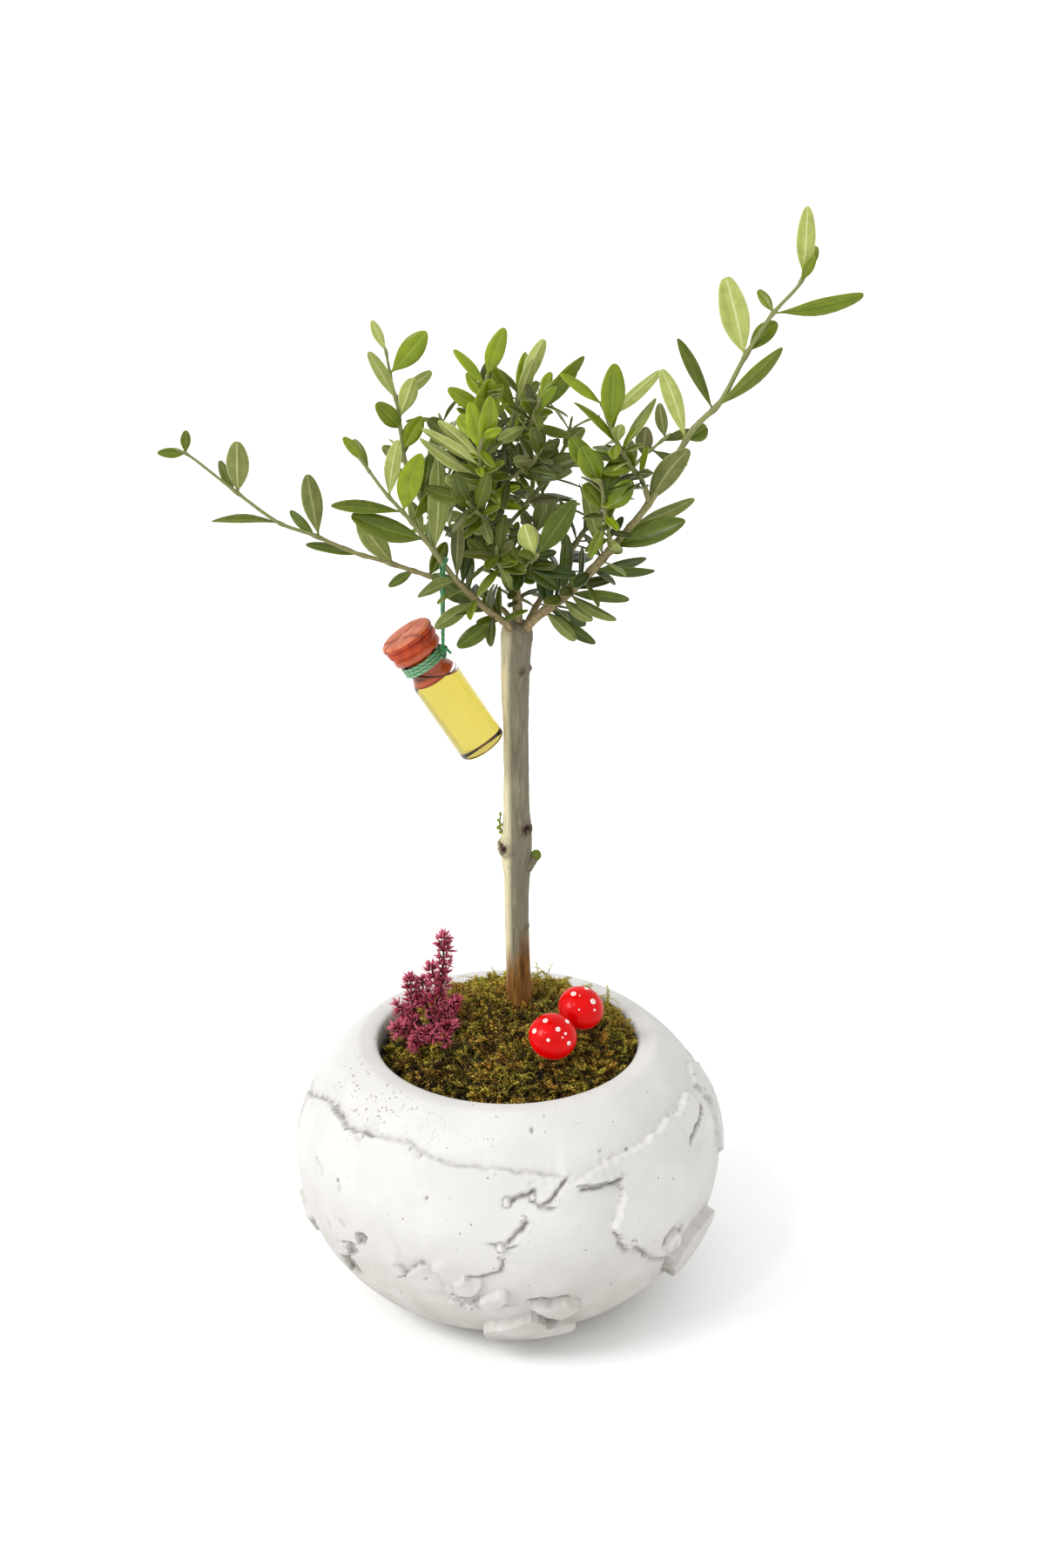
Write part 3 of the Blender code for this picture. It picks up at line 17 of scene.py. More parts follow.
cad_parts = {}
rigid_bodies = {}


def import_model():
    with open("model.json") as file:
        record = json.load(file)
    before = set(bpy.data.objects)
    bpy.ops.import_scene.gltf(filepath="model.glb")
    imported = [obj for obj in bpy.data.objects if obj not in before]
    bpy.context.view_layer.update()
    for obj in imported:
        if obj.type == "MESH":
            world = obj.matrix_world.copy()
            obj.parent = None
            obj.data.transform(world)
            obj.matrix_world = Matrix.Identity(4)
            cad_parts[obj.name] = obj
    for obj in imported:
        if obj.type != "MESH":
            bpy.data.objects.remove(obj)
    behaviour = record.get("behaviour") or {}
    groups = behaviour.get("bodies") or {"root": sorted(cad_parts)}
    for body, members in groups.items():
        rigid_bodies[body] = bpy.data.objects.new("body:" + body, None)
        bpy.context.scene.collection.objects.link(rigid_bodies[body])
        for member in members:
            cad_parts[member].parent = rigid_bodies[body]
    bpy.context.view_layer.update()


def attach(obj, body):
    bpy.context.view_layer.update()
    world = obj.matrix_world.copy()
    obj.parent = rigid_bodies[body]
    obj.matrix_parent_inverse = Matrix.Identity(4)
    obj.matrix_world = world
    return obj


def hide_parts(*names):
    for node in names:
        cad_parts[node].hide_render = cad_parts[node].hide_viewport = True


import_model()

MM = 0.001
# The gap between neighbouring solids
GAP = 0.3
FAR = 1e9

# Camera, one metre in front of the bowl and looking down at it
CAMERA_PLACE = (0.0065, -1.0, 0.658)
CAMERA_DOWN = 22.6
CAMERA_LENS = 58.42
CAMERA_SENSOR = 36.0

# Lights: (name, where it comes from, strength, how wide it looks in degrees). The wide key
# light shapes the bowl, the small one glints on caps and leaves, and the sky keeps the floor
# white.
LIGHTS = [("key", (-0.96, -0.42, 0.84), 1.65, 24.0), ("glint", (-0.50, -0.62, 1.0), 0.22, 5.0)]
SKY_STRENGTH = 1.1
# The studio is this much brighter than a paint of the seen colour would need
STUDIO_BRIGHTNESS = 1.22
# Half the side of the floor, in metres
FLOOR_HALF = 60

# Leaf looks, above and below, with the colours of old, young and dusty blades and of the rib
LEAF_UPPER = dict(roughness=0.3, specular=0.28, rib_strength=0.34, old=(46, 68, 1),
                  young=(156, 176, 14), grey=(82, 85, 24), rib=(170, 184, 80))
LEAF_UNDERSIDE = dict(roughness=0.6, specular=0.15, rib_strength=0.8, old=(114, 124, 58),
                      young=(208, 216, 124), grey=(114, 113, 72), rib=(232, 236, 176))
GLASS_TINTS = ((0.97, 0.99, 0.98), (0.99, 1.0, 0.99))
OIL_TINTS = ((0.575, 0.465, 0.06), (0.60, 0.50, 0.088))
# The plaster is painted greyer as shade from the first of these heights down to the second, in
# metres
SHADED_FOOT = (0.075, 0.015)

# The outer side of the bowl from the rim down to the base, as (radius, height)
POT_OUTSIDE = [
    (66.0, 120.0), (67.5, 119.0), (70.0, 117.0), (76.5, 111.0), (83.0, 103.0), (88.0, 95.0),
    (91.8, 86.5), (94.2, 77.5), (95.0, 67.5), (94.3, 57.0), (91.6, 46.0), (86.6, 34.0),
    (79.0, 22.5), (69.0, 12.5), (56.0, 4.8), (41.0, 0.0),
]
# The inner side from the floor of the bowl up to the rim
POT_INSIDE = [
    (0, 12), (50, 14), (72, 28), (82, 50), (81, 73), (70, 91), (58.4, 99.4), (57.5, 101),
    (57.5, 105), (57.5, 109), (57.5, 113), (57.5, 116.6), (57.7, 118.4), (58.4, 119.5),
    (59.6, 120), (62, 120.1), (64.3, 120.05),
]
# The broken relief lies between these heights, and fades out at both
RELIEF_TOP = 108.0
RELIEF_FOOT = 9.0
RELIEF_FADE = 6.0
# The mesh of the outside: columns in front, as far round as BOWL_FRONT, and at the back, and
# rows above, in and below the relief
BOWL_FRONT = 98
BOWL_COLUMNS = (361, 105)
BOWL_ROWS = (8, 178, 6)
# Edges of the plaster that are steeper than this, in degrees, are drawn sharp
BROKEN_EDGE = 52
# The inside has no dirt and no painted shade from this height up
CLEAN_LIP = 119
# Where the outside is full of specks: (degrees, half width, lowest height, fade below)
SPECKS = (-56, 30, 102, 8)

# Filling
SOIL_TOP = 104.0
MOSS_PEAK = 133.0
MOSS_FALL = 25.0
MOSS_BACK = 0.74
MOSS_REACH = 64.0
MOSS_RADIUS = 57.1
# How much lower the moss lies at the back, and against the wall behind the sprig and
# the toadstools (direction, half width in degrees, drop)
MOSS_BACK_DROP = 2.6
MOSS_WALL_DROPS = [(188, 26, 7.0), (62, 26, 5.0)]
MOSS_MIDDLE = 15.0
MOSS_WALL_REACH = 9.0
# The cushions' width, and the rough floor between the fronds
MOSS_CUSHION = 4.2
MOSS_FLOOR_RINGS = 46
MOSS_FLOOR_SIDES = 180
MOSS_FLOOR_DROP = 0.6
# Fronds: faces in each of the two pieces, the part of the radius that they fill, how deep
# they stand, the room they leave at the wall, and which part of them is bright
FROND_FACES = 158000
FROND_SPREAD = 0.975
FROND_SINK = 1.1
WALL_ROOM = 1.3
BRIGHT_PART = 0.42
LEAFLETS = 3
LEAFLET_TURN = 2.094
JOINT_TURN = 1.1
# Tufts of longer, greener fronds: (x, y, radius, how many)
TUFTS = [(-10, 40, 9, 60), (16, 36, 7, 55), (-24, 34, 8, 34), (36, 20, 8, 30), (3, -38, 9, 24),
         (28, -40, 8, 26)]

# Trunk: (x, y, z, radius)
TRUNK = [
    (5, 8, 62, 5.3), (5, 8, 90, 5.5), (5, 8, 118, 5.6), (5, 8, 131, 5.6), (4.6, 7.2, 152, 5.3),
    (4, 6, 177, 5.3), (4, 5.2, 194, 5.5), (4, 5, 203, 6.2), (4, 4.6, 212, 6.6), (4, 4.2, 221, 6.3),
    (3.9, 4, 230, 5.5), (3.7, 3, 260, 5.35), (3.5, 2, 284, 5.7), (3.8, 1, 300, 6.3),
    (4.1, 0.4, 309, 6.8), (4.2, 0.2, 313, 5.6), (4.3, 0, 315, 3.4),
]
# Half its thickness at the moss, and the height up to which it is stained brown
TRUNK_HALF = 5.6
STAIN_HEIGHT = 160
# Rows of its mesh, wide apart in the earth and close on the bark
BURIED_ROWS = 9
BURIED_STEP = 6.0
BARK_STEP = 1.0
BARK_SIDES = 60
# Knots on the bark: (centre, radius, height, hollow)
KNOTS = [
    ((-1.9, 0.9, 211.5), 3.4, 2.8, True), ((7.6, -0.2, 221), 2.6, 2.2, True),
    ((-0.4, 3.6, 221), 1.0, 2.2, False), ((6.2, -4.2, 294), 1.6, 1.5, False),
    ((9.6, 0.6, 294), 1.1, 1.3, False), ((8.2, 3.2, 173), 1.3, 1.2, False),
]
# A stub (foot, end, radius) with one small round leaf (centre, half sizes)
STUB = ((8.4, 3.5, 201.5), (12.2, 2.6, 206.2), 1.9)
STUB_LEAF = ((12.4, 2.4, 207.5), (2.3, 0.7, 2.7))
ROUND_LEAF = [(0, -1), (0.5, -0.86), (0.86, -0.5), (1, 0), (0.86, 0.5), (0.5, 0.86), (0, 1)]
# A tiny shoot on the bark, and small green buds on it and on the stub: (centre, half sizes)
SHOOT = [(-1.4, 3.0, 216.5), (-2.9, 2.8, 219.5), (-3.3, 2.7, 223.0), (-2.9, 2.9, 226.0)]
BUDS = [
    ((-3.0, 2.8, 226.6), (0.6, 0.5, 1.2)), ((-3.7, 2.6, 223.8), (0.9, 0.6, 0.8)),
    ((-2.8, 2.3, 222.0), (0.7, 0.6, 0.9)), ((-3.8, 2.5, 220.4), (1.0, 0.7, 1.1)),
    ((-3.0, 2.6, 218.2), (0.9, 0.7, 0.8)), ((10.2, 2.6, 206.0), (0.9, 0.5, 0.8)),
    ((11.0, 2.2, 204.6), (0.5, 0.4, 0.5)),
]
BUD = [(0, -1), (0.7, -0.7), (1, 0), (0.7, 0.7), (0, 1)]

# Stems. Every stem grows out of its parent along a route and carries its leaves in its node.
# Leaves are (place along the stem, heading in the front view, lean towards the viewer,
# length, width, turn of the upper face away from the viewer), angles in degrees.
# Pairs are (first place, last place, spacing, leaf length, leaf width) and follow the rule
# of an olive twig, each pair square to the one before it.
Stem = namedtuple("Stem", "name parent route radii leaves pairs")
STEMS = [
    Stem("crown_leader", "trunk",
         [(5, 0, 304), (4.6, 0, 318), (3, 0, 335), (0, 0, 343), (-2, 0, 352), (-6, 0, 368),
          (-5, 0, 377), (-1, 0, 387), (3, 0, 401), (6, 1, 411)], (2.2, 0.8),
         [(.94, 120, 5, 22, 6, 20), (.97, 82, -20, 19, 5, 20), (.99, 68, 5, 25, 6, 170),
          (.96, 72, 20, 22, 5, 160), (.90, 115, -20, 12, 4, 40), (.92, 25, -25, 25, 4, 60),
          (.42, 85, 40, 16, 7, 190), (.30, 110, 35, 13, 6, 30), (.16, 100, 15, 21, 4, 150)],
         (0.24, 0.84, 11, 18, 6)),
    Stem("crown_left", "crown_leader",
         [(-5, 0, 374), (-5, -5, 384), (-8, -11, 395), (-9, -14, 405), (-9, -15, 415),
          (-7, -15, 423)], (1.0, 0.6),
         [(.70, 145, 5, 16, 6, 40), (.80, 125, -25, 12, 4, 60), (.90, 132, -15, 18, 4, 80),
          (.98, 70, -5, 19, 7, 10), (.50, 85, 20, 25, 10, 0), (.62, 60, -30, 17, 5, 30)],
         (0.4, 0.8, 9, 15, 5.5)),
    Stem("crown_front", "crown_leader",
         [(-4, 0, 359), (-6, -10, 370), (-9, -18, 379), (-10, -24, 388), (-10, -28, 396),
          (-9, -30, 402)], (1.0, 0.6),
         [(.86, 100, 15, 20, 7, 10), (.90, 72, 10, 22, 7, 20), (.80, 140, -5, 21, 5, 170),
          (.70, 142, 12, 29, 4, 160), (.56, 146, 18, 32, 5, 185), (.97, 145, -40, 15, 7, 0),
          (.98, 40, 10, 10, 4, 30), (.45, 158, 30, 20, 6, 180)],
         (0.32, 0.82, 9, 16, 5.5)),
    Stem("crown_right", "crown_leader",
         [(0, 0, 390), (4, -8, 397), (9, -14, 402), (12, -17, 409), (14, -18, 415)], (0.95, 0.6),
         [(.74, 55, 15, 15, 4, 60), (.80, 40, 10, 23, 7, 10), (.62, -25, -25, 19, 4, 80),
          (.96, 42, 5, 23, 4, 60), (.98, 65, -30, 11, 4, 20), (.55, -160, 35, 15, 5, 200)],
         (0.4, 0.95, 9, 15, 5.5)),
    Stem("crown_dark", "crown_leader",
         [(-5.5, 0, 370), (0, -10, 378), (5, -17, 383), (11, -22, 389),
          (14, -24, 395)], (0.95, 0.6),
         [(.56, 20, 15, 25, 9, 20), (.84, 165, 50, 13, 5, 190), (.74, -10, -20, 17, 4, 70),
          (.97, 20, -20, 8, 4, 60), (.66, 0, 35, 16, 6, 30), (.92, 100, 30, 14, 5, 30)],
         (0.38, 0.85, 9, 16, 6)),
    Stem("crown_glossy", "crown_leader",
         [(3, 0, 331), (6, -10, 340), (10, -17, 346), (13, -22, 351)], (1.0, 0.7),
         [(.95, 57, 5, 27, 9, 0), (.90, 108, 0, 14, 8, 180), (.60, -5, 15, 20, 5, 40),
          (.55, -32, 5, 16, 6, 20)],
         (0.45, 0.9, 9, 15, 6)),
    Stem("crown_inner_left", "crown_leader",
         [(-1.5, 0, 348), (-6, -8, 358), (-9, -15, 364), (-13, -20, 369),
          (-16, -24, 374)], (0.95, 0.6),
         [(.82, 130, 20, 14, 5, 10), (.76, 75, 25, 19, 6, 20), (.94, 100, 20, 16, 6, 20),
          (.66, -70, 25, 12, 4, 140), (.97, 160, 5, 17, 6, 30)],
         (0.42, 0.85, 9, 15, 5.5)),
    Stem("branch_right", "trunk",
         [(5.4, -0.6, 305), (10, -3, 315.5), (27, -10, 332), (43, -16, 352), (58, -20, 373),
          (73, -22, 401), (84, -22, 413), (93, -20, 430), (103, -18, 446), (114, -15, 458),
          (117, -12, 466)], (2.2, 0.7),
         [(.97, 90, 5, 27, 7, 150), (.96, 65, 10, 11, 4, 60), (.98, 60, -35, 12, 4, 90),
          (.88, 10, 5, 34, 5, 50), (.88, 125, -40, 12, 4, 30), (.78, 106, 10, 34, 11, 180),
          (.79, 42, -25, 17, 7, 20), (.66, 115, -10, 30, 5, 60), (.67, 41, 5, 33, 5, 40),
          (.58, 110, 5, 31, 7, 190), (.58, 30, -20, 10, 7, 10), (.43, 64, 15, 34, 9, 200),
          (.28, 102, 12, 33, 6, 180), (.31, 28, 20, 32, 9, 10), (.37, 12, -30, 30, 5, 150),
          (.25, 0, 15, 24, 4, 70), (.24, 5, -20, 24, 4, 60), (.17, -8, 5, 24, 4, 60),
          (.17, -24, 20, 24, 4, 100), (.15, -28, 35, 17, 5, 140), (.10, -32, 12, 24, 5, 30),
          (.10, -38, 30, 18, 5, 150), (.11, -30, -20, 20, 5, 60), (.11, 95, -15, 18, 7, 10),
          (.15, 85, 0, 26, 5, 30)],
         None),
    Stem("twig_right_mid", "branch_right",
         [(57, -20, 372), (54, -22, 381), (49, -24, 388), (44, -26, 397), (41, -26, 404),
          (37, -25, 414)], (0.95, 0.6),
         [(.76, 88, 8, 25, 9, 0), (.97, 140, 5, 20, 4, 60), (.57, 130, 5, 25, 4, 50),
          (.85, 35, -20, 27, 5, 160), (.62, 85, 40, 13, 5, 180), (.56, 50, -25, 24, 4, 150),
          (.44, 175, -30, 16, 4, 80), (.34, 182, 10, 12, 4, 60)],
         (0.3, 0.75, 10, 15, 6)),
    Stem("twig_right_inner", "branch_right",
         [(42, -15.6, 350.5), (41, -22, 361), (39, -25, 370), (38, -26, 379),
          (35, -26, 386)], (0.95, 0.6),
         [(.88, 115, 12, 16, 9, 0), (.97, 125, -10, 17, 8, 20), (.56, 50, 5, 16, 8, 20),
          (.66, 70, -20, 19, 7, 20), (.56, 132, -10, 14, 7, 10), (.45, -115, 15, 16, 4, 60)],
         (0.4, 0.85, 9, 15, 6)),
    Stem("branch_right_back", "trunk",
         [(5.6, 1, 305), (10, 4, 316), (22, 12, 334), (36, 19, 354), (46, 22, 368), (56, 24, 378),
          (68, 26, 388)], (1.5, 0.6),
         [(.86, 85, -10, 12, 7, 200), (.82, 105, -10, 10, 4, 150), (.90, -25, -10, 17, 4, 70),
          (.95, 15, -15, 14, 4, 60), (.97, 100, -20, 14, 5, 170)],
         (.26, .78, 10, 21, 7)),
    Stem("branch_left", "trunk",
         [(4.4, 1.2, 306), (0, 6, 316), (-12, 9, 324), (-30, 11, 330), (-51, 12, 337),
          (-64, 12, 341), (-80, 10, 349), (-94, 8, 355), (-110, 6, 368), (-127, 4, 383),
          (-134, 2, 388)], (1.35, 0.6),
         [(.97, 175, 10, 11, 4, 60), (.97, 90, -15, 9, 4, 20), (.81, 87, 8, 23, 9, 180),
          (.82, 120, -25, 14, 4, 40), (.68, 175, -5, 28, 4, 70), (.58, 97, 8, 28, 8, 180),
          (.59, 140, -25, 15, 4, 30), (.46, 170, -10, 24, 4, 70), (.38, 122, 12, 27, 9, 190),
          (.39, 135, -30, 20, 6, 20), (.33, -145, -10, 13, 4, 60), (.29, 60, -30, 16, 6, 20)],
         None),
    Stem("branch_left_up", "trunk",
         [(4.2, -0.6, 305), (0, -4.6, 315), (-8, -9, 322.8), (-19, -13, 335.1), (-29, -16, 349.8),
          (-38, -20, 363.8), (-47, -24, 375.7), (-53, -27, 385.1), (-58, -29, 393.5)], (1.7, 0.6),
         [(.97, 125, 5, 12, 4, 30), (.93, 120, -30, 14, 4, 60), (.80, 80, 10, 25, 6, 180),
          (.72, 73, 12, 26, 9, 10), (.72, 168, 12, 28, 5, 60), (.58, 155, 18, 31, 9, 10),
          (.52, 88, -5, 37, 8, 185), (.60, 110, -15, 14, 5, 190), (.38, 155, 22, 30, 6, 100),
          (.38, 92, 0, 27, 6, 180), (.35, 86, -22, 28, 5, 10), (.25, 160, 5, 27, 9, 10),
          (.42, -120, 0, 15, 8, 20), (.27, -150, 20, 20, 6, 190), (.15, -148, 15, 20, 7, 20),
          (.67, 35, -25, 20, 5, 30)],
         (0.2, 0.62, 12, 18, 6)),
    Stem("twig_left_tall", "crown_leader",
         [(-.5, 0, 345), (-14, -4, 351), (-26, -7, 358), (-35, -8, 370), (-41, -6, 386),
          (-43, -4, 404), (-46, -2, 418), (-48, -1, 430)], (1.15, 0.6),
         [(.98, 112, 5, 14, 4, 150), (.90, 50, 8, 22, 9, 0), (.80, 116, 10, 23, 5, 180),
          (.81, 32, -15, 17, 5, 170), (.73, 70, 8, 18, 7, 150), (.69, 130, 8, 14, 7, 10),
          (.61, 60, -10, 15, 7, 10), (.56, 140, 12, 12, 5, 170), (.40, 80, -30, 20, 6, 20)],
         (0.25, 0.6, 12, 16, 5.5)),
    Stem("crown_back_top", "crown_leader",
         [(-2, 0, 385), (1, 8, 394), (4, 14, 403), (5, 18, 413)], (0.95, 0.6),
         [], (.40, 1, 7, 21, 7)),
    Stem("crown_back_left", "crown_leader",
         [(-6, 0, 366), (-14, 8, 376), (-22, 15, 386), (-28, 20, 398)], (0.95, 0.6),
         [], (.35, 1, 8, 22, 7)),
    Stem("crown_back_right", "crown_leader",
         [(-2, 0, 353), (7, 10, 361), (17, 17, 372), (24, 21, 384), (27, 23, 396)], (1.05, 0.6),
         [], (.35, 1, 8, 22, 7)),
    Stem("crown_back_mid", "crown_leader",
         [(-4, 0, 361), (-6, 12, 368), (-8, 24, 378), (-8, 32, 391)], (0.95, 0.6),
         [], (.35, 1, 8, 22, 7)),
    Stem("crown_back_low_left", "crown_leader",
         [(1, 0, 340), (-9, 14, 349), (-21, 26, 358), (-31, 36, 370)], (1.05, 0.6),
         [], (.35, 1, 9, 22, 7)),
    Stem("crown_back_low", "crown_leader",
         [(3.6, 0, 330), (7, 12, 336), (12, 27, 345), (15, 41, 358), (17, 50, 371)], (1.05, 0.6),
         [], (.30, 1, 10, 23, 7)),
    Stem("crown_low_front", "crown_leader",
         [(2.2, 0, 338), (-2, -10, 341), (-3, -18, 347), (-4, -25, 355)], (0.95, 0.6),
         [], (.50, 1, 9, 19, 6)),
]
# A stem is free where it is START_CLEARANCE off its parent's bark, which is looked for in
# steps along part of its length. It starts there with a short straight cut.
START_CLEARANCE = 0.8
START_STEP = 0.25
LONGEST_START = 0.6
SQUARE_CUT = 0.8
# Spacing of the points and sides of the tubes, in the clearance tests and as drawn
WOOD_STEP = 9.0
STUB_STEP = 2.0
GUARD_SIDES = 8
TWIG_STEP = 1.4
TWIG_SIDES = 12

# The plain leaves that the clearance tests use
LEAF_SECTIONS = (0.0, 0.30, 0.68)
SHORT_LEAF = 19.5
SHORT_LEAF_SECTIONS = (0.0, 0.42)
LEAF_THICKNESS = 0.66
LEAF_SAG = 0.06
LEAF_CLEARANCE = 0.35
LEAF_REACH = 3.0
PETIOLE_HALF = 0.45
# A leaf is a little longer and wider than it looks. It is at least LEAF_NARROWEST of its
# length wide: one that looks narrower is turned.
LONGER_THAN_SEEN = 1.04
WIDER_THAN_SEEN = 1.08
LEAF_NARROWEST = 0.23
TO_VIEWER = Vector((0, -0.92, 0.38))
LEAF_FROM_FOOT = 1.5
LEAF_FROM_TIP = 1.2
# Every new try moves a leaf by up to this many degrees more, and makes it shorter
LEAF_TRIES = 40
TRY_HEADING = 1.2
TRY_LEAN = 1.6
TRY_TURN = 3.0
TRY_SHORTER = 0.008
# Leaves by the rule point no further back than this on a stem whose front is seen
BACKWARD = -0.1
# Numbers of the leaves that come from a rule
BY_RULE = -1
INNER = -2
INNER_TRIES = 14
INNER_TURN = 1.9

# The drawn leaves: places along the blade and across it, the part that is stalk, and heights
BLADE_SECTIONS = (0.0, 0.04, 0.08, 0.14, 0.22, 0.32, 0.43, 0.55, 0.67, 0.78, 0.87, 0.94, 0.985)
ACROSS = (-1.0, -0.6, -0.12, 0.0, 0.12, 0.6, 1.0)
STALK = 0.06
BLADE_HALF_THICKNESS = 0.16
BLADE_LIFT = 0.3
ROLLED_EDGE = 0.16
MIDRIB = 0.26

# How young the leaves are at the foot and at the tip of each stem (0 deep green, 1 yellow-green),
# and how grey they are
STEM_LOOKS = {
    "crown_leader": (0.25, 0.95, 0.10), "crown_left": (0.5, 0.9, 0.0),
    "crown_front": (0.55, 1.0, 0.0), "crown_right": (0.3, 0.65, 0.10),
    "crown_dark": (0.0, 0.2, 0.55), "crown_glossy": (0.1, 0.15, 0.0),
    "crown_inner_left": (0.1, 0.35, 0.35), "branch_right": (0.0, 0.75, 0.15),
    "twig_right_mid": (0.4, 0.7, 0.0), "twig_right_inner": (0.35, 0.5, 0.05),
    "branch_right_back": (0.0, 0.25, 0.75), "branch_left": (0.1, 0.55, 0.3),
    "branch_left_up": (0.15, 0.6, 0.2), "twig_left_tall": (0.3, 0.8, 0.0),
    "crown_low_front": (0.15, 0.4, 0.45),
}
BACK_LOOK = (0.1, 0.5, 0.2)
# Leaves that stand out, by their number on the stem: (youth, grey)
ODD_LEAVES = {
    ("crown_glossy", 1): (1.3, 0.0), ("branch_left_up", 3): (0.9, 0.0),
    ("branch_left_up", 9): (0.3, 0.9), ("branch_left_up", 10): (0.0, 0.3),
    ("branch_left_up", 2): (0.7, 0.0), ("branch_right", 9): (0.95, 0.0),
    ("branch_right", 5): (1.1, 0.0), ("branch_right", 11): (0.2, 0.6),
    ("branch_right", 0): (0.8, 0.0), ("branch_left_up", 6): (0.5, 0.2),
}

# Small inner leaves that the solids leave out: (stem, first place, last place, spacing, length)
INNER_LEAVES = [
    ("crown_leader", .14, .90, 4.0, 14), ("crown_left", .25, .92, 4.5, 13),
    ("crown_front", .2, .95, 4.5, 13), ("crown_right", .25, .95, 4.5, 13),
    ("crown_dark", .2, .95, 4.2, 13), ("crown_glossy", .3, .9, 4.5, 12),
    ("crown_inner_left", .2, .95, 4.2, 13), ("crown_low_front", .3, .95, 4.2, 13),
    ("crown_back_top", .2, .8, 6, 15), ("crown_back_left", .25, .7, 6, 15),
    ("crown_back_right", .3, .75, 7, 15), ("crown_back_mid", .25, .8, 6, 15),
    ("crown_back_low_left", .3, .8, 7, 15), ("crown_back_low", .3, .8, 7, 15),
    ("branch_right", .12, .30, 6, 15), ("twig_right_inner", .15, .95, 4.5, 12),
    ("twig_right_mid", .1, .65, 5, 13), ("branch_left_up", .07, .34, 6, 14),
    ("branch_right_back", .15, .7, 6, 14), ("twig_left_tall", .06, .34, 6, 13),
]

# Vial: the two ends of its axis, and its profiles along that axis as (radius, height)
VIAL_BASE = Vector((-9.9, 0.0, 259.0))
VIAL_HEAD = Vector((-41.6, -1.5, 308.9))
VIAL_AXIS = (VIAL_HEAD - VIAL_BASE).normalized()
VIAL_SIDES = 96
VIAL_OUTSIDE = [
    (0, 0), (8.9, 0), (9.9, 0.5), (10.4, 1.6), (10.4, 36.6), (10.2, 38), (9.4, 39.8), (8.7, 41),
    (8.4, 42.2), (8.4, 49.2), (8.8, 49.8), (10.6, 50.2), (11, 50.8), (11, 52.2), (10.6, 53),
    (7.4, 53),
]
VIAL_INSIDE = [
    (7, 52.6), (7, 42.2), (7.4, 41), (8.2, 39.4), (9.2, 37.6), (9.3, 36.4), (9.3, 30), (9.3, 24),
    (8, 24), (6, 24), (4, 24), (2, 24), (0, 24),
]
PLUG = [
    (0, 37.2), (7.6, 37.2), (8.6, 38.3), (7.9, 39.9), (7.3, 41.3), (7.04, 42.2), (7.04, 49.4),
    (9.7, 50.6), (10.3, 51.6), (10.3, 53.3), (10.5, 53.4), (11.3, 54.6), (11.4, 56.8),
    (10.9, 57.2), (10.9, 57.5), (11.7, 57.9), (11.8, 59.4), (10.9, 60.6), (9, 60.7), (6, 60.7),
    (3, 60.65), (0, 60.6),
]
# The plug's head starts at the first height, is creased above the second and pale above the third
HEAD_FOOT = 53.2
HEAD_EDGE = 59
HEAD_TOP = 59.3
PLUG_CREASES = [((-9, -5, 0), (7, 6, 0)), ((-10, 1, 0), (4, -8, 0))]
OIL_PROFILE = ([(9.2, 0.5), (9.8, 1.3), (9.8, 2.4), (9.5, 3.4)]
               + [(9.25, 3.4 + 3.3 * k) for k in range(1, 10)]
               + [(9.1, 37.4), (8.1, 39.3), (7.6, 40.4)] + [(r, 40.5) for r in range(7, -1, -1)])
# A plain shape round the vial that the leaves keep clear of
VIAL_GUARD = [(0, 10.2), (1, 11.0), (30, 11.0), (38, 10.8), (43, 11.0), (49, 11.0), (50, 11.6),
              (53, 11.8), (54, 12.2), (61.2, 12.0)]
VIAL_NECK_RADIUS = 8.4
VIAL_WRAP_HEIGHT = 43.8
# Height of the oil's level, how far up the vial's axis it could reach, the radius within
# which the glass over it is flat, and the gap between the two
OIL_LEVEL = 293.8
OIL_REACH = 40.0
OIL_FLAT = 9.2
OIL_GAP = 0.06

# Cord: tied to the left twig, knotted and wound three times round the neck of the vial
CORD_RADIUS = 0.75
CORD_TWIG = Vector((-26.0, -15.0, 345.2))
CORD_TURNS = 3
CORD_PITCH = 1.54
CORD_LIFT = 0.15
CORD_GUARD = [2.6, 3.4]
CORD_STEP = 0.55
CORD_SIDES = 14
# Sides of the solid's winding, and steps of the winding, the loop, the strands and the knot
TURN_STEPS = 10
WIND_STEPS = 60
LOOP_STEPS = 16
HANG_STEPS = 30
KNOT_STEPS = 60
KNOT_SIZE = 0.52
CORD_TAIL = [(1.6, -1.2, 0.4), (3.4, -1.6, -1.2)]
# The twist of the strands in each step and the depth between them, and the place left of which the
# winding is painted pale as lit
STRAND_TURN = 0.62
GROOVE_DEPTH = 0.20
PAINTED_LIGHT_CORD_X = -24

# Toadstools: (name, middle of the cap, the way it faces, radius, foot of the stem, dots)
# Dots are (right, up, radius) as seen from the camera, in cap radii
TOADSTOOLS = [
    ("front", (20.0, -30.0, 137.6), (0.14, -0.68, 0.72), 10.5, (21.0, -21.0), [
        (-.35, .55, .13), (.55, .52, .13), (.17, .20, .12), (-.80, .12, .13), (.62, -.37, .11),
        (-.23, -.25, .085), (.48, .02, .07), (.36, -.14, .05)]),
    ("back", (32.8, -10.0, 141.2), (0.22, -0.62, 0.75), 10.1, (32.0, -1.5), [
        (-.40, .48, .14), (.17, .71, .12), (.45, .16, .15), (.52, -.21, .07), (-.13, .40, .04),
        (-.15, -.20, .05)]),
]
TOADSTOOL_STEM_RADIUS = 2.0
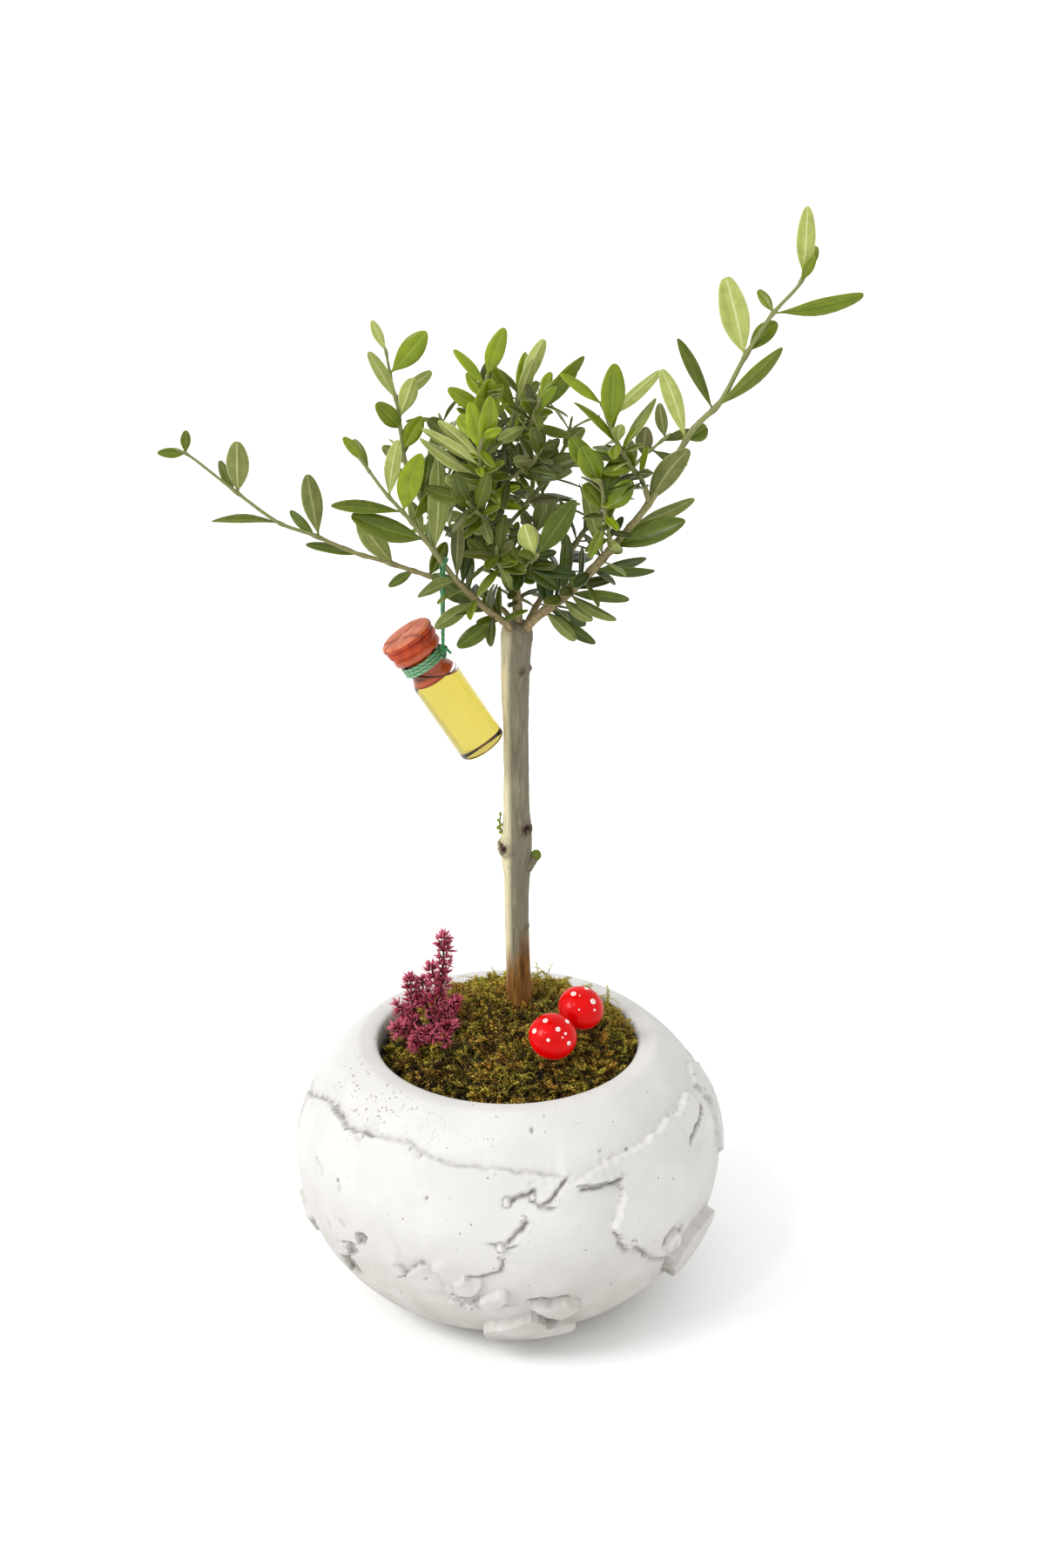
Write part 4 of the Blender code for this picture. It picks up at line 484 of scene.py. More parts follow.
# The cap's profile as (radius, height), the radius it is drawn for and how deep it is seated
DOME = [
    (0, 1.6), (5, 1.5), (8.2, 1.2), (9.2, 0.25), (9.8, -0.05), (10.2, 0.25), (10.35, 1.0),
    (10.2, 2.0), (9.6, 3.4), (8.9, 4.5), (8.0, 5.5), (6.9, 6.5), (5.6, 7.3), (4.3, 7.9),
    (2.9, 8.3), (1.4, 8.55), (0, 8.6),
]
DOME_RADIUS = 10.3
CAP_SEAT = 4.2
CAP_SIDES = 72
# A dot's profile as (part of its radius, height), and its size as drawn against the size as seen
DOT = [(1, -0.12), (0.98, 0.1), (0.8, 0.26), (0.55, 0.34), (0.4, 0.30), (0, 0.26)]
DOT_SIZE = 0.86
DOT_SIDES = 22

# Dried sprig: branches as lists of points, with the place along each where its florets begin
SPRIG_BRANCHES = [
    ([
        (-36, -3, 104.6), (-36, -3, 118), (-33.5, -1, 131), (-29.6, 0, 143), (-28.4, 2, 154),
        (-28, 5, 167)], 0.40),
    ([(-35.4, -2.4, 125), (-42, -3, 130), (-48, -2, 137)], 0.40),
    ([(-38.8, -2.6, 127.4), (-42, 0, 137), (-43, 3, 147)], 0.40),
    ([(-34, -1.4, 129), (-36.5, 2, 138), (-38, 5, 145)], 0.45),
    ([(-30, 0, 142), (-32.5, 3, 148), (-33.6, 5, 152)], 0.40),
    ([(-35, -2, 126), (-28, -1, 131), (-23.5, 0, 138)], 0.35),
    ([(-35.3, -2.4, 125), (-29, -6, 127), (-24.5, -8, 130)], 0.40),
    ([(-35.3, -2.4, 125), (-43, -7, 127.5), (-49, -8, 129)], 0.40),
    ([(-35.3, -2.4, 124.6), (-35, -8, 126.5), (-32.5, -13, 126.5)], 0.40),
    ([(-35.3, -2.4, 124.8), (-38, -9, 126), (-41, -14, 124.5)], 0.40),
    ([(-35.2, -2.4, 124.9), (-31, -8, 125.5), (-27, -14, 124.5)], 0.45),
]
SPRIG_RADIUS = 0.9
SPRIG_TIP_RADIUS = 0.45
# Rings of florets, and their spacing on the main branch and on the side branches
FLORETS_ROUND = 5
FLORET_TURN = 1.26
FLORETS_AT_TIP = 3
MAIN_SPACING = (2.7, 3.7)
SIDE_SPACING = (2.3, 3.2)
PETAL_FACES = [(0, 1, 2), (0, 2, 3), (0, 3, 4), (0, 4, 1), (5, 2, 1), (5, 3, 2), (5, 4, 3),
               (5, 1, 4)]

# The broken plaster. Places on the bowl are in degrees round it, 0 at the front and 90 at the
# right, and in height. Plates are (level, painted shade and dirt, outline): a later one covers an
# earlier one.
# An outline that starts beyond BACK_PLATE goes over the seam at the back.
BACK_PLATE = 150
MM_PER_DEGREE = 1.6
PLATE_SOFT = (0.17, 0.3)
PLATES = [
    (2.9, 0.0, [
        (18.8, 95.1), (24, 98), (28, 99.2), (32, 100.6), (37, 101.3), (43, 101.8), (47, 103.2),
        (52, 103.6), (57, 104.4), (62, 103.5), (67, 105.5), (72, 105.5), (77, 101), (76, 90),
        (72.3, 84.3), (68, 80.9), (62.8, 77), (60.3, 72.8), (57.6, 68.6), (54.2, 65), (49.5, 64.9),
        (45.9, 64.1), (44.1, 61), (43.7, 57.3), (45.9, 52.5), (47.9, 49.8), (42.2, 52.6),
        (38, 55.9), (36.2, 59.9), (34.3, 63.7), (33, 62.3), (31.7, 62.2), (29.9, 68.1),
        (28.4, 72.7), (28.5, 76), (29.6, 80), (31.4, 84), (31.8, 88), (30.6, 92), (29.2, 93.4),
        (24, 94)]),
    (3.2, 0.0, [
        (67.9, 97.4), (71.5, 94.8), (67.2, 91.7), (62.4, 86.7), (60.2, 90.6), (59.1, 93.4)]),
    (4.0, 0.0, [
        (43.7, 56.8), (45.2, 60.2), (47.9, 62), (50.2, 58.5), (50.2, 53.2), (48.7, 51.1),
        (45.9, 52)]),
    (4.6, 0.0, [
        (51.6, 46.5), (53.9, 51.3), (57.3, 53.8), (62.1, 55), (67, 56), (70, 50), (68, 40),
        (62, 31), (57.2, 28.9), (53, 34), (50.5, 41)]),
    (-2.4, 0.75, [
        (-43.3, 59.9), (-42.8, 62.8), (-40.8, 63.7), (-39, 62.3), (-40.2, 59), (-42.7, 57.4)]),
    (-2.2, 0.55, [
        (-47.2, 54.8), (-43.6, 56.2), (-43.2, 52.4), (-45.8, 47.5), (-49.2, 45.7), (-48, 50.5)]),
    (-2.6, 0.7, [
        (-54.5, 40), (-48.4, 45.6), (-46.6, 41.8), (-45.2, 38.2), (-50, 31.6), (-55, 31)]),
    (1.7, 0.0, [
        (-7.2, 55.4), (-6.5, 50.8), (-7.7, 47), (-9.9, 44.9), (-13.4, 45.7), (-14, 51),
        (-11, 56)]),
    (-0.8, 0.35, [
        (-13.2, 45.4), (-9.9, 44.6), (-7.5, 45), (-6.9, 42), (-8.6, 38.5), (-12.5, 37),
        (-14.2, 40)]),
    (3.4, 0.0, [
        (-7.1, 43.1), (-5.2, 45.4), (-3.3, 46.8), (-1.9, 48.8), (-0.2, 48), (0.4, 44.4),
        (-1.3, 41.9), (-3, 39.6), (-5.4, 38.7), (-6.9, 40.1)]),
    (4.2, 0.0, [
        (-7.2, 22.7), (-4.4, 26.6), (-0.1, 28.5), (3.4, 32.2), (6.3, 34.2), (9, 33.2), (11.3, 28),
        (15.2, 27.2), (19.3, 28.3), (22.4, 20), (21, 13), (14, 10), (4, 9), (-3, 10),
        (-7.2, 14.3)]),
    (4.4, 0.0, [
        (6, 41.6), (9.4, 41.8), (13.7, 41.6), (16.7, 41.2), (20, 38.6), (19, 35.1), (17.1, 32.5),
        (14.7, 30.5), (11.3, 34), (8.5, 37.6)]),
    (-1.0, 0.85, [
        (8.3, 35.6), (10.2, 31.5), (11.6, 26.4), (14.4, 25), (15, 28.6), (13.1, 31.3),
        (10.8, 34.3)]),
    (2.2, 0.0, [
        (80, 104), (88, 108), (97, 101), (99, 86), (94, 74), (88, 69), (80, 70), (79, 77.7),
        (83, 86.7), (86, 92), (83, 96)]),
    (2.4, 0.0, [
        (112, 92), (128, 97), (150, 88), (164, 72), (158, 52), (140, 40), (122, 46), (108, 62),
        (105, 80)]),
    (3.8, 0.0, [(140, 52), (152, 58), (160, 50), (154, 36), (142, 34)]),
    (-1.6, 0.1, [(168, 88), (176, 94), (184, 84), (180, 66), (172, 58), (166, 70)]),
    (1.2, 0.0, [
        (-172, 84), (-150, 92), (-124, 88), (-108, 72), (-112, 48), (-130, 34), (-152, 40),
        (-170, 58)]),
    (3.2, 0.0, [(-132, 44), (-122, 50), (-112, 44), (-116, 32), (-128, 28)]),
    (-1.8, 0.1, [(-148, 66), (-140, 72), (-132, 66), (-136, 54), (-146, 54)]),
    (3.0, 0.0, [(-92, 42), (-84, 48), (-76, 42), (-78, 32), (-88, 30)]),
]
# Broken edges of the plaster skin: (drop, reach, painted shade below the edge, line). The skin is
# higher on the left of the line, and what is on the right of it comes back to the same level over
# the reach.
LEDGES = [
    (1.5, 9, 0.4, [
        (16.7, 98.6), (10.6, 100.2), (4.4, 101), (-0.5, 101.7), (-5, 101.9), (-9.3, 102.5),
        (-13.7, 102.5), (-17.9, 102.7), (-22.1, 103.3), (-24.6, 104.5), (-27.2, 105.3),
        (-29.9, 106), (-35.6, 106), (-42.9, 104.4), (-49.3, 102.7)]),
    (2.6, 10, 0.75, [
        (-42.9, 104.4), (-49.3, 102.7), (-52.3, 101.8), (-55.6, 101.7), (-59.7, 102.1),
        (-65.3, 103.7), (-71.2, 103.2), (-78.3, 99.6), (-86, 94), (-92.1, 88.8), (-97, 86)]),
    (1.8, 10, 0.15, [(-92.1, 88.8), (-100, 86), (-112, 92), (-126, 97), (-145, 98)]),
    (1.8, 9, 0.45, [
        (-1.1, 65.9), (-1.1, 62.8), (-2, 59.7), (-4.5, 57.7), (-7.2, 55.9), (-11, 56)][::-1]),
    (1.8, 8, 0.1, [
        (-15.5, 36), (-15.8, 43), (-16.1, 49), (-17.3, 52.1), (-19.5, 55.3),
        (-20.6, 57.6)][::-1]),
    (2.4, 9, 0.85, [
        (-19.6, 56), (-20.8, 58.2), (-22.8, 57.8), (-24.9, 55.2), (-26.3, 51.5), (-27.8, 49.6),
        (-28.6, 51.6), (-31.5, 52.4)]),
    (1.0, 10, 0.3, [(-86, 97), (-90, 88), (-91, 78), (-88, 68)][::-1]),
    (1.6, 8, 0.3, [(100, 104), (116, 98), (132, 101), (150, 98), (168, 102), (178, 100)]),
]
# How wide the step of a ledge is, how soon it tapers, the lip above it, and how the edges are
# blurred and crumbled
EDGE_SOFT = 1.0
LEDGE_TAPER = 4.0
LIP_HEIGHT = 0.25
LIP_REACH = 2.0
EDGE_BLUR = 2
EDGE_CRUMBLE = 0.55
# Open cracks: (half width, depth, painted shade in the groove, line), with tapered ends
CRACK_TAPER = 1.5
CRACKS = [
    (0.75, 1.8, 0.8, [(0.8, 91.2), (3.7, 92.6), (5.4, 93.9), (7.1, 94.7), (8.6, 94.3)]),
    (0.6, 1.4, 0.6, [(6.2, 90.9), (8.1, 90.2), (9.6, 87.8), (12.8, 87)]),
    (0.75, 1.8, 0.75, [(9.7, 88.2), (12.4, 91.7), (14, 94.1), (15.7, 96.4), (17.2, 98)]),
    (0.85, 2.0, 0.8, [(4.9, 83.6), (3.8, 79.9), (2.2, 77), (0.2, 74)]),
    (0.6, 1.0, 0.5, [(-5, 73.8), (-3, 72.8), (-0.2, 71.6), (2.6, 72.6)]),
    (0.7, 1.4, 0.7, [
        (-1.0, 67), (-1.1, 62.8), (-2, 59.7), (-4.5, 57.7), (-7.2, 55.7), (-10, 56.2)]),
    (0.6, 1.1, 0.75, [(20, 92.9), (26.3, 92.8), (29.4, 92.6), (32.4, 93.4)]),
    (0.8, 1.4, 0.8, [(29.2, 93), (32.2, 93.4)]),
    (0.55, 0.8, 0.45, [(-4, 37.6), (-0.1, 38.9), (2.4, 38.6)]),
    (0.6, 1.4, 0.8, [(73, 99), (71.5, 96.4), (67, 95.6), (63, 94.6), (58.9, 92.6)]),
    (0.6, 1.2, 0.55, [
        (72.3, 84.6), (68, 80.9), (62.8, 77), (60.3, 72.8), (57.6, 68.4), (54.2, 64.6),
        (49.5, 64.4), (45.9, 63.6), (44.1, 60.6), (43.4, 56.8)]),
    (0.7, 1.0, 0.5, [
        (28.2, 72.6), (29.6, 67.8), (31.5, 61.6), (33.2, 61.4), (34.5, 62.8), (36.2, 59), (38, 55),
        (42.2, 51.8), (47.9, 48.8), (50.6, 46)]),
    (0.6, 1.2, 0.7, [(-51, 52.6), (-47.2, 53.9), (-44.2, 56.6)]),
    (0.5, 0.5, 0.45, [(-56.6, 61.6), (-54.8, 55.3)]),
    (0.5, 0.5, 0.5, [(-49.2, 65.3), (-46.8, 63.9)]),
    (0.9, 0.7, 0.30, [(-50.8, 80.8), (-49.7, 77.1)]),
    (0.8, 0.6, 0.22, [(-62.5, 82.5), (-59.4, 81), (-58.8, 78)]),
    (0.7, 0.9, 0.6, [(6.0, 42.0), (9.4, 42.2), (16.7, 41.7)]),
    (0.7, 1.0, 0.5, [(40.5, 51), (44, 48), (50, 43), (51, 36), (55, 29)]),
]
# Round lumps of plaster, each with a ring of painted shade round its foot: (degrees, height,
# radius, level)
LUMPS = [
    (-0.4, 90.7, 2.0, 0.9), (7.0, 92.3, 1.6, 0.8), (-1.6, 71.8, 2.1, 2.4), (4.4, 85.0, 1.1, 1.0),
    (-1.1, 66.3, 1.0, 0.9), (33.6, 66.0, 1.3, 1.6), (38.5, 55.5, 1.2, 1.4),
    (-13.4, 36.8, 1.0, 1.2), (-10.6, 36.0, 1.1, 1.3), (-8.4, 37.2, 0.9, 1.0),
    (-12.0, 42.0, 0.9, 1.6), (52.5, 57.5, 1.4, 1.8),
]
# Small holes, painted dark inside as shade: (degrees, height, radius, painted shade)
HOLES = [
    (-21.8, 89.3, 0.75, 0.8), (8.1, 114.6, 1.0, 0.8), (28.6, 104.6, 0.6, 0.6),
    (37.3, 102.3, 0.7, 0.8), (83.9, 104.8, 0.6, 0.6), (29.4, 43.2, 0.6, 0.5),
    (-51.4, 82, 0.9, 0.8), (-63.4, 83, 0.8, 0.4), (-14.8, 44, 0.8, 0.8), (-15, 40.5, 0.7, 0.7),
    (-9, 39.8, 0.8, 0.8), (-4.6, 110, 0.45, 0.5), (13, 118.4, 0.45, 0.5), (40, 62, 0.5, 0.3),
    (72.8, 98.2, 1.1, 0.7), (84, 98, 0.9, 0.6), (86, 88, 0.8, 0.6), (-22, 50, 0.7, 0.45),
    (-66, 103, 0.9, 0.7), (-55.4, 101.2, 0.8, 0.8), (-47.5, 102.4, 0.7, 0.6), (-30, 105, 0.8, 0.5),
    (-26, 104, 0.9, 0.5),
]
# Patches of crumbs: (degrees, height, radius, roughness)
CRUMBS = [
    (-12, 39, 6, 0.5), (-27, 103.5, 5, 0.55), (-48, 101.5, 5, 0.5), (72, 101, 7, 0.9),
    (90, 95, 10, 1.0), (85, 78, 8, 0.9), (60, 102.5, 6, 0.9), (30, 98, 7, 0.7), (8, 98.8, 6, 0.35),
    (48, 54, 6, 0.7), (13, 32, 6, 0.6), (-50, 49, 7, 0.7), (35, 60, 4, 0.5),
]


# Numbers and noise


def held(value, low=0.0, high=1.0):
    """A value kept between two limits."""
    return min(high, max(low, value))


def bell(away, width):
    """1 in the middle, fading to nothing over a width."""
    return math.exp(-(away / width) ** 2)


def bell_field(away, width):
    """The same for many places at once."""
    return np.exp(-(away / width) ** 2)


def noisy(place, *waves):
    """Noise at a place, summed over waves of (strength, size in millimetres)."""
    total = 0.0
    for strength, size in waves:
        total += strength * noise.noise(place / size)
    return total


def angles(sides):
    """Angles all round."""
    return [2 * math.pi * k / sides for k in range(sides)]


# Stem and leaf rules. They are those of the solids, so every leaf lies on its solid.


def smooth_route(points, per_span=8):
    """Points on a smooth curve through the given ones."""
    route = [Vector(p) for p in points]
    ends = [2 * route[0] - route[1]] + route + [2 * route[-1] - route[-2]]
    out = []
    for a, b, c, d in zip(ends, ends[1:], ends[2:], ends[3:]):
        for k in range(per_span):
            t = k / per_span
            out.append(0.5 * (2 * b + (c - a) * t + (2 * a - 5 * b + 4 * c - d) * t * t
                              + (3 * b - a - 3 * c + d) * t ** 3))
    out.append(route[-1])
    return out


def smooth_profile(profile, per_span):
    """The same for flat points."""
    return [(p.x, p.y) for p in smooth_route([(x, y, 0) for x, y in profile], per_span)]


class Wood:
    """The centre line of a stem, with its radius along the way."""

    def __init__(self, points, radii):
        self.points = points
        self.places = [0.0]
        for a, b in zip(points, points[1:]):
            self.places.append(self.places[-1] + (b - a).length)
        self.length = self.places[-1]
        if len(radii) == 2:
            first, last = radii
            radii = [first + (last - first) * p / self.length for p in self.places]
        self.radii = radii

    def at(self, place):
        """Point, direction and radius at a distance along the line."""
        place = held(place, 0.0, self.length)
        for i in range(len(self.points) - 1):
            if place <= self.places[i + 1] or i == len(self.points) - 2:
                span = self.places[i + 1] - self.places[i]
                t = (place - self.places[i]) / span
                a, b = self.points[i], self.points[i + 1]
                radius = self.radii[i] + (self.radii[i + 1] - self.radii[i]) * t
                return a.lerp(b, t), (b - a).normalized(), radius

    def nearest(self, point, steps=400):
        """What at() says where the line comes nearest to a point."""
        places = [self.length * k / steps for k in range(steps + 1)]
        return self.at(min(places, key=lambda place: (self.at(place)[0] - point).length))

    def clearance(self, point):
        """How far a point is from the bark."""
        best = FAR
        for i in range(len(self.points) - 1):
            near, t = intersect_point_line(point, self.points[i], self.points[i + 1])
            t = held(t)
            near = self.points[i].lerp(self.points[i + 1], t)
            radius = self.radii[i] + (self.radii[i + 1] - self.radii[i]) * t
            best = min(best, (point - near).length - radius)
        return best

    def cut(self, start, end, step=WOOD_STEP):
        """Spaced points and radii between two distances."""
        count = max(1, round((end - start) / step))
        found = [self.at(start + (end - start) * k / count) for k in range(count + 1)]
        return [f[0] for f in found], [f[2] for f in found]

    def beyond(self, start):
        """Points and radii of the free stem, a gap past the end of the stub it grows from."""
        points, radii = self.cut(start, self.length)
        along = self.at(start)[1]
        points.insert(1, points[0] + along * SQUARE_CUT)
        radii.insert(1, radii[0])
        return [points[0] + along * GAP, points[1] + along * GAP] + points[2:], radii


def trunk_wood(per_span):
    return Wood(smooth_route([p[:3] for p in TRUNK], per_span),
                [p.x for p in smooth_route([(p[3], 0, 0) for p in TRUNK], per_span)])


def band_faces(rows, sides):
    """Faces between rings of points."""
    faces = []
    for row in range(rows - 1):
        for k in range(sides):
            a = row * sides + k
            b = row * sides + (k + 1) % sides
            faces.append((a, b, b + sides, a + sides))
    return faces


def end_faces(rows, sides):
    """A fan on the first ring and one on the last, to the two points that follow the rings."""
    faces = []
    last = (rows - 1) * sides
    for k in range(sides):
        n = (k + 1) % sides
        faces += [(n, k, rows * sides), (last + k, last + n, rows * sides + 1)]
    return faces


def guard_tube(points, radii):
    """A plain tube for clearance tests, as points and faces."""
    verts = []
    for i, (place, radius) in enumerate(zip(points, radii)):
        along = (points[min(i + 1, len(points) - 1)] - points[max(i - 1, 0)]).normalized()
        side = along.orthogonal().normalized()
        other = along.cross(side)
        for turn in angles(GUARD_SIDES):
            verts.append(place + radius * (math.cos(turn) * side + math.sin(turn) * other))
    return verts, band_faces(len(points), GUARD_SIDES)


def grow_wood():
    """The centre line of every stem, and where each one leaves its parent."""
    wood = {"trunk": trunk_wood(2)}
    starts = {}
    for stem in STEMS:
        wood[stem.name] = Wood(smooth_route(stem.route), stem.radii)
        own, parent = wood[stem.name], wood[stem.parent]
        place = 0.0
        while place < own.length * LONGEST_START:
            point, _, radius = own.at(place)
            if parent.clearance(point) - radius > START_CLEARANCE:
                break
            place += START_STEP
        starts[stem.name] = place
    return wood, starts


Leaf = namedtuple("Leaf", "base along face length width curl")


def leaf_half_width(leaf, s):
    """Half the width of the blade at a fraction of its length."""
    return max(PETIOLE_HALF, 0.5 * leaf.width * math.sin(math.pi * s ** 0.85) ** 0.8)


def blade(leaf, grow=0.0, first=0):
    """The plain blade that the clearance tests use."""
    side = leaf.along.cross(leaf.face).normalized()
    verts = []
    sections = LEAF_SECTIONS if leaf.length > SHORT_LEAF else SHORT_LEAF_SECTIONS
    sections = sections[first:]
    for s in sections:
        centre = (leaf.base + leaf.along * leaf.length * s
                  - leaf.face * leaf.curl * leaf.length * s * s)
        up = (leaf.face + leaf.along * 2 * leaf.curl * s).normalized()
        half = leaf_half_width(leaf, s) + grow
        low = LEAF_SAG * half + grow
        verts += [centre - side * half - up * low, centre + up * (LEAF_THICKNESS + grow),
                  centre + side * half - up * low]
    verts.append(leaf.base + leaf.along * (leaf.length + grow)
                 - leaf.face * leaf.curl * leaf.length)
    faces = [(0, 2, 1)]
    for row in range(len(sections) - 1):
        a = 3 * row
        b = a + 3
        for low, high in ((0, 1), (0, 2), (2, 1)):
            faces += [(a + low, a + high, b + high), (a + low, b + high, b + low)]
    last = 3 * (len(sections) - 1)
    for k in range(3):
        faces.append((last + k, last + (k + 1) % 3, len(verts) - 1))
    return verts, faces


def tree_of(shape):
    return BVHTree.FromPolygons(*shape)


class Thicket:
    """Keeps every leaf clear of the wood and the leaves that are already there."""

    def __init__(self):
        self.leaves = []
        self.solids = []

    def add_solid(self, node, points, radii):
        self.solids.append((node, tree_of(guard_tube(points, radii))))

    def free(self, node, leaf):
        """Whether a leaf touches nothing. The feet of leaves on one stem may be together."""
        whole = tree_of(blade(leaf, LEAF_CLEARANCE))
        outer = tree_of(blade(leaf, LEAF_CLEARANCE, 1))
        for owner, solid in self.solids:
            if owner != node and whole.overlap(solid):
                return False
        middle = leaf.base + leaf.along * leaf.length * 0.5
        for owner, other, other_whole, other_outer in self.leaves:
            apart = (other.base + other.along * other.length * 0.5 - middle).length
            if apart > 0.5 * (leaf.length + other.length) + LEAF_REACH:
                continue
            if owner == node:
                crossing = outer.overlap(other_outer)
            else:
                crossing = whole.overlap(other_whole)
            if crossing:
                return False
        return True

    def add(self, node, leaf):
        self.leaves.append((node, leaf, tree_of(blade(leaf)), tree_of(blade(leaf, 0.0, 1))))


def true_shape(length, seen_width, turn):
    """Length, width and turn of a leaf whose seen width may be narrow because it is turned."""
    length *= LONGER_THAN_SEEN
    seen_width *= WIDER_THAN_SEEN
    width = max(seen_width, LEAF_NARROWEST * length)
    shown = math.degrees(math.acos(seen_width / width))
    sign = -1 if turn % 360 > 180 else 1
    underside = 90 < turn % 360 < 270
    return length, width, 180 - sign * shown if underside else sign * shown


def leaf_base(wood, start, place):
    """The point and direction of the stem where a leaf stands, away from both its ends."""
    return wood.at(max(start + LEAF_FROM_FOOT, min(place, wood.length - LEAF_FROM_TIP)))[:2]


def leaf_in_view(wood, start, place, heading, lean, length, width, turn, curl):
    """A leaf given by how it is seen from the front."""
    h, t = math.radians(heading), math.radians(lean)
    along = Vector((math.cos(h) * math.cos(t), -math.sin(t), math.sin(h) * math.cos(t)))
    face = (TO_VIEWER - along * TO_VIEWER.dot(along)).normalized()
    face = Matrix.Rotation(math.radians(turn), 3, along) @ face
    base, _ = leaf_base(wood, start, place * wood.length)
    return Leaf(base, along, face, length, width, curl)


def leaf_by_rule(wood, start, place, turn, spread, length, width, curl):
    """A leaf that spreads from its stem, its upper face to the tip of the stem."""
    base, tangent = leaf_base(wood, start, place)
    side = tangent.cross(Vector((0.0, 0.2, 1.0))).normalized()
    other = tangent.cross(side)
    out = math.cos(turn) * side + math.sin(turn) * other
    along = (math.cos(spread) * tangent + math.sin(spread) * out).normalized()
    face = (tangent - along * tangent.dot(along)).normalized()
    return Leaf(base, along, face, length, width, curl)


def place_seen_leaves(stem, own, start, thicket, found):
    """The leaves read from the photo. One that finds no room is moved a little at each try."""
    draw = random.Random("seen " + stem.name)
    for number, (place, heading, lean, length, width, turn) in enumerate(stem.leaves):
        curl = draw.uniform(0.04, 0.12)
        length, width, turn = true_shape(length, width, turn)
        for trial in range(LEAF_TRIES):
            leaf = leaf_in_view(
                own, start, place,
                heading + trial * draw.uniform(-TRY_HEADING, TRY_HEADING),
                lean + trial * draw.uniform(-TRY_LEAN, TRY_LEAN),
                length * (1 - TRY_SHORTER * trial), width,
                turn + trial * draw.uniform(-TRY_TURN, TRY_TURN), curl)
            if thicket.free(stem.name, leaf):
                thicket.add(stem.name, leaf)
                found.append((leaf, place, number))
                break


def place_pairs(stem, own, start, thicket, found):
    """Pairs of leaves up the stem, each pair square to the one before it."""
    draw = random.Random("pairs " + stem.name)
    first, last, spacing, length, width = stem.pairs
    place = first * own.length
    turn = draw.uniform(0, math.pi)
    while place <= last * own.length + 0.1:
        size = draw.uniform(0.85, 1.15) * (1.0 - 0.25 * place / own.length)
        for half in (0.0, math.pi):
            for trial in range(LEAF_TRIES):
                loose = trial / LEAF_TRIES
                leaf = leaf_by_rule(
                    own, start, place + loose * draw.uniform(-2, 2),
                    turn + half + draw.uniform(-0.3, 0.3) * (1 + 3 * loose),
                    math.radians(draw.uniform(42, 62) + 20 * loose * draw.uniform(-1, 1)),
                    length * size * (1 - 0.3 * loose), width * draw.uniform(0.85, 1.15),
                    draw.uniform(0.04, 0.14))
                if stem.leaves and leaf.along.y < BACKWARD:
                    continue
                if thicket.free(stem.name, leaf):
                    thicket.add(stem.name, leaf)
                    found.append((leaf, place / own.length, BY_RULE))
                    break
        turn += math.pi / 2
        place += spacing


def place_leaves(wood, starts, thicket):
    """Every stem's leaves as (leaf, place along the stem, number), seen ones first."""
    found = {stem.name: [] for stem in STEMS}
    for stem in STEMS:
        name = stem.name
        place_seen_leaves(stem, wood[name], starts[name], thicket, found[name])
    for stem in STEMS:
        name = stem.name
        if stem.pairs:
            place_pairs(stem, wood[name], starts[name], thicket, found[name])
    return found


def place_inner_leaves(wood, starts, thicket, found):
    """Pairs of small leaves between the ones that are there, kept clear of all of them."""
    for name, first, last, spacing, length in INNER_LEAVES:
        draw = random.Random("inner " + name)
        own = wood[name]
        place = first * own.length
        turn = draw.uniform(0, 2 * math.pi)
        while place < last * own.length:
            for half in (0.0, math.pi):
                for _ in range(INNER_TRIES):
                    leaf = leaf_by_rule(
                        own, starts[name], place + draw.uniform(-1.5, 1.5),
                        turn + half + draw.uniform(-0.7, 0.7), math.radians(draw.uniform(35, 95)),
                        length * draw.uniform(0.7, 1.2), length * draw.uniform(0.28, 0.42),
                        draw.uniform(0.02, 0.2))
                    if thicket.free(name, leaf):
                        thicket.add(name, leaf)
                        found[name].append((leaf, place / own.length, INNER))
                        break
            turn += INNER_TURN
            place += spacing


# Materials


def srgb(red, green, blue):
    """A colour seen as 0 to 255 on a screen, as the shader's own values."""
    def linear(value):
        value /= 255
        value = value / 12.92 if value <= 0.04045 else ((value + 0.055) / 1.055) ** 2.4
        return value / STUDIO_BRIGHTNESS
    return linear(red), linear(green), linear(blue), 1.0


